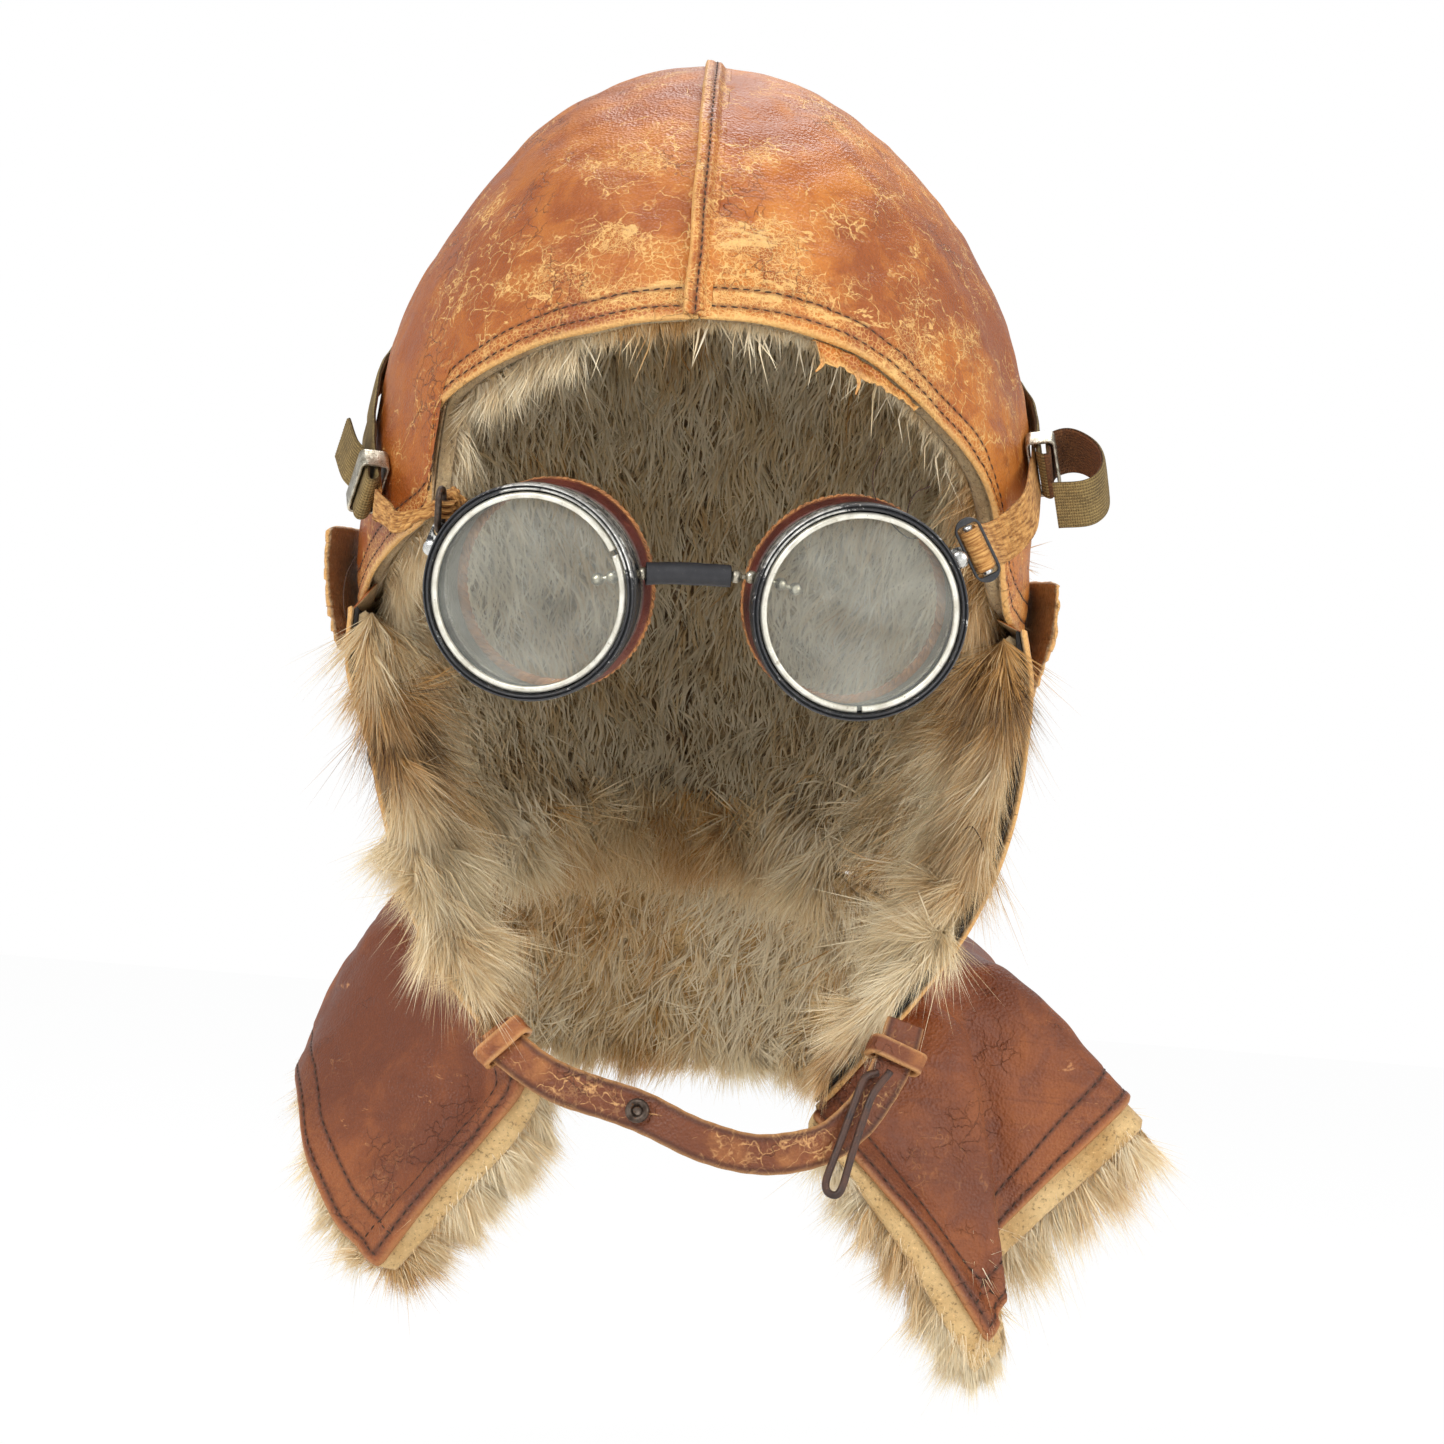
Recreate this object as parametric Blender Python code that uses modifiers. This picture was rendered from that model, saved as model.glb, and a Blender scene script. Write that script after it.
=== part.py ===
"""Flying helmet with goggles, built as separate pieces. Metres, +Z up, the face looks towards -Y."""

import math

import bmesh
import bpy
import numpy as np
from mathutils import Matrix, Vector

# The head form, an ellipsoid that every leather and fur layer follows
HEAD_HALF_WIDTH = 0.084
HEAD_LEFT_share = 0.949
HEAD_RIGHT_share = 1.018
HEAD_LEFT_WIDTH = HEAD_HALF_WIDTH * HEAD_LEFT_share
HEAD_RIGHT_WIDTH = HEAD_HALF_WIDTH * HEAD_RIGHT_share
HEAD_HALF_DEPTH = 0.106
CROWN_RISE = 0.116
WIDEST_LEVEL = 0.015

# Layers
LEATHER_THICK = 0.0014
LINING_THICK = 0.0065
CAPE_FUR_THICK = 0.0045
LAYER_GAP = 0.0004
SEAM_GAP = 0.0008
SPLIT_GAP = 0.0005
LAP_WIDTH = 0.0040
LAP_BACK = 0.0026
LAP_SINK = 0.0005
LAP_CLEAR = 0.0008
FACING_THICK = 0.0010
FACING_DROP = 0.0050

# Ear flaps and press studs
FLAP_THICK = 0.0016
FLAP_HEIGHT = 0.029
FLAP_STAND_OFF = 0.0055
STUD_RADIUS = 0.0035
STUD_HEIGHT = 0.0026
STUD_FOOT = 0.0003

# Goggle strap
WEB_WIDTH = 0.0125
WEB_THICK = 0.0012
WEB_STAND_OFF = 0.0006
SLIDE_GAP = 0.0006
ELASTIC_THICK = 0.0008

# Chin strap and lace
CHIN_WIDTH = 0.0098
CHIN_THICK = 0.0020
CHIN_STUD_RADIUS = 0.0030
CHIN_STUD_HEIGHT = 0.0020
LACE_RADIUS = 0.00095
KEEPER_THICK = 0.0014
KEEPER_WIDTH = 0.0050
KEEPER_GAP = 0.0009

# Goggles
RIM_RADIUS = 0.02575
BEZEL_WALL = 0.00165
LENS_CLEAR = 0.0004
LENS_CLEAR_DEPTH = 0.0003
RING_RADIUS = RIM_RADIUS - BEZEL_WALL - LENS_CLEAR
RING_WIDTH = 0.0015
RING_BORE = RING_RADIUS - RING_WIDTH
RING_THICK = 0.0015
LENS_RADIUS = RING_RADIUS - LENS_CLEAR_DEPTH
LENS_THICK = 0.0020
RIM_WALL = 0.0016
BEZEL_DEPTH = 0.0052
BEZEL_LIP = 0.0012
BODY_STEP = 0.0010
BODY_DEPTH = 0.0062
GAUZE_DEPTH = 0.0030
GAUZE_WALL = 0.0010
PIECE_GAP = 0.0003
CUP_WALL = 0.0014
CUP_NOSE_DEPTH = 0.0045
CUP_TEMPLE_DEPTH = 0.0120
CUP_FLARE = 0.0008
EDGING_RADIUS = 0.0016
EDGING_TWIST = 0.0003

# Bridge
SLEEVE_RADIUS = 0.00265
SLEEVE_BORE = 0.0019
SLEEVE_LENGTH_share = 0.67
BEAD_RADIUS = 0.00155
LINK_RADIUS = 0.0006
BEAD_PITCH = 0.0038
CHAIN_HOLE_RADIUS = 0.0024

# Strap ends of the goggles
HOOK_WIRE = 0.0008
HOOK_WIDTH = 0.0042
HOOK_LENGTH = 0.0100
PLATE_WIDTH = 0.0066
PLATE_LENGTH = 0.0165
PLATE_THICK = 0.0012
ROLLER_RADIUS = 0.00115
ROLLER_LENGTH = 0.0125
RIVET_RADIUS = 0.0020
RIVET_HEAD = 0.0010

# Counts
ROUND_STEPS = 28
SMALL_STEPS = 12
CROWN_COLUMNS = 19
CROWN_ROWS = 9
CHEEK_COLUMNS = 9
CHEEK_ROWS = 11

SAME_POINT = 0.000001
OVERRUN = 0.004


# Each moving piece's place on its own axis, noted as the piece is made
PIVOTS = {}


def clear_scene():
    for old in list(bpy.data.objects):
        bpy.data.objects.remove(old, do_unlink=True)


def collection(name, hidden=False):
    made = bpy.data.collections.new(name)
    bpy.context.scene.collection.children.link(made)
    made.hide_render = hidden
    return made


clear_scene()
HELMET = collection("flying_helmet")
CUTTERS = collection("cutters", hidden=True)


def material(name, colour, roughness, metallic=0.0, transmission=0.0):
    made = bpy.data.materials.new(name)
    made.use_nodes = True
    shader = made.node_tree.nodes["Principled BSDF"]
    shader.inputs["Base Color"].default_value = (*colour, 1.0)
    shader.inputs["Roughness"].default_value = roughness
    shader.inputs["Metallic"].default_value = metallic
    shader.inputs["Transmission Weight"].default_value = transmission
    made.diffuse_color = (*colour, 1.0)
    return made


CROWN_LEATHER = material("crown_leather", (0.47, 0.19, 0.045), 0.48)
CAPE_LEATHER = material("cape_leather", (0.30, 0.105, 0.035), 0.55)
FUR = material("fur", (0.66, 0.52, 0.33), 0.95)
WEBBING = material("webbing", (0.16, 0.105, 0.04), 0.9)
ELASTIC = material("elastic", (0.38, 0.20, 0.07), 0.85)
LACE_LEATHER = material("lace_leather", (0.05, 0.02, 0.012), 0.5)
BLACK_PAINT = material("black_paint", (0.015, 0.015, 0.016), 0.35, 0.2)
PALE_METAL = material("pale_metal", (0.62, 0.62, 0.58), 0.3, 0.9)
GLASS = material("glass", (0.93, 0.95, 0.93), 0.05, 0.0, 1.0)
GAUZE = material("gauze", (0.20, 0.20, 0.19), 0.5, 0.7)
OXBLOOD = material("oxblood", (0.11, 0.02, 0.015), 0.45)
CORD_EDGE = material("cord_edge", (0.30, 0.10, 0.03), 0.8)
RUBBER = material("rubber", (0.02, 0.02, 0.021), 0.55)
NICKEL = material("nickel", (0.55, 0.53, 0.48), 0.28, 1.0)
DARK_METAL = material("dark_metal", (0.06, 0.045, 0.035), 0.4, 0.9)


def keep(made, mat, home=HELMET):
    made.data.materials.clear()
    made.data.materials.append(mat)
    for old in list(made.users_collection):
        old.objects.unlink(made)
    home.objects.link(made)
    return made


def mesh_object(name, points, faces, mat):
    mesh = bpy.data.meshes.new(name)
    mesh.from_pydata([tuple(p) for p in points], [], faces)
    shape = bmesh.new()
    shape.from_mesh(mesh)
    bmesh.ops.remove_doubles(shape, verts=shape.verts, dist=SAME_POINT)
    shape.to_mesh(mesh)
    shape.free()
    made = bpy.data.objects.new(name, mesh)
    HELMET.objects.link(made)
    return keep(made, mat)


def apply_modifiers(made):
    ready = made.evaluated_get(bpy.context.evaluated_depsgraph_get())
    mesh = bpy.data.meshes.new_from_object(ready)
    made.modifiers.clear()
    made.data = mesh
    return made


def put_on_axis(made, place):
    """The piece stays where it is, and its origin goes to a place on the axis it turns about."""
    place = Vector(place)
    made.data.transform(Matrix.Translation(-place) @ made.matrix_world)
    made.matrix_world = Matrix.Translation(place)


def cut(made, cutter, mode="DIFFERENCE"):
    cutter.display_type = "WIRE"
    cutter.hide_render = True
    boolean = made.modifiers.new("cut", "BOOLEAN")
    boolean.operation = mode
    boolean.solver = "EXACT"
    boolean.object = cutter
    return made


def spline(points, count):
    """Points along a smooth curve through the given ones, evenly spread over the first axis of the array."""
    points = np.asarray(points, float)
    last = len(points) - 1
    ahead = np.concatenate([2 * points[:1] - points[1:2], points, 2 * points[-1:] - points[-2:-1]])
    made = []
    for place in np.linspace(0, last, count):
        i = min(int(place), last - 1)
        t = place - i
        a, b, c, d = ahead[i], ahead[i + 1], ahead[i + 2], ahead[i + 3]
        curve = 2 * b + (c - a) * t + (2 * a - 5 * b + 4 * c - d) * t**2 + (3 * b - a - 3 * c + d) * t**3
        made.append(curve / 2)
    return np.array(made)


def loft(cage, columns, rows):
    """A smooth grid through a coarse cage of columns, each a list of points from top to bottom."""
    down = np.array([spline(column, rows) for column in cage])
    return spline(down, columns)


def sized(shares):
    """Shares of the head's half width, half depth and rise, as a place."""
    return np.array(shares) * (HEAD_HALF_WIDTH, HEAD_HALF_DEPTH, CROWN_RISE)


def normals(grid):
    along = np.gradient(grid, axis=0)
    across = np.gradient(grid, axis=1)
    found = np.cross(along, across)
    length = np.linalg.norm(found, axis=2, keepdims=True)
    return found / np.maximum(length, SAME_POINT**2)


def sheet(name, grid, facing, lift, thickness, mat, outward=True):
    """A layer with one face lifted off the grid, made thick by Solidify away from that face."""
    base = grid + facing * lift
    columns, rows = base.shape[:2]
    faces = []
    for i in range(columns - 1):
        for j in range(rows - 1):
            a = i * rows + j
            faces.append((a, a + rows, a + rows + 1, a + 1))
    made = mesh_object(name, base.reshape(-1, 3), faces, mat)
    solid = made.modifiers.new("thickness", "SOLIDIFY")
    solid.thickness = thickness
    solid.offset = 1.0 if outward else -1.0
    return made


def slab(name, outer, inner, mat):
    """A closed layer between two grids of the same size, walled round its edge."""
    columns, rows = outer.shape[:2]
    under = columns * rows
    faces = []
    for i in range(columns - 1):
        for j in range(rows - 1):
            quad = (i * rows + j, (i + 1) * rows + j, (i + 1) * rows + j + 1, i * rows + j + 1)
            faces.append(quad)
            faces.append(tuple(under + k for k in reversed(quad)))
    rim = [i * rows for i in range(columns)]
    rim += [(columns - 1) * rows + j for j in range(1, rows)]
    rim += [i * rows + rows - 1 for i in range(columns - 2, -1, -1)]
    rim += [j for j in range(rows - 2, 0, -1)]
    for a, b in zip(rim, rim[1:] + rim[:1]):
        faces.append((b, a, under + a, under + b))
    points = np.concatenate([outer.reshape(-1, 3), inner.reshape(-1, 3)])
    return mesh_object(name, points, faces, mat)


def even(line, places, count):
    """Values along a line, resampled so that their places lie evenly spaced."""
    steps = np.linalg.norm(np.diff(places, axis=0), axis=1)
    reach = np.concatenate([[0.0], np.cumsum(steps)])
    wanted = np.linspace(0, reach[-1], count)
    return np.stack([np.interp(wanted, reach, column) for column in np.asarray(line).T], axis=1)


def sweep(name, path, outward, section, mat, closed=False):
    """A closed section of (sideways, outward) places carried along a path."""
    path = np.asarray(path, float)
    outward = np.asarray(outward, float)
    ahead = np.gradient(path, axis=0)
    if closed:
        ahead = np.roll(path, -1, axis=0) - np.roll(path, 1, axis=0)
    side = np.cross(ahead, outward)
    side /= np.linalg.norm(side, axis=1, keepdims=True)
    out = np.cross(side, ahead)
    out /= np.linalg.norm(out, axis=1, keepdims=True)
    rings = [p + s * a + o * b for p, s, o in zip(path, side, out) for a, b in section]
    count, sides = len(path), len(section)
    faces = []
    for i in range(count if closed else count - 1):
        for j in range(sides):
            k = (j + 1) % sides
            n = (i + 1) % count
            faces.append((i * sides + j, i * sides + k, n * sides + k, n * sides + j))
    if not closed:
        faces.append(tuple(range(sides))[::-1])
        faces.append(tuple((count - 1) * sides + j for j in range(sides)))
    made = mesh_object(name, rings, faces, mat)
    shape = bmesh.new()
    shape.from_mesh(made.data)
    bmesh.ops.recalc_face_normals(shape, faces=shape.faces)
    shape.to_mesh(made.data)
    shape.free()
    return made


def band(width, thickness, lift=0.0):
    """The section of a strap, its back face lifted off the path."""
    half = width / 2
    return [(-half, lift), (half, lift), (half, lift + thickness), (-half, lift + thickness)]


def turned(name, profile, mat, steps, frame):
    """A closed outline of (radius, along) places, clockwise, turned about the frame's Z axis."""
    mesh = bpy.data.meshes.new(name)
    count = len(profile)
    outline = [(r, 0, z) for r, z in reversed(profile)]
    mesh.from_pydata(outline, [(i, (i + 1) % count) for i in range(count)], [])
    made = bpy.data.objects.new(name, mesh)
    HELMET.objects.link(made)
    keep(made, mat)
    screw = made.modifiers.new("turn", "SCREW")
    screw.steps = steps
    screw.render_steps = steps
    screw.use_merge_vertices = True
    screw.merge_threshold = SAME_POINT
    made.matrix_world = frame
    return made


def turned_solid(name, profile, mat, steps, frame):
    """An open outline that starts and ends on the frame's Z axis, turned about it."""
    made = turned(name, profile, mat, steps, frame)
    made.data.clear_geometry()
    count = len(profile)
    outline = [(r, 0, z) for r, z in reversed(profile)]
    made.data.from_pydata(outline, [(i, i + 1) for i in range(count - 1)], [])
    return made


def tube(name, points, radius, mat, closed=False, sides=2, radii=None):
    curve = bpy.data.curves.new(name, "CURVE")
    curve.dimensions = "3D"
    curve.bevel_depth = radius
    curve.bevel_resolution = sides
    curve.use_fill_caps = not closed
    line = curve.splines.new("POLY")
    line.points.add(len(points) - 1)
    line.use_cyclic_u = closed
    for point, place in zip(line.points, points):
        point.co = (*place, 1.0)
    for point, size in zip(line.points, radii or ()):
        point.radius = size
    made = bpy.data.objects.new(name, curve)
    HELMET.objects.link(made)
    bpy.context.view_layer.update()
    ready = made.evaluated_get(bpy.context.evaluated_depsgraph_get())
    mesh = bpy.data.meshes.new_from_object(ready)
    bpy.data.objects.remove(made, do_unlink=True)
    shape = bmesh.new()
    shape.from_mesh(mesh)
    bmesh.ops.remove_doubles(shape, verts=shape.verts, dist=SAME_POINT)
    shape.to_mesh(mesh)
    shape.free()
    made = bpy.data.objects.new(name, mesh)
    HELMET.objects.link(made)
    return keep(made, mat)


def frame_at(place, out, up=(0, 0, 1)):
    """A frame whose Z axis looks along out."""
    z = Vector(out).normalized()
    x = Vector(up).cross(z).normalized()
    y = z.cross(x)
    turn = Matrix((x, y, z)).transposed().to_4x4()
    return Matrix.Translation(Vector(place)) @ turn


# Brow, belt and nape edge of each crown half, as (share of the half turn, share of the rise)
EDGE_LEFT_shares = (
    (0.0, 0.56), (0.062, 0.543), (0.103, 0.521), (0.167, 0.484), (0.247, 0.404), (0.283, 0.341),
    (0.282, 0.257), (0.277, 0.129), (0.325, 0.069), (0.394, 0.0), (0.444, -0.052), (0.5, -0.069),
    (0.589, -0.069), (0.644, -0.172), (0.683, -0.345), (0.722, -0.552), (0.833, -0.526),
    (1.0, -0.5),
)
EDGE_RIGHT_shares = (
    (0.0, 0.56), (0.06, 0.56), (0.12, 0.54), (0.174, 0.503), (0.243, 0.408), (0.324, 0.267),
    (0.372, 0.044), (0.417, -0.009), (0.5, -0.026), (0.589, -0.043), (0.644, -0.155),
    (0.683, -0.345), (0.722, -0.552), (0.833, -0.526), (1.0, -0.5),
)

# Neck seam from the chin corner to the back of each cheek
NECK_LEFT_shares = (
    (-0.44, -0.623, -0.933), (-0.643, -0.283, -0.776), (-0.702, 0.132, -0.621),
    (-0.577, 0.458, -0.556),
)
NECK_RIGHT_shares = (
    (0.506, -0.66, -1.034), (0.786, -0.396, -0.793), (0.881, -0.047, -0.664),
    (0.577, 0.458, -0.556),
)

# Cheek columns from the free front edge to the back seam, each from the ear to above the neck seam
CHEEK_LEFT_shares = (
    (
        (-0.946, -0.274, -0.078), (-0.94, -0.311, -0.207), (-0.858, -0.358, -0.353),
        (-0.805, -0.396, -0.478), (-0.75, -0.453, -0.6), (-0.643, -0.538, -0.759),
    ),
    (
        (-0.944, -0.113, -0.084), (-0.923, -0.113, -0.207), (-0.857, -0.123, -0.336),
        (-0.786, -0.142, -0.448), (-0.726, -0.179, -0.56), (-0.679, -0.226, -0.672),
    ),
    (
        (-0.938, 0.075, -0.084), (-0.911, 0.094, -0.172), (-0.863, 0.113, -0.267),
        (-0.815, 0.123, -0.362), (-0.762, 0.132, -0.457), (-0.726, 0.132, -0.543),
    ),
    (
        (-0.912, 0.212, -0.084), (-0.864, 0.34, -0.138), (-0.81, 0.402, -0.207),
        (-0.76, 0.434, -0.284), (-0.696, 0.455, -0.371), (-0.626, 0.46, -0.466),
    ),
)
CHEEK_RIGHT_shares = (
    (
        (1.0, -0.34, -0.017), (1.036, -0.321, -0.138), (1.035, -0.34, -0.288),
        (1.008, -0.377, -0.437), (0.932, -0.443, -0.609), (0.786, -0.542, -0.784),
    ),
    (
        (1.015, -0.113, -0.043), (1.0, -0.113, -0.164), (0.958, -0.123, -0.302),
        (0.917, -0.151, -0.431), (0.881, -0.208, -0.552), (0.845, -0.292, -0.672),
    ),
    (
        (1.007, 0.075, -0.056), (0.97, 0.085, -0.155), (0.917, 0.094, -0.259),
        (0.887, 0.075, -0.362), (0.869, 0.047, -0.466), (0.869, 0.0, -0.56),
    ),
    (
        (0.976, 0.217, -0.065), (0.921, 0.34, -0.125), (0.861, 0.4, -0.198),
        (0.792, 0.432, -0.284), (0.726, 0.453, -0.371), (0.643, 0.458, -0.466),
    ),
)

# Cape columns: how far along the neck seam each starts, then places below it down to the hem
CAPE_LEFT_STARTS_share = (0.0, 0.12, 0.28, 0.42, 0.56, 0.72, 1.0)
CAPE_LEFT_shares = (
    (
        (-0.286, -0.684, -0.983), (-0.226, -0.67, -1.052), (-0.286, -0.637, -1.181),
        (-0.429, -0.575, -1.31), (-0.607, -0.509, -1.457),
    ),
    (
        (-0.345, -0.679, -1.026), (-0.445, -0.642, -1.147), (-0.58, -0.585, -1.276),
        (-0.721, -0.519, -1.44),
    ),
    (
        (-0.452, -0.552, -1.043), (-0.548, -0.528, -1.172), (-0.661, -0.5, -1.302),
        (-0.78, -0.458, -1.409),
    ),
    (
        (-0.583, -0.434, -0.974), (-0.673, -0.434, -1.112), (-0.762, -0.415, -1.25),
        (-0.851, -0.387, -1.366),
    ),
    (
        (-0.69, -0.302, -0.879), (-0.786, -0.311, -1.017), (-0.875, -0.302, -1.147),
        (-0.948, -0.283, -1.25),
    ),
    (
        (-0.786, -0.16, -0.784), (-0.857, -0.17, -0.897), (-0.929, -0.179, -1.017),
        (-0.988, -0.189, -1.129),
    ),
    (
        (-0.81, 0.047, -0.741), (-0.893, 0.047, -0.845), (-0.958, 0.047, -0.957),
        (-1.006, 0.038, -1.069),
    ),
)
CAPE_RIGHT_STARTS_share = (0.0, 0.10, 0.29, 0.35, 0.41, 0.50, 0.60, 0.80, 1.0)
CAPE_RIGHT_shares = (
    (
        (0.53, -0.708, -1.091), (0.56, -0.698, -1.147), (0.643, -0.67, -1.241),
        (0.75, -0.623, -1.362), (0.94, -0.528, -1.586),
    ),
    (
        (0.619, -0.679, -1.121), (0.738, -0.642, -1.203), (0.869, -0.604, -1.302),
        (1.063, -0.528, -1.491),
    ),
    (
        (0.714, -0.566, -1.069), (0.845, -0.547, -1.19), (0.952, -0.533, -1.31),
        (1.077, -0.509, -1.457),
    ),
    (
        (0.905, -0.462, -0.888), (0.988, -0.481, -1.034), (1.048, -0.491, -1.207),
        (1.092, -0.495, -1.405),
    ),
    (
        (0.929, -0.358, -0.871), (1.0, -0.363, -1.017), (1.054, -0.363, -1.155),
        (1.094, -0.368, -1.302),
    ),
    (
        (0.976, -0.302, -0.832), (1.071, -0.311, -0.957), (1.137, -0.311, -1.078),
        (1.188, -0.302, -1.19),
    ),
    (
        (1.024, -0.226, -0.75), (1.155, -0.236, -0.832), (1.286, -0.236, -0.914),
        (1.42, -0.236, -1.0),
    ),
    (
        (1.012, -0.066, -0.741), (1.131, -0.057, -0.828), (1.238, -0.038, -0.922),
        (1.339, -0.009, -1.022),
    ),
    (
        (0.929, 0.189, -0.69), (1.048, 0.189, -0.802), (1.155, 0.179, -0.914),
        (1.226, 0.17, -1.03),
    ),
)
CAPE_SEAM_LEFT_shares = (
    (-0.667, 0.462, -0.655), (-0.786, 0.462, -0.767), (-0.869, 0.462, -0.879),
    (-0.929, 0.453, -1.017),
)
CAPE_SEAM_RIGHT_shares = (
    (0.69, 0.462, -0.655), (0.821, 0.453, -0.776), (0.952, 0.434, -0.897), (1.06, 0.415, -1.022),
)
CAPE_BACK_shares = (
    (
        (-0.429, 0.717, -0.638), (-0.488, 0.792, -0.759), (-0.536, 0.849, -0.879),
        (-0.571, 0.877, -1.009),
    ),
    (
        (-0.19, 0.797, -0.629), (-0.214, 0.877, -0.75), (-0.226, 0.934, -0.871),
        (-0.238, 0.962, -1.0),
    ),
    (
        (0.19, 0.797, -0.629), (0.214, 0.877, -0.75), (0.226, 0.934, -0.871), (0.238, 0.962, -1.0),
    ),
    (
        (0.429, 0.717, -0.638), (0.5, 0.792, -0.759), (0.56, 0.849, -0.879),
        (0.595, 0.877, -1.009),
    ),
)
# How far the fur hangs below each column's hem, as a share of the column's last step
FUR_LEFT_share = (0.1, 0.1, 0.1, 0.1, 0.1, 0.1, 0.1, 0.1)
FUR_RIGHT_share = (0.2, 0.25, 0.25, 0.4, 0.7, 0.8, 0.7, 0.4, 0.3, 0.2)
FUR_BACK_share = (0.1, 0.1, 0.1, 0.1, 0.1, 0.2)


def head_place(azimuth, height, side, lift=0.0):
    """A place on the head form and its outward direction. The azimuth runs from the face to the back."""
    drop = (height - WIDEST_LEVEL) / CROWN_RISE
    girth = math.sqrt(max(0.0, 1 - drop**2))
    half = HEAD_LEFT_WIDTH if side < 0 else HEAD_RIGHT_WIDTH
    x = side * half * girth * math.sin(azimuth)
    y = -HEAD_HALF_DEPTH * girth * math.cos(azimuth)
    place = np.array((x, y, height))
    out = np.array((x / half**2, y / HEAD_HALF_DEPTH**2, drop / CROWN_RISE))
    out /= np.linalg.norm(out)
    return place + out * lift, out


def crown_grid(edge_shares, side):
    """Columns from the brow round to the nape, rows from the edge up to the top of the head."""
    fine = spline(edge_shares, CROWN_COLUMNS * 10)
    edge = even(fine, [head_place(math.pi * a, h * CROWN_RISE, side)[0] for a, h in fine], CROWN_COLUMNS)
    places = np.zeros((CROWN_COLUMNS, CROWN_ROWS, 3))
    facing = np.zeros_like(places)
    for i, (azimuth_share, height_share) in enumerate(edge):
        low = math.asin((height_share * CROWN_RISE - WIDEST_LEVEL) / CROWN_RISE)
        share = i / (CROWN_COLUMNS - 1)
        for j, up in enumerate(np.linspace(0, 1, CROWN_ROWS)):
            angle = low + (math.pi / 2 - low) * up
            azimuth = math.pi * (azimuth_share + (share - azimuth_share) * up)
            height = WIDEST_LEVEL + CROWN_RISE * math.sin(angle)
            places[i, j], facing[i, j] = head_place(azimuth, height, side)
    at_seam = np.abs(places[:, :, 0]) < SPLIT_GAP / 2
    places[at_seam, 0] = side * SPLIT_GAP / 2
    facing[at_seam, 0] = 0
    return places, facing


def turned_out(grid):
    """The grid's own directions, all pointing away from the head's middle line."""
    facing = normals(grid)
    away = grid * (1, 1, 0)
    return facing if np.sum(facing * away) > 0 else -facing


def flip_to(grid, facing):
    """The grid with its columns in the order whose faces look outwards."""
    if np.sum(normals(grid) * facing) < 0:
        return grid[::-1], facing[::-1]
    return grid, facing


def leather(name, grid, facing, mat=CROWN_LEATHER):
    grid, facing = flip_to(grid, facing)
    return sheet(name, grid, facing, 0.0, LEATHER_THICK, mat)


def lining(name, grid, facing, thickness=LINING_THICK):
    grid, facing = flip_to(grid, facing)
    outer = grid - facing * LAYER_GAP
    return slab(name, outer, outer - facing * thickness, FUR)


def make_crown():
    grids = {}
    for label, side, edge in (("left", -1, EDGE_LEFT_shares), ("right", 1, EDGE_RIGHT_shares)):
        grid, facing = crown_grid(edge, side)
        grids[label] = (grid, facing)
        made = leather("crown_" + label, grid, facing)
        if label == "right":
            cut(made, seam_lap(), "UNION")
        lining("crown_lining_" + label, grid, facing)
    return grids


def seam_lap():
    """The right panel's edge, laid over the left one along the centre seam."""
    last = len(EDGE_LEFT_shares) - 1
    low_front = math.asin((EDGE_LEFT_shares[0][1] * CROWN_RISE - WIDEST_LEVEL) / CROWN_RISE)
    low_back = math.asin((EDGE_LEFT_shares[last][1] * CROWN_RISE - WIDEST_LEVEL) / CROWN_RISE)
    path, outward = [], []
    for turn in np.linspace(low_front, math.pi - low_back, CROWN_COLUMNS):
        y = -HEAD_HALF_DEPTH * math.cos(turn)
        z = WIDEST_LEVEL + CROWN_RISE * math.sin(turn)
        path.append((0, y, z))
        out = np.array((0, y / HEAD_HALF_DEPTH**2, (z - WIDEST_LEVEL) / CROWN_RISE**2))
        outward.append(out / np.linalg.norm(out))
    under = LEATHER_THICK + LAP_CLEAR
    over = under + LEATHER_THICK
    section = [
        (-LAP_WIDTH, under),
        (SPLIT_GAP, under),
        (SPLIT_GAP, LEATHER_THICK - LAP_SINK),
        (LAP_BACK, LEATHER_THICK - LAP_SINK),
        (LAP_BACK, under),
        (SPLIT_GAP, over),
        (-LAP_WIDTH, over),
    ]
    made = sweep("crown_lap_cutter", path, outward, section, CROWN_LEATHER)
    return keep(made, CROWN_LEATHER, CUTTERS)


def make_cheeks():
    grids = {}
    for label, cage, neck in (
        ("left", CHEEK_LEFT_shares, NECK_LEFT_shares),
        ("right", CHEEK_RIGHT_shares, NECK_RIGHT_shares),
    ):
        columns = [list(column) + [end] for column, end in zip(cage, neck)]
        grid = loft(sized(columns), CHEEK_COLUMNS, CHEEK_ROWS)
        facing = turned_out(grid)
        grids[label] = (grid, facing)
        leather("cheek_" + label, grid, facing)
        fur = grid.copy()
        fur[-1] += (grid[-2] - grid[-1]) * FUR_STEP_BACK_share
        fur[:, 0] += (grid[:, 1] - grid[:, 0]) * FUR_STEP_BACK_share
        lining("cheek_lining_" + label, fur, facing)
    return grids


def along(line, share):
    """A place at a share of a polyline's count of steps."""
    at = share * (len(line) - 1)
    i = min(int(at), len(line) - 2)
    return line[i] + (line[i + 1] - line[i]) * (at - i)


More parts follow.
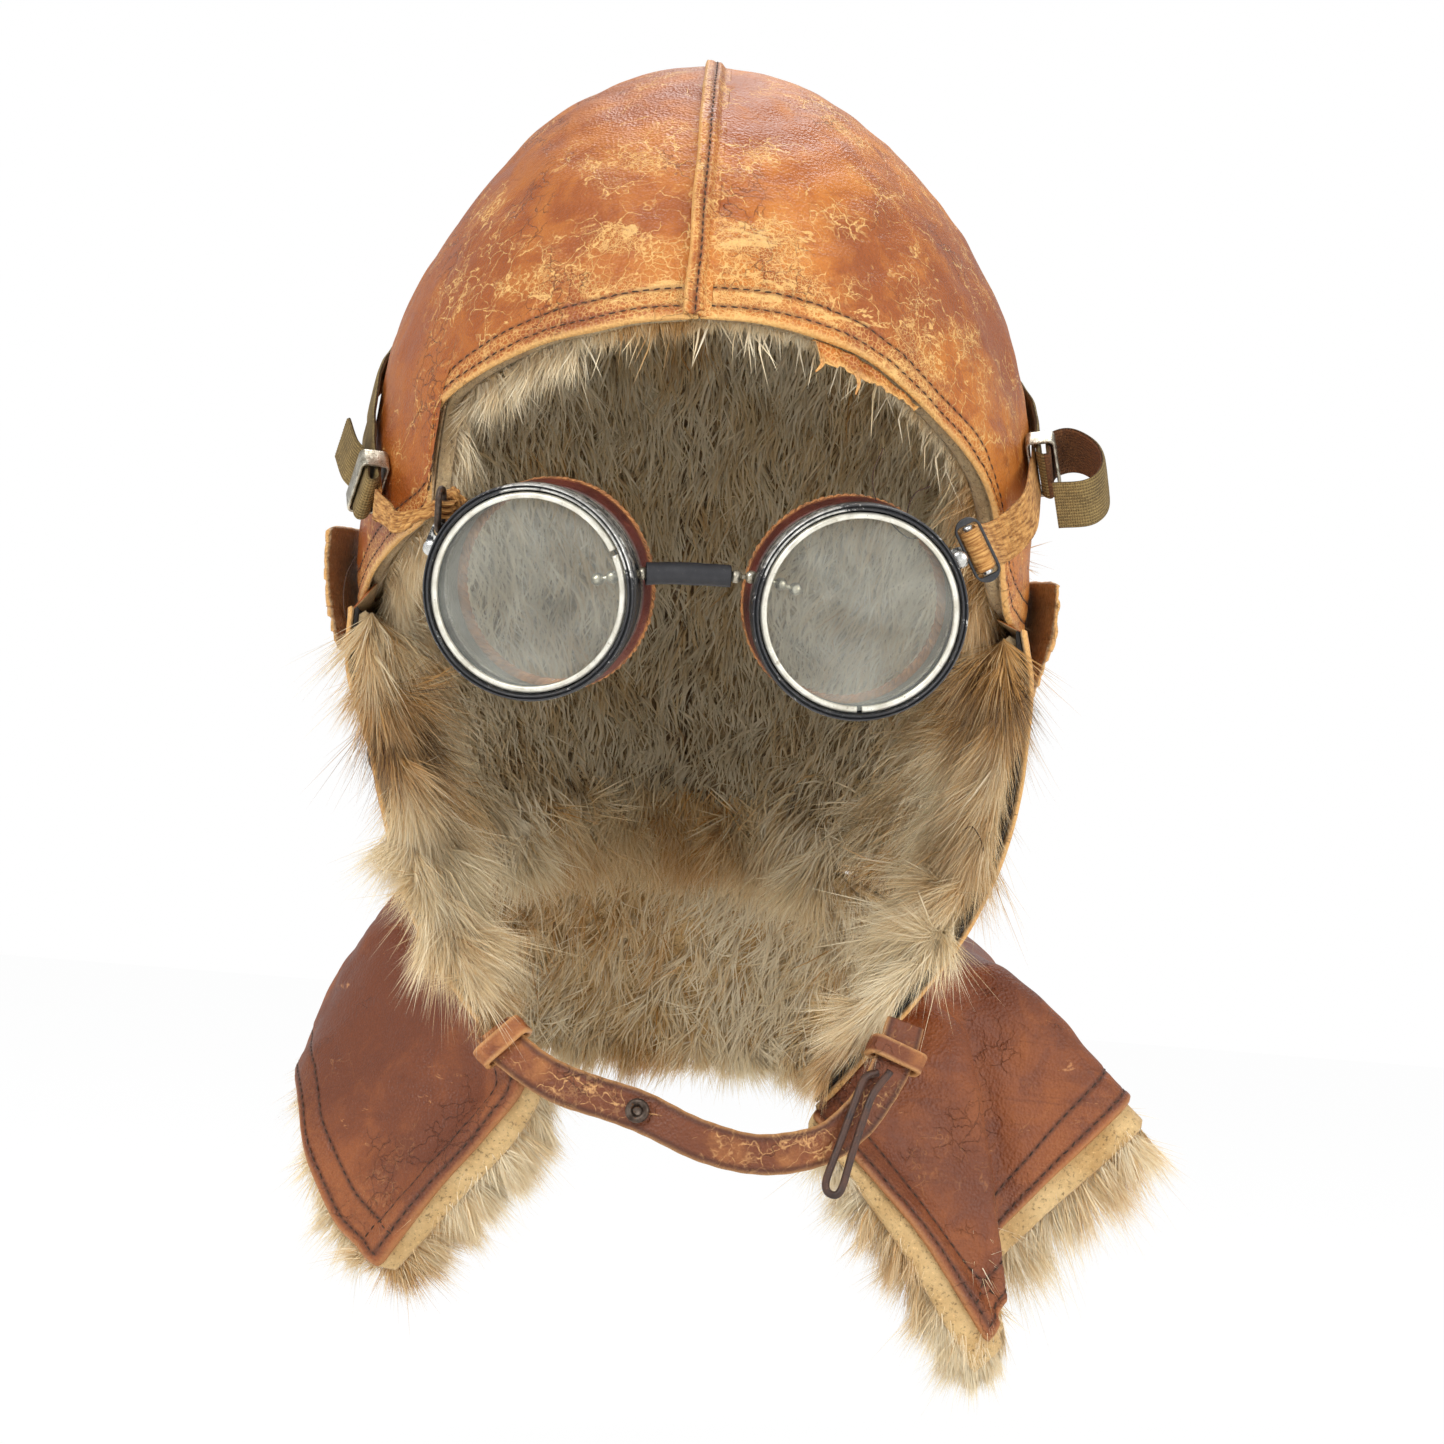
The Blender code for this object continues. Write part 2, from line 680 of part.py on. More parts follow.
def cape_grid(seam, starts, columns, fur_shares, drop, spare=0):
    """A smooth grid from the seam down, with one more row below the hem, which only the fur uses."""
    shares = spline(np.array(starts)[:, None], 2 * len(starts) - 1)[:, 0]
    tops = [along(seam, share) - (0, 0, drop) for share in shares]
    cage = [sized(column) for column in columns[:spare]]
    cage += [np.array([top, *sized(column)]) for top, column in zip(tops[::2], columns[spare:])]
    grid = loft(np.array(cage), 2 * len(cage) - 1, 2 * len(cage[0]) - 1)
    grid[2 * spare :, 0] = tops
    hang = spline(np.array(fur_shares)[:, None], len(grid)) * 2
    below = grid[:, -1] + (grid[:, -1] - grid[:, -2]) * hang
    return np.concatenate([grid, below[:, None]], axis=1)


def cape_piece(name, grid, spare, seams):
    """The leather stops short of the fur at the hem, and at the front edge by the spare columns."""
    facing = turned_out(grid)
    leather_part = (slice(2 * spare, None), slice(0, -1))
    leather("cape_" + name, grid[leather_part], facing[leather_part], CAPE_LEATHER)
    fur = grid.copy()
    for end, inside in seams:
        fur[end] = grid[end] + (grid[inside] - grid[end]) * FUR_STEP_BACK_share
    lining("cape_lining_" + name, fur, facing, CAPE_FUR_THICK)
    return grid, facing


def make_cape(cheeks, crown):
    grids = {}
    half_gap = np.array((0, SEAM_GAP, 0))
    shift = half_gap / (HEAD_HALF_WIDTH, HEAD_HALF_DEPTH, CROWN_RISE)
    left_end = np.array(CAPE_SEAM_LEFT_shares)
    right_end = np.array(CAPE_SEAM_RIGHT_shares)
    left = (CAPE_LEFT_STARTS_share, CAPE_LEFT_shares, left_end, FUR_LEFT_share, CAPE_DROP_LEFT)
    right = (CAPE_RIGHT_STARTS_share, CAPE_RIGHT_shares, right_end, FUR_RIGHT_share, CAPE_DROP)
    for name, (starts, cage, end, fur, drop) in (("left", left), ("right", right)):
        seam = cheeks[name][0][:, -1]
        columns = [*cage, end - shift]
        grid = cape_grid(seam, starts, columns, fur, drop, spare=1)
        grids[name] = cape_piece(name, grid, 1, ((-1, -2),))
    nape = nape_line(cheeks, crown)
    columns = [left_end + shift, *CAPE_BACK_shares, right_end + shift]
    grid = cape_grid(nape, CAPE_BACK_STARTS_share, columns, FUR_BACK_share, CAPE_DROP)
    grids["back"] = cape_piece("back", grid, 0, ((0, 1), (-1, -2)))
    return grids


def nape_line(cheeks, crown):
    """The neck seam behind, from the back of the left cheek to the back of the right one."""
    ends = {side: cheeks[side][0][-1, -1] for side in ("left", "right")}
    behind = {}
    for side in ("left", "right"):
        low = crown[side][0][:, 0]
        start = ends[side][1] + SEAM_GAP * 4
        behind[side] = [p for p in low if p[1] > start and p[2] < NAPE_share * CROWN_RISE]
    line = np.array([ends["left"], *behind["left"], *behind["right"][::-1], ends["right"]])
    return even(line, line, 2 * len(CAPE_BACK_STARTS_share) - 1)


def make_brow_facing():
    """The torn strip of leather that hangs below the right brow hem."""
    edge = spline(EDGE_RIGHT_shares, CROWN_COLUMNS * 4)
    chosen = [e for e in edge if FACING_SPAN_share[0] < e[0] < FACING_SPAN_share[1] and e[1] > 0][::2]
    columns = []
    for azimuth_share, height_share in chosen:
        column = []
        for k in range(3):
            height = height_share * CROWN_RISE - SEAM_GAP / 2 - FACING_DROP * k / 2
            column.append(head_place(azimuth_share * math.pi, height, 1, -LAYER_GAP)[0])
        columns.append(column)
    grid = np.array(columns)
    facing = turned_out(grid)
    grid, facing = flip_to(grid, facing)
    return sheet("brow_facing", grid, facing, 0.0, FACING_THICK, CROWN_LEATHER)


FACING_SPAN_share = (0.115, 0.235)
CAPE_BACK_STARTS_share = (0.0, 0.2, 0.4, 0.6, 0.8, 1.0)
FUR_STEP_BACK_share = 0.12
CAPE_DROP = 0.0026
CAPE_DROP_LEFT = 0.0019
NAPE_share = -0.48


# Strap route round the head, left to right, as (share of the half turn, share of the rise)
WEB_LEFT_shares = (
    (0.367, 0.185), (0.422, 0.302), (0.489, 0.397), (0.583, 0.483), (0.722, 0.543), (0.878, 0.569),
)
WEB_RIGHT_shares = (
    (0.878, 0.573), (0.722, 0.56), (0.6, 0.517), (0.511, 0.448), (0.433, 0.336),
)
SLIDE_LENGTH = 0.0060
SLIDE_THICK = 0.0008
WEB_AT_SLIDE = 0.0027
WEB_FOLD = 0.0036
TAIL_LEFT = 0.017
TAIL_LIFT = 0.0075
LOOP_OUT = 0.0150
LOOP_DROP = 0.0230

# Goggle elastics, from the goggles' fitting back to the slide, as places
ELASTIC_LEFT_shares = (
    (-0.798, -0.792, 0.099), (-0.839, -0.66, 0.116), (-0.887, -0.538, 0.138),
)
ELASTIC_RIGHT_shares = (
    (0.893, -0.792, 0.155), (0.946, -0.66, 0.19), (0.988, -0.528, 0.233),
)
ELASTIC_LIFT = 0.0016
ELASTIC_NARROW_share = 0.40
ELASTIC_WIDTH = 0.0105

# Chin strap from the left chin corner to the keeper at the right one
CHIN_shares = (
    (-0.429, -0.689, -0.927), (-0.369, -0.708, -0.971), (-0.226, -0.755, -1.026),
    (0.0, -0.811, -1.066), (0.185, -0.835, -1.116), (0.357, -0.821, -1.136),
    (0.524, -0.788, -1.11), (0.619, -0.764, -1.056), (0.679, -0.736, -0.991),
    (0.72, -0.708, -0.922), (0.744, -0.679, -0.849),
)
CHIN_STUD_share = 0.30
CHIN_LEAN_share = 0.35
CHIN_STEPS = 34
ELASTIC_STEPS = 16
# Loop of lace that ties the strap to its keeper
LACE_shares = (
    (0.673, -0.753, -0.953), (0.637, -0.769, -0.966), (0.613, -0.79, -1.017),
    (0.589, -0.808, -1.078), (0.565, -0.823, -1.138), (0.548, -0.83, -1.185),
    (0.577, -0.835, -1.207), (0.599, -0.83, -1.172), (0.617, -0.816, -1.121),
    (0.64, -0.801, -1.052), (0.664, -0.783, -0.996), (0.708, -0.759, -0.948),
)


def strap_ring(name, place, ahead, out, width, height, length, wall, mat):
    """A flat loop round a strap: a rectangle of sheet, its hole as wide and high as given."""
    ahead = ahead / np.linalg.norm(ahead)
    side = np.cross(ahead, out)
    half, low, high = width / 2, 0.0, height
    corners = [(-half, low), (half, low), (half, high), (-half, high)]
    path, outward = [], []
    for k, (a, b) in enumerate(corners):
        before, after = corners[k - 1], corners[(k + 1) % 4]
        for other in (before, after):
            step = np.array(other) - (a, b)
            step *= wall / np.linalg.norm(step)
            path.append(place + side * (a + step[0]) + out * (b + step[1]))
            outward.append(side * a / half + out * (b - height / 2) / (height / 2))
    section = [(-length / 2, 0), (length / 2, 0), (length / 2, wall), (-length / 2, wall)]
    return sweep(name, path, outward, section, mat, closed=True)


def web_places():
    """The webbing's path and outward directions on the head, each end ready for its slide."""
    left = [(-a * math.pi, h * CROWN_RISE) for a, h in WEB_LEFT_shares]
    right = [((a - 2) * math.pi, h * CROWN_RISE) for a, h in WEB_RIGHT_shares]
    fine = spline(left + right, WEB_STEPS * 10)
    route = even(fine, fine * (HEAD_HALF_DEPTH, 1), WEB_STEPS)
    path, outward = [], []
    last = len(route) - 1
    for i, (azimuth, height) in enumerate(route):
        end = min(i, last - i) / 3
        lift = LEATHER_THICK + WEB_STAND_OFF + (WEB_AT_SLIDE - WEB_STAND_OFF) * max(0.0, 1 - end)
        seam = abs(abs(azimuth) / math.pi - 1) / LAP_BUMP_share
        lift += (LEATHER_THICK + LAYER_GAP) * max(0.0, 1.5 - seam)
        beyond = -azimuth > math.pi
        turn = 2 * math.pi + azimuth if beyond else -azimuth
        place, out = head_place(turn, height, 1 if beyond else -1, lift)
        path.append(place)
        outward.append(out)
    return np.array(path), np.array(outward)


def folded(place, ahead, out, table):
    """A path in the plane of ahead and out, with the direction square to it, from (ahead, out) steps."""
    ahead = ahead / np.linalg.norm(ahead)
    steps = spline(table, 3 * len(table) - 2)
    slope = np.gradient(steps, axis=0)
    path = [place + ahead * a + out * b for a, b in steps]
    outward = [(-ahead * sb + out * sa) / math.hypot(sa, sb) for sa, sb in slope]
    return path, outward


def make_web():
    path, outward = web_places()
    fold = WEB_FOLD
    left_table = [
        (SLIDE_LENGTH / 2, 0),
        (SLIDE_LENGTH, 0),
        (SLIDE_LENGTH + fold / 2, fold / 2),
        (SLIDE_LENGTH, fold),
        (-SLIDE_LENGTH / 2, fold),
        (-TAIL_LEFT / 2, fold + TAIL_LIFT / 3),
        (-TAIL_LEFT, TAIL_LIFT),
    ]
    right_table = [
        (SLIDE_LENGTH / 2, 0),
        (SLIDE_LENGTH, 0),
        (SLIDE_LENGTH + fold / 2, fold / 2),
        (SLIDE_LENGTH, fold),
        (-SLIDE_LENGTH / 2, fold),
        (-SLIDE_LENGTH, fold + LOOP_OUT / 4),
        (-SLIDE_LENGTH / 2, LOOP_OUT * 0.75),
        (SLIDE_LENGTH, LOOP_OUT),
        (LOOP_DROP * 0.75, LOOP_OUT),
        (LOOP_DROP, LOOP_OUT * 0.75),
        (LOOP_DROP, fold),
    ]
    ahead_left, ahead_right = path[0] - path[1], path[-1] - path[-2]
    first, first_out = folded(path[0], ahead_left, outward[0], left_table)
    last, last_out = folded(path[-1], ahead_right, outward[-1], right_table)
    whole = [*first[::-1], *path, *last]
    facing = [*first_out[::-1], *outward, *last_out]
    sweep("goggle_web", whole, facing, band(WEB_WIDTH, WEB_THICK), WEBBING)
    slides = {}
    for label, end, ahead, out in (
        ("left", path[0], ahead_left, outward[0]),
        ("right", path[-1], ahead_right, outward[-1]),
    ):
        ahead = ahead / np.linalg.norm(ahead)
        height = WEB_AT_SLIDE - ELASTIC_LIFT + 2 * SLIDE_GAP + WEB_FOLD
        start = end - out * (WEB_AT_SLIDE - ELASTIC_LIFT + SLIDE_GAP)
        wide = WEB_WIDTH + 2 * SLIDE_GAP
        strap_ring("web_slide_" + label, start, ahead, out, wide, height, SLIDE_LENGTH, SLIDE_THICK, NICKEL)
        slides[label] = (end, ahead, out)
        PIVOTS["web_slide_" + label] = end
    return slides


def make_elastic(label, bight, route_shares, slide):
    """From the short sewn end, round its fitting, and back to lie under the webbing in the slide."""
    end, ahead, out = slide
    under = end - out * (WEB_AT_SLIDE - ELASTIC_LIFT)
    bight_path, bight_out = bight
    route = [place for place in sized(route_shares)]
    half = ahead * SLIDE_LENGTH / 2
    tail = [under + half * 3 - out * ELASTIC_THICK / 2, under + half, under - half]
    run = spline([bight_path[-1], *route, *tail], ELASTIC_STEPS)[1:]
    start_out = np.array(bight_out[-1])
    run_out = [start_out + (out - start_out) * k / len(run) for k in range(1, len(run) + 1)]
    path = [*bight_path, *run]
    outward = [*bight_out, *run_out]
    widths = [ELASTIC_NARROW_share if label == "left" else 1.0] * len(bight_path)
    widths += list(np.linspace(widths[0], 1.0, len(run)))
    made = ribbon("elastic_" + label, path, outward, ELASTIC_WIDTH, widths, ELASTIC_THICK, ELASTIC)
    return made


def ribbon(name, path, outward, width, widths, thickness, mat):
    """A strap whose width is a share of the full one at each place."""
    path = np.asarray(path, float)
    outward = np.asarray(outward, float)
    ahead = np.gradient(path, axis=0)
    side = np.cross(ahead, outward)
    side /= np.linalg.norm(side, axis=1, keepdims=True)
    out = np.cross(side, ahead)
    out /= np.linalg.norm(out, axis=1, keepdims=True)
    half = (np.asarray(widths) * width / 2)[:, None]
    grid = np.stack([path - side * half, path + side * half], axis=1)
    facing = np.stack([out, out], axis=1)
    grid, facing = flip_to(grid, facing)
    return sheet(name, grid, facing, 0.0, thickness, mat)


def make_ear_flaps():
    for label, side, base in (("left", -1, FLAP_BASE_LEFT), ("right", 1, FLAP_BASE_RIGHT)):
        columns = []
        for s in np.linspace(0, 1, 7):
            azimuth = math.pi * (FLAP_REAR_share + (FLAP_FRONT_share - FLAP_REAR_share) * s)
            column = []
            for t in np.linspace(0, 1, 7):
                height = FLAP_TOP - FLAP_HEIGHT * t
                taper = 1 - FLAP_ROUND_share * t**3 * s
                turn = math.pi * FLAP_REAR_share + (azimuth - math.pi * FLAP_REAR_share) * taper
                lift = base + FLAP_STAND_OFF * s**2
                column.append(head_place(turn, height, side, lift)[0])
            columns.append(column)
        grid = np.array(columns)
        facing = turned_out(grid)
        leather("ear_flap_" + label, grid, facing)
        PIVOTS["ear_flap_" + label] = (columns[0][0] + columns[0][-1]) / 2


def make_stud(name, place, out, radius, height, mat):
    """A domed press stud seated just off the leather."""
    foot = STUD_FOOT
    profile = [
        (0, foot),
        (radius * 0.55, foot),
        (radius * 0.55, height * 0.35),
        (radius, height * 0.4),
        (radius * 0.9, height * 0.75),
        (radius * 0.5, height),
        (0, height),
    ]
    return turned_solid(name, profile, mat, SMALL_STEPS, frame_at(place, out))


def make_chin_strap():
    path = spline(sized(CHIN_shares), CHIN_STEPS)
    outward = []
    for place in path:
        outward.append(np.array((place[0] / HEAD_HALF_WIDTH * CHIN_LEAN_share, -1, 0)))
    outward = np.array(outward)
    sweep("chin_strap", path, outward, band(CHIN_WIDTH, CHIN_THICK, -CHIN_THICK / 2), CAPE_LEATHER)
    at = round(CHIN_STUD_share * (len(path) - 1))
    ahead = path[at + 1] - path[at - 1]
    side = np.cross(ahead, outward[at])
    out = np.cross(side, ahead)
    out /= np.linalg.norm(out)
    seat = path[at] + out * CHIN_THICK / 2
    make_stud("chin_strap_stud", seat, out, CHIN_STUD_RADIUS, CHIN_STUD_HEIGHT, DARK_METAL)
    tube("chin_lace", spline(sized(LACE_shares), CHIN_STEPS), LACE_RADIUS, LACE_LEATHER)
    for label, at in (("left", 2), ("right", len(path) - 4)):
        ahead = path[at + 1] - path[at - 1]
        side = np.cross(ahead, outward[at])
        out = np.cross(side, ahead)
        out /= np.linalg.norm(out)
        height = CHIN_THICK + 2 * KEEPER_GAP
        low = path[at] - out * height / 2
        wide = CHIN_WIDTH + 2 * KEEPER_GAP
        size = (wide, height, KEEPER_WIDTH, KEEPER_THICK)
        strap_ring("strap_keeper_" + label, low, ahead, out, *size, CAPE_LEATHER)
        PIVOTS["strap_keeper_" + label] = path[2]
    for piece in ("chin_strap", "chin_strap_stud", "chin_lace"):
        PIVOTS[piece] = path[2]
    return path


FLAP_BASE_LEFT = 0.0027
FLAP_BASE_RIGHT = 0.0024
FLAP_TOP = 0.011
LAP_BUMP_share = 0.06
WEB_STEPS = 37
FLAP_REAR_share = 0.55
FLAP_FRONT_share = 0.46
FLAP_ROUND_share = 0.45


# Each eyepiece: middle of its front ring, and the way its back faces
EYE_LEFT_shares = (-0.418, -1.038, -0.028)
EYE_RIGHT_shares = (0.517, -1.038, -0.016)
BACK_LEFT = (0.225, 0.967, 0.120)
BACK_RIGHT = (-0.139, 0.983, 0.120)
HOLE_TURN = math.radians(13.5)
LUG_TURN_LEFT = math.radians(22)
LUG_TURN_RIGHT = math.radians(31)
LUG_THICK = 0.0012
LUG_REACH = 0.0044
LUG_EDGE = 0.0006
LUG_HEIGHT_LEFT = 0.0084
LUG_HEIGHT_RIGHT = 0.0050
LUG_HOLE = 0.0014
LUG_HOLE_SPREAD = 0.0022
RIVET_SHANK = 0.0009
CHAIN_INSIDE = 0.0088
PLATE_REACH = 0.0048
PLATE_RIM = 0.0007
SLOT_CORNER = 0.0006
TAB_LENGTH = 0.0037
TAB_SHIFT = 0.0002
BIGHT_GAP = 0.00035
SHORT_END = 0.0080


EYE_PIECES = (
    "bezel_",
    "lens_ring_",
    "lens_",
    "rim_body_",
    "vent_gauze_",
    "eye_cup_",
    "cup_edging_",
)


def eye_profiles():
    """Where each ring of an eyepiece starts, counted back from its front."""
    body = BEZEL_DEPTH + PIECE_GAP
    gauze = body + BODY_DEPTH + PIECE_GAP
    cup = gauze + GAUZE_DEPTH + PIECE_GAP
    return body, gauze, cup


def eye_frame(label):
    place = sized(EYE_LEFT_shares if label == "left" else EYE_RIGHT_shares)
    return frame_at(place, BACK_LEFT if label == "left" else BACK_RIGHT)


def temple_sign(label):
    """The frame's own X axis runs towards the left, so the left temple is its positive side."""
    return 1 if label == "left" else -1


def local(frame, radius, turn, along, label, temple=True):
    """A place at an angle above the level, on the temple or the nose side of an eyepiece."""
    side = temple_sign(label) * (1 if temple else -1)
    return frame @ Vector((side * radius * math.cos(turn), radius * math.sin(turn), along))


def axes(frame, turn, label):
    """Outward, upward and backward directions at an angle above the level on the temple side."""
    side = temple_sign(label)
    turn_matrix = frame.to_3x3()
    out = turn_matrix @ Vector((side * math.cos(turn), math.sin(turn), 0))
    up = turn_matrix @ Vector((-side * math.sin(turn), math.cos(turn), 0))
    back = turn_matrix @ Vector((0, 0, 1))
    return np.array(out), np.array(up), np.array(back)


def cylinder(name, start, end, radius, mat, home=HELMET, steps=SMALL_STEPS):
    start, end = Vector(start), Vector(end)
    bpy.ops.mesh.primitive_cylinder_add(vertices=steps, radius=radius, depth=(end - start).length)
    made = bpy.context.object
    made.name = name
    made.matrix_world = frame_at((start + end) / 2, end - start, (0, 0.1, 1))
    return keep(made, mat, home)


def block(name, middle, directions, sizes, mat, home=HELMET):
    """A box with its sides along three given directions."""
    bpy.ops.mesh.primitive_cube_add(size=1)
    made = bpy.context.object
    made.name = name
    turn = Matrix([list(d) for d in directions]).transposed().to_4x4()
    made.matrix_world = Matrix.Translation(Vector(middle)) @ turn @ Matrix.Diagonal((*sizes, 1))
    return keep(made, mat, home)


def make_rings(label, frame):
    body, gauze, cup = eye_profiles()
    bore = RING_RADIUS + LENS_CLEAR
    turned("bezel_" + label, [
        (bore, 0),
        (RIM_RADIUS - BEZEL_LIP / 2, 0),
        (RIM_RADIUS, BEZEL_LIP / 2),
        (RIM_RADIUS, BEZEL_DEPTH),
        (bore, BEZEL_DEPTH),
    ], BLACK_PAINT, ROUND_STEPS, frame)
    ring = LENS_CLEAR_DEPTH
    turned("lens_ring_" + label, [
        (RING_BORE, ring),
        (RING_RADIUS, ring),
        (RING_RADIUS, ring + RING_THICK),
        (RING_BORE, ring + RING_THICK),
    ], PALE_METAL, ROUND_STEPS, frame)
    front = ring + RING_THICK + LENS_CLEAR_DEPTH
    turned_solid("lens_" + label, [
        (0, front),
        (LENS_RADIUS, front),
        (LENS_RADIUS, front + LENS_THICK),
        (0, front + LENS_THICK),
    ], GLASS, ROUND_STEPS, frame)
    seat = front + LENS_THICK + LENS_CLEAR_DEPTH
    outer = RIM_RADIUS - BODY_STEP
    rim = turned("rim_body_" + label, [
        (RING_BORE, seat),
        (RING_RADIUS, seat),
        (RING_RADIUS, body),
        (outer, body),
        (outer, body + BODY_DEPTH),
        (outer - RIM_WALL, body + BODY_DEPTH),
        (outer - RIM_WALL, body + RIM_WALL / 2),
        (RING_BORE, body),
    ], BLACK_PAINT, ROUND_STEPS, frame)
    turned("vent_gauze_" + label, [
        (outer - RIM_WALL, gauze),
        (outer - RIM_WALL + GAUZE_WALL, gauze),
        (outer - RIM_WALL + GAUZE_WALL, gauze + GAUZE_DEPTH),
        (outer - RIM_WALL, gauze + GAUZE_DEPTH),
    ], GAUZE, ROUND_STEPS, frame)
    return rim


def cup_depth(turn, label):
    """The cup is deepest at the temple and shallowest at the nose."""
    share = (1 + temple_sign(label) * math.cos(turn)) / 2
    return CUP_NOSE_DEPTH + (CUP_TEMPLE_DEPTH - CUP_NOSE_DEPTH) * share


def ring_loft(name, rings, mat, frame):
    """Closed sections set round an axis, joined into one ring."""
    count, sides = len(rings), len(rings[0])
    points = [frame @ Vector(p) for ring in rings for p in ring]
    faces = []
    for i in range(count):
        n = (i + 1) % count
        for j in range(sides):
            k = (j + 1) % sides
            faces.append((i * sides + j, i * sides + k, n * sides + k, n * sides + j))
    made = mesh_object(name, points, faces, mat)
    shape = bmesh.new()
    shape.from_mesh(made.data)
    bmesh.ops.recalc_face_normals(shape, faces=shape.faces)
    shape.to_mesh(made.data)
    shape.free()
    return made


def make_cup(label, frame):
    cup = eye_profiles()[2]
    inner = RIM_RADIUS - BODY_STEP - RIM_WALL
    walls, cords = [], []
    for k in range(ROUND_STEPS):
        turn = 2 * math.pi * k / ROUND_STEPS
        deep = cup_depth(turn, label)
        wide = inner + CUP_WALL
        section = [
            (inner, cup),
            (wide, cup),
            (wide + CUP_FLARE, cup + deep),
            (inner + CUP_FLARE, cup + deep),
        ]
        c, s = math.cos(turn), math.sin(turn)
        walls.append([(r * c, r * s, z) for r, z in section])
        middle = inner + CUP_FLARE + CUP_WALL / 2 - EDGING_RADIUS / 2
        behind = cup + deep + EDGING_RADIUS + EDGING_TWIST + PIECE_GAP
        cord = []
        for m in range(6):
            angle = 2 * math.pi * m / 6
            size = EDGING_RADIUS + EDGING_TWIST * math.cos(2 * angle - math.pi * k / 2)
            r = middle + size * math.cos(angle)
            cord.append((r * c, r * s, behind + size * math.sin(angle)))
        cords.append(cord)
    ring_loft("eye_cup_" + label, walls, OXBLOOD, frame)
    ring_loft("cup_edging_" + label, cords, CORD_EDGE, frame)


def bridge_line():
    """The holes where the chain enters each rim, and the inside ends of the chain."""
    body = eye_profiles()[0]
    along = body + BODY_DEPTH / 2
    radius = RIM_RADIUS - BODY_STEP - RIM_WALL / 2
    holes, ends = {}, {}
    for label in ("left", "right"):
        frame = eye_frame(label)
        holes[label] = np.array(local(frame, radius, HOLE_TURN, along, label, temple=False))
        ends[label] = np.array(local(frame, radius - CHAIN_INSIDE, HOLE_TURN, along, label, temple=False))
    return holes, ends


def make_bridge(rims):
    holes, ends = bridge_line()
    line = holes["right"] - holes["left"]
    step = line / np.linalg.norm(line)
    length = np.linalg.norm(line) * SLEEVE_LENGTH_share
    for label, way in (("left", 1), ("right", -1)):
        inside = holes[label] - way * step * OVERRUN
        outside = holes[label] + way * step * OVERRUN
        hole = cylinder("chain_hole_" + label, inside, outside, CHAIN_HOLE_RADIUS, RUBBER, CUTTERS)
        cut(rims[label], hole)
    start = holes["left"] + step * (RIM_WALL + SLEEVE_RADIUS / 2)
    frame = frame_at(start, step)
    turned("bridge_sleeve", [
        (SLEEVE_BORE, 0),
        (SLEEVE_RADIUS, 0),
        (SLEEVE_RADIUS, length),
        (SLEEVE_BORE, length),
    ], RUBBER, SMALL_STEPS, frame)
    route = [ends["left"], holes["left"], holes["right"], ends["right"]]
    make_chain(route)
    for label in ("left", "right"):
        for piece in EYE_PIECES:
            PIVOTS[piece + label] = holes[label]
    PIVOTS["lug_rivet_left"] = holes["left"]
    PIVOTS["plate_rivet"] = holes["right"]
    return holes


def make_chain(route):
    """Round beads on a wire, one bead each pitch along the route."""
    legs = [np.linalg.norm(b - a) for a, b in zip(route, route[1:])]
    length = sum(legs)
    count = round(length / BEAD_PITCH)
    places, radii = [], []
    for k in range(count + 1):
        middle = k * length / count
        for shift, size in ((-1.0, 0.0), (-0.5, 0.9), (0.5, 0.9), (1.0, 0.0)):
            at = middle + shift * BEAD_RADIUS
            if 0 <= at <= length or (k in (0, count)):
                places.append(on_route(route, legs, at))
                radii.append(max(size * BEAD_RADIUS, LINK_RADIUS))
    made = tube("bridge_chain", places, 1.0, NICKEL, sides=1, radii=radii)
    return made


def on_route(route, legs, at):
    for i, leg in enumerate(legs):
        if at <= leg or i == len(legs) - 1:
            return route[i] + (route[i + 1] - route[i]) * at / leg
        at -= leg


def make_lug(label, frame, rim):
    """A small plate on the rim's side wall, with a hole for what hangs on it."""
    body = eye_profiles()[0]
    along = body + BODY_DEPTH / 2
    turn = LUG_TURN_LEFT if label == "left" else LUG_TURN_RIGHT
    out, up, back = axes(frame, turn, label)
    outer = RIM_RADIUS - BODY_STEP
    height = LUG_HEIGHT_LEFT if label == "left" else LUG_HEIGHT_RIGHT
    root = np.array(local(frame, outer, turn, along, label))
    middle = root + out * (LUG_REACH - RIM_WALL / 2) / 2
    size = (LUG_REACH + RIM_WALL / 2, height, LUG_THICK)
    lug = block("lug_" + label, middle, (out, up, back), size, BLACK_PAINT, CUTTERS)
    cut(rim, lug, "UNION")
    spots = (LUG_HOLE_SPREAD, -LUG_HOLE_SPREAD) if label == "left" else (0.0,)
    centres = []
    for k, spot in enumerate(spots):
        centre = root + out * (LUG_REACH - LUG_HOLE - LUG_EDGE) + up * spot
        centres.append(centre)
        half = back * OVERRUN / 2
        name = "lug_hole_%s_%d" % (label, k)
        cut(rim, cylinder(name, centre - half, centre + half, LUG_HOLE, BLACK_PAINT, CUTTERS))
    return centres, out, up, back


def make_rivet(name, centre, back, front_reach):
    """A rivet through a lug, its head in front and its tail behind, a piece gap clear of the plates."""
    rear = LUG_THICK / 2 + PIECE_GAP
    profile = [
        (0, -front_reach - RIVET_HEAD),
        (RIVET_RADIUS * 0.8, -front_reach - RIVET_HEAD),
        (RIVET_RADIUS, -front_reach),
        (RIVET_SHANK, -front_reach),
        (RIVET_SHANK, rear),
        (RIVET_RADIUS, rear),
        (RIVET_RADIUS, rear + RIVET_HEAD),
        (0, rear + RIVET_HEAD),
    ]
    return turned_solid(name, profile, NICKEL, SMALL_STEPS, frame_at(centre, back))


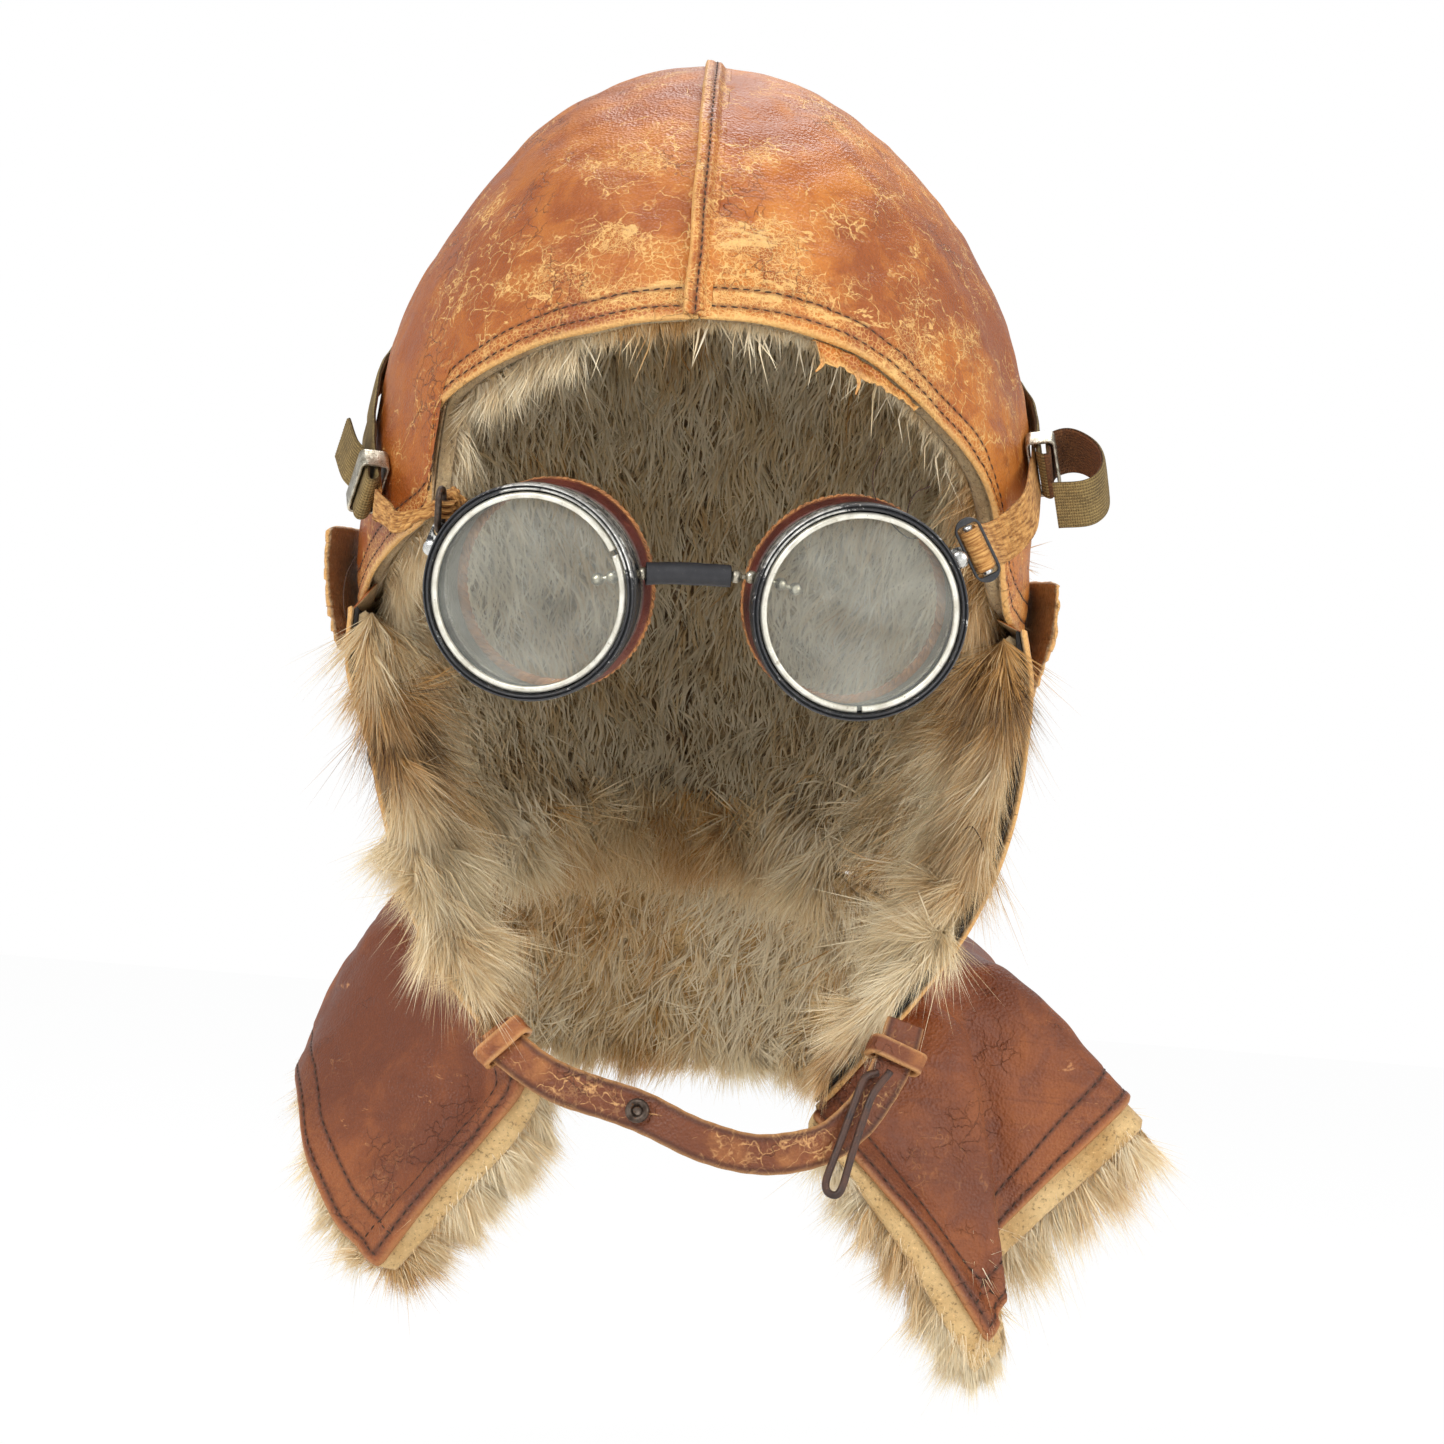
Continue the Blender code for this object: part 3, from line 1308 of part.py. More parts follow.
def bight(centre, out, back, radius):
    """The path of a strap's fold round a bar, from its short inner end to its outer run."""
    path = [centre - out * radius + back * SHORT_END, centre - out * radius + back * SHORT_END / 2]
    outward = [-out, -out]
    for k in range(7):
        angle = math.pi * k / 6
        way = -out * math.cos(angle) - back * math.sin(angle)
        path.append(centre + way * radius)
        outward.append(way)
    path.append(centre + out * radius + back * SHORT_END / 2)
    outward.append(out)
    return path, outward


def make_left_hook(frame, rim):
    centres, out, up, back = make_lug("left", frame, rim)
    make_rivet("lug_rivet_left", centres[1], back, LUG_THICK / 2 + PIECE_GAP)
    low = centres[0]
    out, up, back = axes(frame, 0.0, "left")
    bend = HOOK_WIDTH / 2
    straight = HOOK_LENGTH - HOOK_WIDTH
    path = []
    for start, rise in ((math.pi, bend), (0.0, bend + straight)):
        for k in range(9):
            angle = start + math.pi * k / 8
            path.append(low + up * rise + back * bend * math.cos(angle) + up * bend * math.sin(angle))
    tube("wire_hook", path, HOOK_WIRE, DARK_METAL, closed=True, sides=1)
    PIVOTS["wire_hook"] = low
    leg = low + up * (bend + straight / 2) + back * bend
    return bight(leg, out, back, HOOK_WIRE + BIGHT_GAP)


def make_right_plate(frame, rim):
    centres, out, up, back = make_lug("right", frame, rim)
    pin = centres[0]
    front = LUG_THICK / 2 + PIECE_GAP + PLATE_THICK
    make_rivet("plate_rivet", pin, back, front + PIECE_GAP)
    middle = pin + out * PLATE_REACH - back * (front - PLATE_THICK / 2)
    plate = oval("slide_plate", middle, out, up, back, PLATE_WIDTH, PLATE_LENGTH, PLATE_THICK, BLACK_PAINT)
    tab_middle = pin + out * TAB_SHIFT - back * (front - PLATE_THICK / 2)
    size = (TAB_LENGTH, 2 * RIVET_RADIUS, PLATE_THICK)
    tab = block("plate_tab", tab_middle, (out, up, back), size, BLACK_PAINT, CUTTERS)
    cut(plate, tab, "UNION")
    slot_width = PLATE_WIDTH - 2 * PLATE_RIM
    size = (slot_width, ROLLER_LENGTH + 2 * PIECE_GAP, OVERRUN)
    slot = oval("plate_slot", middle, out, up, back, *size, BLACK_PAINT, CUTTERS, SLOT_CORNER)
    cut(plate, slot)
    reach = back * OVERRUN
    bore = RIVET_SHANK + PIECE_GAP
    hole = cylinder("plate_hole", pin - reach, pin + reach, bore, BLACK_PAINT, CUTTERS)
    cut(plate, hole)
    half = up * ROLLER_LENGTH / 2
    cylinder("roller", middle - half, middle + half, ROLLER_RADIUS, NICKEL)
    PIVOTS["slide_plate"] = pin
    PIVOTS["roller"] = middle
    return bight(middle, out, back, ROLLER_RADIUS + BIGHT_GAP)


def oval(name, middle, out, up, back, width, length, thick, mat, home=HELMET, corner=None):
    """A flat plate with rounded ends, extruded from its outline."""
    bend = width / 2 if corner is None else corner
    outline = []
    for x_way, y_way, start in ((1, 1, 0.0), (-1, 1, 0.5), (-1, -1, 1.0), (1, -1, 1.5)):
        for k in range(4):
            angle = math.pi * (start + k / 6)
            x = x_way * (width / 2 - bend) + bend * math.cos(angle)
            y = y_way * (length / 2 - bend) + bend * math.sin(angle)
            outline.append((x, y))
    path = [middle - back * thick / 2, middle + back * thick / 2]
    points = [p + out * x + up * y for p in path for x, y in outline]
    count = len(outline)
    faces = [tuple(range(count))[::-1], tuple(range(count, 2 * count))]
    faces += [(k, (k + 1) % count, count + (k + 1) % count, count + k) for k in range(count)]
    made = mesh_object(name, points, faces, mat)
    shape = bmesh.new()
    shape.from_mesh(made.data)
    bmesh.ops.recalc_face_normals(shape, faces=shape.faces)
    shape.to_mesh(made.data)
    shape.free()
    return keep(made, mat, home)


def main():
    crown = make_crown()
    make_brow_facing()
    cheeks = make_cheeks()
    make_cape(cheeks, crown)
    make_ear_flaps()
    slides = make_web()
    rims, bights = {}, {}
    for label in ("left", "right"):
        frame = eye_frame(label)
        rims[label] = make_rings(label, frame)
        make_cup(label, frame)
    bights["left"] = make_left_hook(eye_frame("left"), rims["left"])
    bights["right"] = make_right_plate(eye_frame("right"), rims["right"])
    make_bridge(rims)
    make_elastic("left", bights["left"], ELASTIC_LEFT_shares, slides["left"])
    make_elastic("right", bights["right"], ELASTIC_RIGHT_shares, slides["right"])
    make_chin_strap()
    make_studs(cheeks)
    for made in HELMET.objects:
        apply_modifiers(made)
    for made in HELMET.objects:
        if made.name in PIVOTS:
            put_on_axis(made, PIVOTS[made.name])


def make_studs(cheeks):
    for label, spot in (("left", STUD_LEFT_share), ("right", STUD_RIGHT_share)):
        grid, facing = cheeks[label]
        i = round(spot[0] * (CHEEK_COLUMNS - 1))
        j = round(spot[1] * (CHEEK_ROWS - 1))
        place = grid[i, j] + facing[i, j] * LEATHER_THICK
        make_stud("press_stud_" + label, place, facing[i, j], STUD_RADIUS, STUD_HEIGHT, DARK_METAL)


STUD_LEFT_share = (0.3, 0.36)
STUD_RIGHT_share = (0.35, 0.2)

main()
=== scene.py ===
import math

import bmesh
import bpy
import numpy as np
from mathutils import Matrix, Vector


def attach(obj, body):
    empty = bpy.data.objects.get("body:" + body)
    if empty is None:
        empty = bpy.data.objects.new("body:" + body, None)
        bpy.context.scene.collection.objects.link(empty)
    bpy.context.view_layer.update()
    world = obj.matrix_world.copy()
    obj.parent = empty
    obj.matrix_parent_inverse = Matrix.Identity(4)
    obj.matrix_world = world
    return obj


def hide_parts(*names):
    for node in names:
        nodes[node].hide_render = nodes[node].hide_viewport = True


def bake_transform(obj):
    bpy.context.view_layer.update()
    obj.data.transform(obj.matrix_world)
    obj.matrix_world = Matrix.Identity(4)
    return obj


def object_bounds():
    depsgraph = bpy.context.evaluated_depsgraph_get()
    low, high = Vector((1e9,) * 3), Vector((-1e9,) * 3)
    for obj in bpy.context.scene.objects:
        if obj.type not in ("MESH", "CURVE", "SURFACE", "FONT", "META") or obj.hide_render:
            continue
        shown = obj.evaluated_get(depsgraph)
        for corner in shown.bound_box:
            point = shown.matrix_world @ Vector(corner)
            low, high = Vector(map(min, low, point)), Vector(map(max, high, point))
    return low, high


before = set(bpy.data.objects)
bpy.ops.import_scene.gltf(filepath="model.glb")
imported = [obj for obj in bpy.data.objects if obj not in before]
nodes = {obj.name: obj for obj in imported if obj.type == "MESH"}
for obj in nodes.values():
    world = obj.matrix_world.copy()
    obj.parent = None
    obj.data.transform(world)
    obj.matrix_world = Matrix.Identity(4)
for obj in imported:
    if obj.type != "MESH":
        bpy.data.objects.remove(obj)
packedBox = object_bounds()
print("frame loaded:", len(nodes), "packed parts")

# camera and light
studio = {
    "cameraPlace": (0.0129, -1.8, -0.0299),
    "cameraRight": (0.9969, 0.0, 0.0785),
    "cameraUp": (-0.0785, 0.0, 0.9969),
    "lens": 179.5,
    "floorLevel": -0.222,
    "floorReach": 3.0,
    "floorGlow": 0.96,
    "lamps": [
        # place, aims at, size, power
        ((-0.9, -1.3, 1.1), (0.0, 0.0, 0.0), 0.9, 21.0),
        ((1.2, -1.0, 0.5), (0.0, 0.0, -0.02), 1.0, 11.0),
        ((0.1, 0.9, 1.3), (0.0, 0.0, 0.0), 0.8, 12.0),
    ],
    "skyStrength": 0.62,
}


def addNode(tree, kind, **values):
    # a node with its input sockets or its own settings filled in by name
    made = tree.nodes.new(kind)
    for name, value in values.items():
        if name in made.inputs:
            made.inputs[name].default_value = value
        else:
            setattr(made, name, value)
    return made


def seenShare(tree):
    # 1 for the camera's own rays and for those that come through the glass, else 0
    path = addNode(tree, "ShaderNodeLightPath")
    seen = addNode(tree, "ShaderNodeMath", operation="MAXIMUM")
    for socket, ray in zip(seen.inputs, ("Is Camera Ray", "Is Transmission Ray")):
        tree.links.new(path.outputs[ray], socket)
    return seen.outputs[0]


def mixTo(tree, share, first, second, end):
    # the first shader where the share is 0 and the second where it is 1
    choose = addNode(tree, "ShaderNodeMixShader")
    for socket, plug in zip(choose.inputs, (share, first, second)):
        tree.links.new(plug, socket)
    tree.links.new(choose.outputs[0], end)


def upright(place, side, up, away):
    # a matrix at a place with its x, y and z along three directions
    turn = np.eye(4)
    turn[:3, 0], turn[:3, 1], turn[:3, 2], turn[:3, 3] = side, up, away, place
    return Matrix(turn.tolist())


def makeStudio():
    # the camera that saw the photo, soft lamps, a pale sky and a floor that keeps the shadow
    cameraData = bpy.data.cameras.new("photoCamera")
    cameraData.lens = studio["lens"]
    cameraData.sensor_width = 36.0
    camera = bpy.data.objects.new("photoCamera", cameraData)
    right, up = np.array(studio["cameraRight"]), np.array(studio["cameraUp"])
    camera.matrix_world = upright(studio["cameraPlace"], right, up, np.cross(right, up))
    bpy.context.scene.collection.objects.link(camera)
    bpy.context.scene.camera = camera
    for i, (place, aim, size, power) in enumerate(studio["lamps"]):
        lampData = bpy.data.lights.new("softLamp%d" % i, "AREA")
        lampData.size, lampData.energy = size, power
        lamp = bpy.data.objects.new("softLamp%d" % i, lampData)
        away = np.array(place) - np.array(aim)
        away = away / np.linalg.norm(away)
        side = np.cross((0, 0, 1.0), away)
        side = side / np.linalg.norm(side)
        lamp.matrix_world = upright(place, side, np.cross(away, side), away)
        bpy.context.scene.collection.objects.link(lamp)
    # white where the camera or the glass sees the sky, a soft grey light elsewhere
    world = bpy.data.worlds.new("paleSky")
    bpy.context.scene.world = world
    world.use_nodes = True
    tree = world.node_tree
    tree.nodes.clear()
    soft = addNode(tree, "ShaderNodeBackground", Color=(0.96, 0.98, 1.0, 1), Strength=studio["skyStrength"])
    white = addNode(tree, "ShaderNodeBackground", Color=(1, 1, 1, 1), Strength=1.0)
    out = addNode(tree, "ShaderNodeOutputWorld")
    mixTo(tree, seenShare(tree), soft.outputs[0], white.outputs[0], out.inputs[0])
    # a pale floor that keeps the shadow but is seen as near white
    reach, low = studio["floorReach"], studio["floorLevel"]
    mesh = bpy.data.meshes.new("paleFloor")
    mesh.from_pydata(
        [(-reach, -reach, low), (reach, -reach, low), (reach, reach, low), (-reach, reach, low)], [],
        [(0, 1, 2, 3)],
    )
    floor = bpy.data.objects.new("paleFloor", mesh)
    bpy.context.scene.collection.objects.link(floor)
    paint = bpy.data.materials.new("paleFloor")
    paint.use_nodes = True
    tree = paint.node_tree
    tree.nodes.clear()
    matte = addNode(tree, "ShaderNodeBsdfDiffuse", Color=(0.96, 0.96, 0.955, 1))
    glow = addNode(tree, "ShaderNodeEmission", Color=(1, 1, 1, 1), Strength=1.0)
    part = addNode(tree, "ShaderNodeMath", operation="MULTIPLY")
    part.inputs[1].default_value = studio["floorGlow"]
    tree.links.new(seenShare(tree), part.inputs[0])
    out = addNode(tree, "ShaderNodeOutputMaterial")
    mixTo(tree, part.outputs[0], matte.outputs[0], glow.outputs[0], out.inputs[0])
    mesh.materials.append(paint)
    bpy.context.scene.view_settings.view_transform = "Standard"
    print("camera, lamps and floor placed")


makeStudio()

# the head form that leather and fur follow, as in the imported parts
headForm = {
    "leftWidth": 0.0797,
    "rightWidth": 0.0855,
    "halfWidth": 0.084,
    "halfDepth": 0.106,
    "rise": 0.116,
    "widest": 0.015,
    "leather": 0.0014,
}
mm = 0.001
rng = np.random.default_rng(11)


def smoothLine(points, count):
    # a curve through the points: each span is half of 2b + (c-a)t + (2a-5b+4c-d)t^2 + (3b-a-3c+d)t^3,
    # with t from 0
    # to 1 along it
    points = np.asarray(points, float)
    last = len(points) - 1
    spare = np.concatenate([2 * points[:1] - points[1:2], points, 2 * points[-1:] - points[-2:-1]])
    place = np.linspace(0, last, count)
    i = np.minimum(place.astype(int), last - 1)
    t = (place - i).reshape((-1,) + (1,) * (points.ndim - 1))
    a, b, c, d = spare[i], spare[i + 1], spare[i + 2], spare[i + 3]
    return (2 * b + (c - a) * t + (2 * a - 5 * b + 4 * c - d) * t**2 + (3 * b - a - 3 * c + d) * t**3) / 2


def unit(arrows):
    # each arrow over its own length
    return arrows / np.maximum(np.linalg.norm(arrows, axis=-1, keepdims=True), 1e-12)


def runOf(line):
    # the running length at each point of a line, from 0
    return np.concatenate([[0.0], np.cumsum(np.linalg.norm(np.diff(line, axis=0), axis=1))])


def readOff(wanted, known, table):
    # each column of the table read at the wanted places between the known ones
    return np.stack([np.interp(wanted, known, column) for column in table.T], axis=1)


def patch(cage, columns, rows):
    # a grid through a cage: the smooth line down each column, then across the columns row by row
    down = smoothLine(np.swapaxes(np.asarray(cage, float), 0, 1), rows)
    return smoothLine(np.swapaxes(down, 0, 1), columns)


def resample(line, count):
    # the same line with its points an equal distance apart, read off its running length
    reach = runOf(line)
    wanted = np.linspace(0, reach[-1], count)
    return readOff(wanted, reach, line)


def headPlace(azimuth, height, side, lift=0.0):
    # x = side * half * girth * sin(azimuth), y = -depth * girth * cos(azimuth), girth = sqrt(1 -
    # drop^2)
    form = headForm
    drop = (height - form["widest"]) / form["rise"]
    girth = np.sqrt(np.clip(1 - drop**2, 0, None))
    half = form["leftWidth"] if side < 0 else form["rightWidth"]
    x = side * half * girth * np.sin(azimuth)
    y = -form["halfDepth"] * girth * np.cos(azimuth)
    out = np.stack([x / half**2, y / form["halfDepth"] ** 2, drop / form["rise"] + 0 * x], axis=-1)
    out = unit(out)
    return np.stack([x, y, height + 0 * x], axis=-1) + out * lift, out


def directions(grid):
    # the grid's own normals: the cross product of its two gradients, turned away from the head's
    # middle line
    across = np.cross(np.gradient(grid, axis=0), np.gradient(grid, axis=1))
    across = unit(across)
    return across if np.sum(across * grid * (1, 1, 0)) > 0 else -across


def ripple(grid, size, seed, octaves=3):
    # smooth noise in space: a sum of sines in random directions, each octave half as long and half as
    # high
    random = np.random.default_rng(seed)
    value = np.zeros(grid.shape[:-1])
    for k in range(octaves):
        for _ in range(5):
            wave = random.normal(size=3)
            wave = wave / np.linalg.norm(wave) * 2 * math.pi / (size / 2**k) * random.uniform(0.6, 1.3)
            value = value + np.sin(grid @ wave + random.uniform(0, 6.28)) / 2**k / 5**0.5
    return value


def uvOf(grid):
    # the running length along each way of the grid, in metres, measured along its middle lines
    columns, rows = grid.shape[:2]
    u = runOf(grid[:, rows // 2])
    v = runOf(grid[columns // 2])
    return np.stack(np.broadcast_arrays(u[:, None], v[None, :]), axis=-1)


def meshPiece(name, points, faces, mat, body, uv=None, values=None, smooth=True):
    # one object from whole arrays: points, faces of 3 or 4 corners, a UV for each point, and named
    # values
    mesh = bpy.data.meshes.new(name)
    faces = np.asarray(faces)
    corners = faces.shape[1]
    mesh.vertices.add(len(points))
    mesh.vertices.foreach_set("co", np.asarray(points, float).ravel())
    mesh.loops.add(faces.size)
    mesh.loops.foreach_set("vertex_index", faces.ravel())
    mesh.polygons.add(len(faces))
    mesh.polygons.foreach_set("loop_start", np.arange(0, faces.size, corners))
    mesh.polygons.foreach_set("use_smooth", np.full(len(faces), smooth))
    if uv is not None:
        layer = mesh.uv_layers.new(name="along")
        layer.data.foreach_set("uv", np.asarray(uv)[faces.ravel()].ravel())
    for key, value in (values or {}).items():
        value = np.asarray(value, float) + (0 if np.ndim(value) else np.zeros(len(points)))
        if value.ndim == 2:
            four = np.concatenate([value, np.ones((len(value), 1))], axis=1)
            mesh.attributes.new(key, "FLOAT_COLOR", "POINT").data.foreach_set("color", four.ravel())
        else:
            mesh.attributes.new(key, "FLOAT", "POINT").data.foreach_set("value", value)
    mesh.update()
    mesh.validate()
    piece = bpy.data.objects.new(name, mesh)
    bpy.context.scene.collection.objects.link(piece)
    mesh.materials.append(mat)
    if body:
        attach(piece, body)
    return piece


def gridFaces(columns, rows, first=0, closed=False):
    # the quads (i, j), (i + 1, j), (i + 1, j + 1), (i, j + 1) of a grid counted column by column
    i = np.arange(columns if closed else columns - 1)[:, None]
    j = np.arange(rows - 1)[None, :]
    n = (i + 1) % columns
    quads = np.stack([i * rows + j, n * rows + j, n * rows + j + 1, i * rows + j + 1], axis=-1)
    return quads.reshape(-1, 4) + first


def closedLayer(name, outer, inner, mat, body, values=None):
    # two grids of the same size, faces outwards on both, joined round the rim by a rounded wall
    columns, rows = outer.shape[:2]
    size = columns * rows
    away = directions(outer)
    flip = np.sum(np.cross(np.gradient(outer, axis=0), np.gradient(outer, axis=1)) * away) < 0
    top = gridFaces(columns, rows)
    under = top[:, ::-1] + size
    index = np.arange(size).reshape(columns, rows)
    rim = np.concatenate([index[:, 0], index[-1, 1:], index[-2::-1, -1], index[0, -2:0:-1]])
    flatOut, flatIn = outer.reshape(-1, 3), inner.reshape(-1, 3)
    middle = (flatOut[rim] + flatIn[rim]) / 2
    inside = np.concatenate([index[:, 1], index[-2, 1:], index[-2::-1, -2], index[1, -2:0:-1]])
    swell = flatOut[rim] - flatOut[inside]
    swell = unit(swell)
    depth = np.linalg.norm(flatOut[rim] - flatIn[rim], axis=1, keepdims=True)
    middle = middle + swell * depth * 0.38
    start = 2 * size
    here = np.arange(len(rim))
    there = (here + 1) % len(rim)
    wallTop = np.stack([rim[there], rim[here], start + here, start + there], axis=1)
    wallLow = np.stack([start + there, start + here, size + rim[here], size + rim[there]], axis=1)
    faces = np.concatenate([top, under, wallTop, wallLow])
    if flip:
        faces = faces[:, ::-1]
    points = np.concatenate([flatOut, flatIn, middle])
    uv = uvOf(outer).reshape(-1, 2)
    uv = np.concatenate([uv, uv, uv[rim]])
    spread = {}
    for key, value in (values or {}).items():
        value = np.asarray(value, float).reshape((size,) + np.shape(value)[2:])
        spread[key] = np.concatenate([value, value, value[rim]])
    spread["under"] = np.concatenate([np.zeros(size), np.ones(size), np.full(len(rim), 0.5)])
    return meshPiece(name, points, faces, mat, body, uv, spread)


def farFromEdges(grid):
    # the leather's values for a place that is near no edge and no seam
    return {key: np.full(grid.shape[:2], 1.0) for key in ("edge", "seam")}


def newMaterial(name):
    # a material with its node tree and its main shader
    mat = bpy.data.materials.new(name)
    mat.use_nodes = True
    tree = mat.node_tree
    return mat, tree, tree.nodes["Principled BSDF"]


def where(tree):
    # the place on the object, in metres
    return addNode(tree, "ShaderNodeTexCoord").outputs["Object"]


def noise(tree, scale, detail=4.0, rough=0.55, place=None, warp=0.0, stretch=None):
    # soft noise at a place, stretched along the axes where asked
    place = place or where(tree)
    if stretch:
        turned = addNode(tree, "ShaderNodeMapping", Scale=stretch)
        tree.links.new(place, turned.inputs["Vector"])
        place = turned.outputs[0]
    made = addNode(tree, "ShaderNodeTexNoise", Scale=scale, Detail=detail, Roughness=rough, Distortion=warp)
    tree.links.new(place, made.inputs["Vector"])
    return made.outputs["Fac"]


def cells(tree, scale, feature="DISTANCE_TO_EDGE", warp=0.0, place=None):
    # distance to the edge or the middle of random cells, at a place that slow noise moves by warp / scale
    place = place or where(tree)
    if warp:
        wander = addNode(tree, "ShaderNodeTexNoise", Scale=scale * 0.7, Detail=3.0)
        tree.links.new(place, wander.inputs["Vector"])
        amount = addNode(tree, "ShaderNodeVectorMath", operation="SCALE")
        amount.inputs["Scale"].default_value = warp / scale
        tree.links.new(wander.outputs["Color"], amount.inputs[0])
        moved = addNode(tree, "ShaderNodeVectorMath", operation="ADD")
        tree.links.new(place, moved.inputs[0])
        tree.links.new(amount.outputs[0], moved.inputs[1])
        place = moved.outputs[0]
    made = addNode(tree, "ShaderNodeTexVoronoi", feature=feature, Scale=scale)
    tree.links.new(place, made.inputs["Vector"])
    return made.outputs["Distance"]


def ramp(tree, value, low, high, start=0.0, end=1.0):
    # start + (end - start) * (value - low) / (high - low), held between start and end
    made = addNode(tree, "ShaderNodeMapRange")
    made.inputs["From Min"].default_value, made.inputs["From Max"].default_value = low, high
    made.inputs["To Min"].default_value, made.inputs["To Max"].default_value = start, end
    tree.links.new(value, made.inputs["Value"])
    return made.outputs["Result"]


def maths(tree, operation, a, b):
    # one sum of two sockets or plain numbers
    made = addNode(tree, "ShaderNodeMath", operation=operation)
    for i, value in enumerate((a, b)):
        if isinstance(value, (int, float)):
            made.inputs[i].default_value = value
        else:
            tree.links.new(value, made.inputs[i])
    return made.outputs[0]


def times(tree, a, b):
    # a * b
    return maths(tree, "MULTIPLY", a, b)


def plus(tree, a, b):
    # a + b
    return maths(tree, "ADD", a, b)


def tint(tree, share, low, high, blend="MIX"):
    # mixes two colours, each a plain one or a socket, by a share
    made = addNode(tree, "ShaderNodeMix", data_type="RGBA", blend_type=blend)
    sockets = [s for s in made.inputs if s.type == "RGBA"]
    for socket, value in zip(sockets, (low, high)):
        if isinstance(value, tuple):
            socket.default_value = (*value[:3], 1)
        else:
            tree.links.new(value, socket)
    if isinstance(share, (int, float)):
        made.inputs[0].default_value = share
    else:
        tree.links.new(share, made.inputs[0])
    return [s for s in made.outputs if s.type == "RGBA"][0]


def value(tree, name):
    # a named value that the mesh carries at each point
    return addNode(tree, "ShaderNodeAttribute", attribute_name=name).outputs["Fac"]


def relief(tree, shader, parts):
    # height fields added up, each with its own strength in metres, into the shader's normal
    last = None
    for height, size in parts:
        made = addNode(tree, "ShaderNodeBump", Strength=1.0, Distance=size)
        tree.links.new(height, made.inputs["Height"])
        if last:
            tree.links.new(last, made.inputs["Normal"])
        last = made.outputs["Normal"]
    tree.links.new(last, shader.inputs["Normal"])


leatherLooks = {
    "crownHide": {
        "dark": (0.270, 0.060, 0.0085), "body": (0.480, 0.135, 0.016), "pale": (0.640, 0.225, 0.032),
        "shade": 0.78, "light": 0.85,
        "crack": (0.88, 0.53, 0.18), "crackLow": 0.465, "crackShare": 0.85, "crease": (0.150, 0.036, 0.008),
        "flesh": (0.50, 0.33, 0.17), "rough": 0.40, "creased": 0.6, "leftPatinaAndShade": 0.70, "hem": 0.50,
    },
    "capeHide": {
        "dark": (0.130, 0.030, 0.0075), "body": (0.235, 0.060, 0.0135), "pale": (0.330, 0.098, 0.024),
        "shade": 0.75, "light": 0.75,
        "crack": (0.55, 0.24, 0.085), "crackLow": 0.58, "crackShare": 0.35, "crease": (0.060, 0.015, 0.005),
        "flesh": (0.52, 0.33, 0.15), "rough": 0.44, "creased": 0.15, "leftPatinaAndShade": 0.0, "hem": 0.10,
    },
    "strapHide": {
        "dark": (0.130, 0.032, 0.009), "body": (0.270, 0.076, 0.018), "pale": (0.52, 0.210, 0.062),
        "shade": 0.75, "light": 0.85,
        "crack": (0.78, 0.42, 0.16), "crackLow": 0.48, "crackShare": 0.75, "crease": (0.060, 0.015, 0.005),
        "flesh": (0.45, 0.25, 0.10), "rough": 0.48, "creased": 0.4, "leftPatinaAndShade": 0.0, "hem": 0.0,
    },
}


def alongX(tree):
    # the place's x, in metres
    place = addNode(tree, "ShaderNodeTexCoord")
    parts = addNode(tree, "ShaderNodeSeparateXYZ")
    tree.links.new(place.outputs["Object"], parts.inputs[0])
    return parts.outputs["X"]


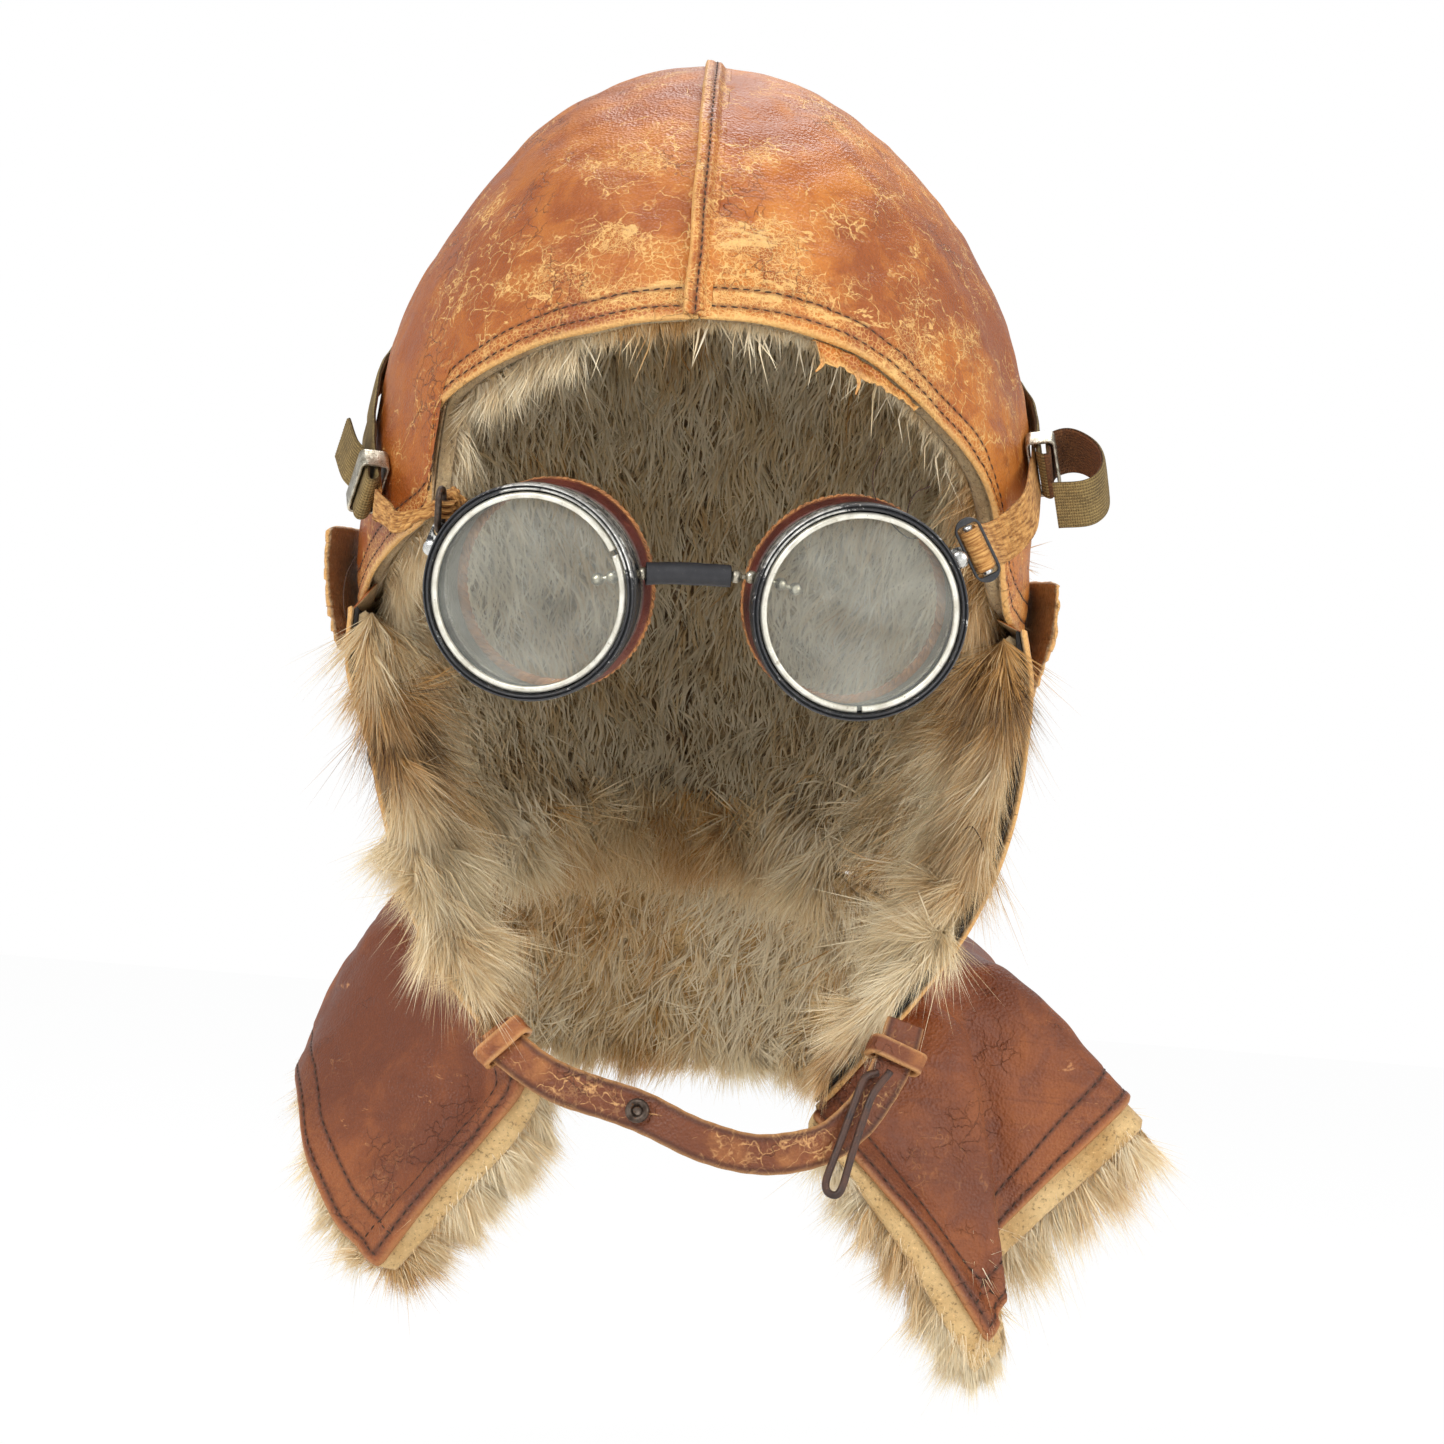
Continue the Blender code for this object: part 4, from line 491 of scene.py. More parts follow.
def leatherFinish(name):
    # soft tones by slow noise; broken nets of fine pale cracks, 7, 2.5 and 1 mm wide, denser where
    # "scuff" is high;
    # crackled hem, paler at a free edge, and painted shade along the stitched rows; darker towards the left,
    # partly patina and partly painted shade
    look = leatherLooks[name]
    mat, tree, shader = newMaterial(name)
    slow = noise(tree, 20, 4, 0.5, warp=0.4)
    mid = noise(tree, 95, 5, 0.6, warp=0.5)
    fine = noise(tree, 900, 4, 0.6)
    grain = noise(tree, 2300, 3, 0.6)
    scuff = value(tree, "scuff")
    tone = tint(tree, ramp(tree, slow, 0.58, 0.38, 0.0, look["shade"]), look["body"], look["dark"])
    tone = tint(
        tree,
        ramp(
            tree, plus(tree, times(tree, slow, 0.5), times(tree, mid, 0.5)), 0.47, 0.62, 0.0, look["light"],
        ),
        tone, look["pale"],
    )
    tone = tint(tree, ramp(tree, mid, 0.48, 0.30, 0.0, 0.55), tone, look["dark"])
    # darker and browner towards the left, partly the leather's own patina and partly painted shade, and fine
    # level creases
    tone = tint(
        tree,
        times(
            tree, ramp(tree, alongX(tree), 0.02, -0.08),
            ramp(tree, slow, 0.30, 0.62, 0.0, look["leftPatinaAndShade"]),
        ),
        tone, look["dark"],
    )
    level = noise(tree, 120, 4, 0.62, stretch=(0.45, 0.8, 2.4), warp=0.4)
    tone = tint(tree, ramp(tree, level, 0.44, 0.36, 0.0, 0.40), tone, look["dark"])
    # pale cracks
    low = look["crackLow"]
    patchy = plus(tree, noise(tree, 42, 4, 0.65, warp=0.8), times(tree, scuff, 0.30))
    broken = ramp(tree, mid, 0.42, 0.56)
    wide = times(
        tree, ramp(tree, cells(tree, 130, warp=2.4), 0.032, 0.012),
        times(tree, ramp(tree, patchy, low, low + 0.10), ramp(tree, fine, 0.36, 0.52)),
    )
    coarse = cells(tree, 360, warp=1.6)
    net = times(
        tree, ramp(tree, coarse, 0.075, 0.02),
        times(tree, ramp(tree, patchy, low + 0.06, low + 0.18), broken),
    )
    small = times(
        tree, ramp(tree, cells(tree, 1000, warp=1.2), 0.11, 0.02),
        ramp(tree, patchy, low + 0.12, low + 0.26, 0.0, 0.85),
    )
    lines = maths(tree, "MAXIMUM", wide, maths(tree, "MAXIMUM", net, small))
    tone = tint(tree, times(tree, lines, look["crackShare"]), tone, look["crack"])
    # dark creases between them, and pale rubbed streaks that lie level
    creases = times(
        tree, ramp(tree, cells(tree, 190, warp=2.0), 0.030, 0.008),
        ramp(tree, noise(tree, 33, 4, 0.6), 0.52, 0.60),
    )
    tone = tint(tree, times(tree, creases, look["creased"]), tone, look["crease"])
    streak = plus(
        tree, noise(tree, 210, 5, 0.72, stretch=(0.34, 0.6, 1.5), warp=0.5), times(tree, scuff, 0.17),
    )
    tone = tint(tree, ramp(tree, streak, 0.655, 0.70, 0.0, 0.85), tone, look["crack"])
    tone = tint(tree, ramp(tree, grain, 0.40, 0.62, 0.18, 0.0), tone, look["dark"])
    # crackled hem
    edgeReach = value(tree, "edge")
    hem = times(tree, ramp(tree, edgeReach, 0.0090, 0.0060), ramp(tree, mid, 0.36, 0.52, 0.35, 1.0))
    tone = tint(
        tree,
        times(tree, times(tree, ramp(tree, cells(tree, 780, warp=1.0), 0.14, 0.03), hem), look["hem"]),
        tone, look["crack"],
    )
    edge = ramp(tree, plus(tree, edgeReach, times(tree, mid, 0.0012)), 0.0017, 0.0006, 0.0, 0.60)
    tone = tint(tree, edge, tone, look["crack"])
    # painted shade in the stitch grooves: darker along the stitched rows
    seam = value(tree, "seam")
    tone = tint(tree, ramp(tree, seam, 0.0011, 0.0002, 0.0, 0.70), tone, look["crease"])
    fleshy = tint(tree, ramp(tree, fine, 0.35, 0.65), tuple(c * 0.6 for c in look["flesh"]), look["flesh"])
    tone = tint(tree, ramp(tree, value(tree, "under"), 0.55, 0.8), tone, fleshy)
    tree.links.new(tone, shader.inputs["Base Color"])
    tree.links.new(
        ramp(tree, mid, 0.3, 0.7, look["rough"] - 0.06, look["rough"] + 0.18), shader.inputs["Roughness"],
    )
    shader.inputs["Specular IOR Level"].default_value = 0.45
    pores = cells(tree, 1300, "F1")
    relief(
        tree, shader,
        [
            (slow, 0.0012), (mid, 0.00045), (pores, 0.00022), (lines, -0.00010), (creases, -0.00030),
            (fine, 0.00020),
        ],
    )
    return mat


finishes = {name: leatherFinish(name) for name in leatherLooks}
print("leather finishes made")

# the sewn panels in millimetres: edges as (degrees round the head, height), the others as columns of
# places from top to bottom
panels = {
    "edgeLeft": (
        (0, 65), (11.1, 63), (18.5, 60.4), (30, 56.1), (44.4, 46.9), (51, 39.6), (50.7, 29.8), (49.9, 15),
        (58.5, 8), (71, 0), (80, -6), (90, -8), (106, -8), (116, -20), (123, -40), (130, -64), (150, -61),
        (180, -58),
    ),
    "edgeRight": (
        (0, 65), (10.8, 65), (21.6, 62.6), (31.4, 58.3), (43.7, 47.3), (58.3, 31), (66.9, 5.1), (75, -1),
        (90, -3), (106, -5), (116, -18), (123, -40), (130, -64), (150, -61), (180, -58),
    ),
    "neckLeft": ((-37, -66, -108.2), (-54, -30, -90), (-59, 14, -72), (-48.5, 48.5, -64.5)),
    "neckRight": ((42.5, -70, -120), (66, -42, -92), (74, -5, -77), (48.5, 48.5, -64.5)),
    "cheekLeft": (
        (
            (-79.5, -29, -9), (-79, -33, -24), (-72.1, -38, -41), (-67.6, -42, -55.4), (-63, -48, -69.6),
            (-54, -57, -88),
        ),
        (
            (-79.3, -12, -9.8), (-77.5, -12, -24), (-72, -13, -39), (-66, -15, -52), (-61, -19, -65),
            (-57, -24, -78),
        ),
        (
            (-78.8, 8, -9.8), (-76.5, 10, -20), (-72.5, 12, -31), (-68.5, 13, -42), (-64, 14, -53),
            (-61, 14, -63),
        ),
        (
            (-76.6, 22.5, -9.8), (-72.6, 36, -16), (-68, 42.6, -24), (-63.8, 46, -33), (-58.5, 48.2, -43),
            (-52.6, 48.8, -54),
        ),
    ),
    "cheekRight": (
        (
            (84, -36, -2), (87, -34, -16), (86.9, -36, -33.4), (84.7, -40, -50.7), (78.3, -47, -70.6),
            (66, -57.5, -91),
        ),
        ((85.3, -12, -5), (84, -12, -19), (80.5, -13, -35), (77, -16, -50), (74, -22, -64), (71, -31, -78)),
        ((84.6, 8, -6.5), (81.5, 9, -18), (77, 10, -30), (74.5, 8, -42), (73, 5, -54), (73, 0, -65)),
        (
            (82, 23, -7.5), (77.4, 36, -14.5), (72.3, 42.4, -23), (66.5, 45.8, -33), (61, 48, -43),
            (54, 48.6, -54),
        ),
    ),
    "capeLeftStarts": (0.0, 0.12, 0.28, 0.42, 0.56, 0.72, 1.0),
    "capeLeft": (
        ((-24, -72.5, -114), (-19, -71, -122), (-24, -67.5, -137), (-36, -61, -152), (-51, -54, -169)),
        ((-29, -72, -119), (-37.4, -68, -133), (-48.7, -62, -148), (-60.6, -55, -167)),
        ((-38, -58.5, -121), (-46, -56, -136), (-55.5, -53, -151), (-65.5, -48.5, -163.5)),
        ((-49, -46, -113), (-56.5, -46, -129), (-64, -44, -145), (-71.5, -41, -158.5)),
        ((-58, -32, -102), (-66, -33, -118), (-73.5, -32, -133), (-79.6, -30, -145)),
        ((-66, -17, -91), (-72, -18, -104), (-78, -19, -118), (-83, -20, -131)),
        ((-68, 5, -86), (-75, 5, -98), (-80.5, 5, -111), (-84.5, 4, -124)),
    ),
    "capeRightStarts": (0.0, 0.10, 0.29, 0.35, 0.41, 0.50, 0.60, 0.80, 1.0),
    "capeRight": (
        ((44.5, -75, -126.5), (47, -74, -133), (54, -71, -144), (63, -66, -158), (79, -56, -184)),
        ((52, -72, -130), (62, -68, -139.5), (73, -64, -151), (89.3, -56, -173)),
        ((60, -60, -124), (71, -58, -138), (80, -56.5, -152), (90.5, -54, -169)),
        ((76, -49, -103), (83, -51, -120), (88, -52, -140), (91.7, -52.5, -163)),
        ((78, -38, -101), (84, -38.5, -118), (88.5, -38.5, -134), (91.9, -39, -151)),
        ((82, -32, -96.5), (90, -33, -111), (95.5, -33, -125), (99.8, -32, -138)),
        ((86, -24, -87), (97, -25, -96.5), (108, -25, -106), (119.3, -25, -116)),
        ((85, -7, -86), (95, -6, -96), (104, -4, -107), (112.5, -1, -118.5)),
        ((78, 20, -80), (88, 20, -93), (97, 19, -106), (103, 18, -119.5)),
    ),
    "capeSeamLeft": ((-56, 49, -76), (-66, 49, -89), (-73, 49, -102), (-78, 48, -118)),
    "capeSeamRight": ((58, 49, -76), (69, 48, -90), (80, 46, -104), (89, 44, -118.5)),
    "capeBack": (
        ((-36, 76, -74), (-41, 84, -88), (-45, 90, -102), (-48, 93, -117)),
        ((-16, 84.5, -73), (-18, 93, -87), (-19, 99, -101), (-20, 102, -116)),
        ((16, 84.5, -73), (18, 93, -87), (19, 99, -101), (20, 102, -116)),
        ((36, 76, -74), (42, 84, -88), (47, 90, -102), (50, 93, -117)),
    ),
    "furLeft": (0.1, 0.1, 0.1, 0.1, 0.1, 0.1, 0.1, 0.1),
    "furRight": (0.2, 0.25, 0.25, 0.4, 0.7, 0.8, 0.7, 0.4, 0.3, 0.2),
    "furBack": (0.1, 0.1, 0.1, 0.1, 0.1, 0.2),
    "capeBackStarts": (0.0, 0.2, 0.4, 0.6, 0.8, 1.0),
    "drop": {"left": 1.9, "right": 2.6, "back": 2.6},
    "seamGap": 0.8,
    "hemRows": (3.0, 8.0),
}


def crownPatch(side, columns=204, rows=118):
    # columns from brow to nape: angle = low + (90 - low) * up, azimuth = a + (even share - a) * up,
    # both on the head form
    edge = smoothLine(panels["edgeLeft" if side < 0 else "edgeRight"], 400)
    azimuth, height = np.radians(edge[:, 0]), edge[:, 1] * mm
    reach = runOf(headPlace(azimuth, height, side)[0])
    wanted = np.linspace(0, reach[-1], columns)
    azimuth, height = np.interp(wanted, reach, azimuth)[:, None], np.interp(wanted, reach, height)[:, None]
    form = headForm
    up = np.linspace(0, 1, rows)[None, :]
    low = np.arcsin((height - form["widest"]) / form["rise"])
    angle = low + (math.pi / 2 - low) * up
    around = azimuth + (np.linspace(0, math.pi, columns)[:, None] - azimuth) * up
    return headPlace(around, form["widest"] + form["rise"] * np.sin(angle), side)


def downTo(grid, toLast=True):
    # how far each place of a grid is from the end of its own column, along the column
    steps = np.linalg.norm(np.diff(grid, axis=1), axis=2)
    run = np.concatenate([np.zeros((len(grid), 1)), np.cumsum(steps, axis=1)], axis=1)
    return run[:, -1:] - run if toLast else run


def acrossTo(grid, toLast):
    # the same as downTo, measured across the columns
    return downTo(np.swapaxes(grid, 0, 1), toLast).T


def cheekPatch(label, columns=121, rows=121):
    # the cheek's cage closed at the bottom by the neck seam's places
    neck = panels["neck" + label]
    cage = [list(column) + [end] for column, end in zip(panels["cheek" + label], neck)]
    return patch(np.array(cage) * mm, columns, rows)


def capePatch(label, seam, columns, rows, spare):
    # the seam's own line on top, then the cage's places, with one straight row more below the hem for
    # the fur
    starts = panels["cape%sStarts" % label]
    drop = np.array((0, 0, panels["drop"][label.lower()] * mm))
    gap = np.array((0, panels["seamGap"] * mm, 0))
    if label == "Back":
        cage = [
            np.array(panels["capeSeamLeft"]) * mm + gap, *[np.array(c) * mm for c in panels["capeBack"]],
            np.array(panels["capeSeamRight"]) * mm + gap
        ]
    else:
        cage = [
            np.array(c) * mm for c in panels["cape" + label]
        ] + [np.array(panels["capeSeam" + label]) * mm - gap]
    at = np.array(starts) * (len(seam) - 1)
    tops = readOff(at, np.arange(len(seam)), seam) - drop
    down = [smoothLine(cage[0], rows)] if spare else []
    down += [smoothLine(np.concatenate([[top], column]), rows) for top, column in zip(tops, cage[spare:])]
    grid = smoothLine(np.array(down), columns)
    return grid


def puckered(grid, away, edge, seam, seed, deep=0.00035, soft=0.0006):
    # the panel moved along its normals: dips at each stitched row, a fold along the edge, slow waves
    # and small creases
    dip = -deep * np.exp(-((seam / 0.0009) ** 2))
    fold = 0.00035 * np.exp(-(((edge - 0.0015) / 0.0012) ** 2))
    waves = soft * ripple(grid, 0.045, seed, 3) * (1 - 0.7 * np.exp(-edge / 0.006))
    pucker = 0.00010 * np.sin(ripple(grid, 0.006, seed + 5, 1) * 3) * np.exp(-((seam / 0.002) ** 2))
    return grid + away * np.maximum(dip + fold + waves + pucker, -0.00055)[..., None]


def stitchRow(name, path, outward, body, mat, pitch=0.0026, length=0.0019, radius=0.00021, lift=0.00005):
    # one bead of thread each pitch along a line: a closed spindle, radius * sqrt(1 - s^2) round its
    # own axis
    steps = runOf(path)
    at = np.arange(pitch / 2, steps[-1] - length / 2, pitch)
    place = readOff(at, steps, path)
    out = readOff(at, steps, outward)
    ahead = unit(readOff(at + 1e-4, steps, path) - place)
    side = unit(np.cross(ahead, out))
    out = np.cross(side, ahead)
    turn = rng.normal(0, 0.12, len(at))[:, None]
    ahead, side = ahead * np.cos(turn) + side * np.sin(turn), side * np.cos(turn) - ahead * np.sin(turn)
    s = np.array([-1.0, -0.8, -0.3, 0.3, 0.8, 1.0])
    thin = radius * np.sqrt(np.clip(1.02 - s**4, 0, None))
    angle = np.linspace(0, 2 * math.pi, 6, endpoint=False)
    shape = np.stack(
        [
            np.broadcast_to((s * length / 2)[:, None], (6, 6)),
            thin[:, None] * np.cos(angle)[None, :],
            thin[:, None] * np.sin(angle)[None, :] - (np.abs(s) ** 3 * radius)[:, None],
        ],
        axis=-1,
    ).reshape(-1, 3)
    points = place[:, None] + out[:, None] * lift + shape[None, :, :1] * ahead[:, None] + shape[
        None, :, 1:2
    ] * side[:, None] + shape[None, :, 2:] * out[:, None]
    ring = np.arange(6)
    quads = np.stack(
        [
            ring[:-1, None] * 6 + ring[None, :], ring[:-1, None] * 6 + (ring + 1) % 6,
            (ring[1:, None]) * 6 + (ring + 1) % 6, ring[1:, None] * 6 + ring[None, :],
        ],
        axis=-1,
    ).reshape(-1, 4)
    caps = np.array([(0, 5, 4, 3), (0, 3, 2, 1), (30, 31, 32, 33), (30, 33, 34, 35)])
    one = np.concatenate([quads[:, ::-1], caps[:, ::-1]])
    faces = (one[None] + (np.arange(len(at)) * 36)[:, None, None]).reshape(-1, 4)
    return meshPiece(name, points.reshape(-1, 3), faces, mat, body)


def rowOn(grid, away, distanceTo, value, thick):
    # a line on the panel's outer face where a distance field, falling along each column, has a given
    # value
    order = np.arange(grid.shape[1])
    at = np.array(
        [
            np.interp(
                value, column if column[0] < column[-1] else column[::-1],
                order if column[0] < column[-1] else order[::-1],
            ) for column in distanceTo
        ]
    )
    low = np.clip(at.astype(int), 0, grid.shape[1] - 2)
    t = (at - low)[:, None]
    i = np.arange(len(grid))
    place = grid[i, low] * (1 - t) + grid[i, low + 1] * t
    out = away[i, low] * (1 - t) + away[i, low + 1] * t
    return place + out * thick, out


threadLooks = {"waxedThread": (0.050, 0.022, 0.010)}


def sewnRow(name, line, keep=slice(3, -3), body="helmet", pitch=0.0026):
    # one row of stitches in waxed thread along the kept part of a line and its directions
    path, out = line
    thread = stitchRow(name, path[keep], out[keep], body, finishes["waxedThread"], pitch)


def threadFinish(name):
    # waxed thread: two tones of one colour, with a fine grain
    mat, tree, shader = newMaterial(name)
    colour = threadLooks[name]
    tone = tint(
        tree, ramp(tree, noise(tree, 500, 3), 0.35, 0.65), tuple(c * 0.6 for c in colour),
        tuple(min(1, c * 1.7) for c in colour)
    )
    tree.links.new(tone, shader.inputs["Base Color"])
    shader.inputs["Roughness"].default_value = 0.75
    relief(tree, shader, [(noise(tree, 6000, 2), 0.0001)])
    return mat


for name in threadLooks:
    finishes[name] = threadFinish(name)


# rubbed places on the crown: x, height, half width, half height in mm, and how hard
scuffs = (
    (10, 86, 13, 4.5, 1.0), (-20, 83, 9, 4, 0.9), (-17, 103, 6, 2.5, 0.7), (-50, 70, 5, 5, 0.6),
    (21, 73, 22, 6, 0.6), (48, 62, 16, 14, 0.45), (10, 108, 12, 5, 0.55), (-16, 70, 24, 4, 0.55),
)


def scuffed(grid):
    # the sum of strength * exp(-((x - x0) / w)^2 - ((z - z0) / h)^2) over the rubbed places, on the
    # front half only
    x, z = grid[..., 0, None] / mm, grid[..., 2, None] / mm
    x0, z0, w, h, hard = np.array(scuffs).T
    return np.sum(
        hard * np.exp(-(((x - x0) / w) ** 2) - ((z - z0) / h) ** 2), axis=-1,
    ) * (grid[..., 1] < -0.02)


def makeCrown():
    # each half of the crown: its patch lifted by the leather, puckered along the stitches, with an
    # inner face below it
    made = {}
    thick = headForm["leather"]
    for label, side in (("left", -1), ("right", 1)):
        grid, away = crownPatch(side)
        edge = downTo(grid, False)
        seam = np.minimum.reduce([abs(edge - row * mm) for row in panels["hemRows"]])
        wide = np.abs(grid[..., 0])
        if side > 0:
            seam = np.minimum(seam, abs(wide - 0.0004) + 0.0004)
        outer = puckered(grid + away * thick, away, edge, seam, 3 + side)
        gap = 0.00025
        inner = grid.copy()
        for sheet in (outer, inner):
            sheet[..., 0] = np.where(side * sheet[..., 0] < gap, side * gap, sheet[..., 0])
        piece = closedLayer(
            "crownPanel" + label.title(), outer, inner, finishes["crownHide"], "helmet",
            {"edge": edge, "seam": seam, "scuff": scuffed(outer)},
        )
        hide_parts("crown_" + label)
        made[label] = (grid, away, outer)
        for k, row in enumerate(panels["hemRows"]):
            # the rows stop where the hem turns down behind the ear
            sewnRow(
                "crownHemThread%s%d" % (label.title(), k), rowOn(outer, away, edge, row * mm, 0.0),
                slice(1, 160),
            )
    return made


seamLap = {"leftEdge": -0.0039, "rightEdge": 0.0026, "columns": 320, "rows": 28, "stitchAt": (-0.0011,)}


def makeSeamLap():
    # a strip along the centre line: height = leather, plus a step of 1.3 mm that rises from the right
    # edge and ends rounded at the left
    form, thick = headForm, headForm["leather"]
    edge = np.array(panels["edgeLeft"]) * mm
    low = math.asin((edge[0, 1] - form["widest"]) / form["rise"])
    back = math.asin((edge[-1, 1] - form["widest"]) / form["rise"])
    turn = np.linspace(low + 0.001, math.pi - back, seamLap["columns"])
    y = -form["halfDepth"] * np.cos(turn)
    z = form["widest"] + form["rise"] * np.sin(turn)
    path = np.stack([0 * y, y, z], axis=1)
    out = np.stack([0 * y, y / form["halfDepth"] ** 2, (z - form["widest"]) / form["rise"] ** 2], axis=1)
    out = unit(out)
    s = np.linspace(0, 1, seamLap["rows"])
    across = seamLap["rightEdge"] + (seamLap["leftEdge"] - seamLap["rightEdge"]) * s
    rise = 1 / (1 + np.exp(-(s - 0.32) * 16))
    top = thick * 0.92 + (thick + 0.0007) * rise
    top = top - 0.0005 * np.exp(-(((across - seamLap["stitchAt"][0]) / 0.0007) ** 2))
    top = top - 0.0011 * np.clip((s - 0.93) / 0.07, 0, 1) ** 2
    bottom = np.where(s < 0.40, thick * 0.55, thick + 0.0005)
    wander = 0.00018 * ripple(path, 0.02, 77, 2)
    width = (across[None, :] + wander[:, None] * s[None, :])[..., None] * np.array((1.0, 0, 0))
    outer = path[:, None] + width + out[:, None] * (
        top[None, :] + 0.00012 * ripple(path, 0.008, 5, 2)[:, None]
    )[..., None]
    inner = path[:, None] + width + out[:, None] * bottom[None, :, None]
    run = np.abs(across[None, :] - seamLap["leftEdge"]) + 0 * outer[..., 0]
    seam = np.abs(across[None, :] - seamLap["stitchAt"][0]) + 0 * outer[..., 0]
    piece = closedLayer(
        "crownSeamLap", outer, inner, finishes["crownHide"], "helmet", {"edge": run, "seam": seam},
    )
    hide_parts("crown_right")
    at = int(np.argmin(abs(across - seamLap["stitchAt"][0])))
    sewnRow("crownSeamThread", (outer[:, at], out), slice(None), pitch=0.0024)


def makeCheeks():
    # each cheek: its patch lifted by the leather, with stitched rows along the face's edge and the neck
    made = {}
    thick = headForm["leather"]
    for label in ("left", "right"):
        grid = cheekPatch(label.title())
        away = directions(grid)
        edge = acrossTo(grid, False)
        seam = np.minimum.reduce(
            [abs(edge - row * mm) for row in panels["hemRows"]] + [abs(downTo(grid) - 0.0022)]
        )
        outer = puckered(grid + away * thick, away, edge, seam, 21 if label == "left" else 33)
        piece = closedLayer(
            "cheekPanel" + label.title(), outer, grid, finishes["crownHide"], "helmet",
            {"edge": edge, "seam": seam},
        )
        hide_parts("cheek_" + label)
        made[label] = (grid, away, outer)
        turned = (np.swapaxes(outer, 0, 1), np.swapaxes(away, 0, 1), edge.T)
        for k, row in enumerate(panels["hemRows"]):
            sewnRow("cheekHemThread%s%d" % (label.title(), k), rowOn(*turned, row * mm, 0.0))
        sewnRow("cheekNeckThread" + label.title(), rowOn(outer, away, downTo(grid), 0.0022, 0.0))
    return made


def napeSeam(cheeks, crown):
    # the neck seam behind: from the back corner of one cheek, along the crown's lower edge, to the
    # other
    ends = {label: cheeks[label][0][-1, -1] for label in ("left", "right")}
    behind = {}
    for label in ("left", "right"):
        low = crown[label][0][:, 0]
        keep = (low[:, 1] > ends[label][1] + 0.0032) & (low[:, 2] < -0.48 * headForm["rise"])
        behind[label] = low[keep]
    line = np.concatenate([[ends["left"]], behind["left"], behind["right"][::-1], [ends["right"]]])
    return resample(line, 200)


capeSizes = {"Left": (140, 90, 1), "Right": (166, 90, 1), "Back": (146, 82, 0)}


valley = {"at": 0.35, "wide": 0.045, "deep": 0.0050}


def valleyDepth(columns, rows):
    # the right cape's fold: depth * exp(-((share - at) / wide)^2), growing with the square root of
    # the way down
    starts = panels["capeRightStarts"]
    leather = columns - (columns - 1) // len(starts)
    shares = smoothLine(np.array(starts)[:, None], leather)[:, 0]
    across = valley["deep"] * np.exp(-(((shares - valley["at"]) / valley["wide"]) ** 2))
    return np.concatenate(
        [np.zeros(columns - leather), across]
    )[:, None] * np.sqrt(np.linspace(0, 1, rows))[None, :]


def makeCape(cheeks, crown):
    # each part of the cape: its patch lifted by the leather; the right one also sunk along its fold
    made = {}
    thick = headForm["leather"]
    for label, (columns, rows, spare) in capeSizes.items():
        seamLine = napeSeam(cheeks, crown) if label == "Back" else resample(
            cheeks[label.lower()][0][:, -1], 150,
        )
        grid = capePatch(label, seamLine, columns, rows, spare)
        if label == "Right":
            grid = grid - directions(grid) * valleyDepth(columns, rows)[..., None]
        away = directions(grid)
        first = (columns - 1) // (len(panels["cape" + label + "Starts"]) + 1) if spare else 0
        leatherGrid, leatherAway = grid[first:], away[first:]
        edge = np.minimum(downTo(leatherGrid), acrossTo(leatherGrid, False) if spare else 1.0)
        seam = np.minimum.reduce([abs(edge - 0.0022), abs(edge - 0.0090)])
        outer = puckered(
            leatherGrid + leatherAway * thick, leatherAway, edge, seam, 50 + columns, soft=0.0008,
        )
        piece = closedLayer(
            "capePanel" + label, outer, leatherGrid, finishes["capeHide"], "helmet",
            {"edge": edge, "seam": seam},
        )
        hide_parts("cape_" + label.lower())
        made[label] = (grid, away, first, outer)
        for k, row in enumerate((0.0022, 0.0090)):
            sewnRow(
                "capeHemThread%s%d" % (label, k), rowOn(outer, leatherAway, downTo(leatherGrid), row, 0.0),
            )
            if spare:
                turned = np.swapaxes(outer, 0, 1), np.swapaxes(leatherAway, 0, 1), acrossTo(
                    leatherGrid, False,
                ).T
                sewnRow("capeFrontThread%s%d" % (label, k), rowOn(*turned, row, 0.0))
    return made


crown = makeCrown()
makeSeamLap()
cheeks = makeCheeks()
cape = makeCape(cheeks, crown)
print("leather panels sewn")


furLooks = {
    "furCoat": {
        "white": (0.88, 0.77, 0.56), "pale": (0.80, 0.62, 0.36), "tan": (0.60, 0.32, 0.10),
        "dark": (0.090, 0.040, 0.016),
    },
}


def furFinish(name):
    # the coat's own tone value picks dark, tan or pale; strands are darker at the root and paler at the tip
    look = furLooks[name]
    mat, tree, shader = newMaterial(name)
    tone = value(tree, "coat")
    tip = value(tree, "tip")
    colour = tint(tree, ramp(tree, tone, 0.0, 0.40), look["dark"], look["tan"])
    colour = tint(tree, ramp(tree, tone, 0.40, 0.72), colour, look["pale"])
    colour = tint(tree, ramp(tree, tone, 0.80, 1.0), colour, look["white"])
    colour = tint(tree, ramp(tree, tip, 0.40, 0.0, 0.0, 0.38), colour, tuple(c * 0.55 for c in look["tan"]))
    colour = tint(tree, ramp(tree, tip, 0.6, 1.0, 0.0, 0.30), colour, (0.92, 0.80, 0.56))
    tree.links.new(colour, shader.inputs["Base Color"])
    shader.inputs["Roughness"].default_value = 0.62
    shader.inputs["Specular IOR Level"].default_value = 0.25
    return mat


def suedeFinish(name, pale, dark, depth=0.0004):
    # nap of two tones with dark specks, raised by fine noise
    mat, tree, shader = newMaterial(name)
    slow = noise(tree, 60, 5, 0.65)
    nap = noise(tree, 1000, 5, 0.7)
    colour = tint(tree, ramp(tree, slow, 0.35, 0.65), dark, pale)
    colour = tint(tree, ramp(tree, nap, 0.55, 0.66, 0.0, 0.85), colour, tuple(c * 0.35 for c in dark))
    colour = tint(
        tree, ramp(tree, nap, 0.42, 0.30, 0.0, 0.6), colour, tuple(min(1.0, c * 1.35) for c in pale)
    )
    tree.links.new(colour, shader.inputs["Base Color"])
    shader.inputs["Roughness"].default_value = 0.95
    shader.inputs["Sheen Weight"].default_value = 0.15
    relief(tree, shader, [(nap, depth), (noise(tree, 300, 4, 0.6), depth * 1.5)])
    return mat


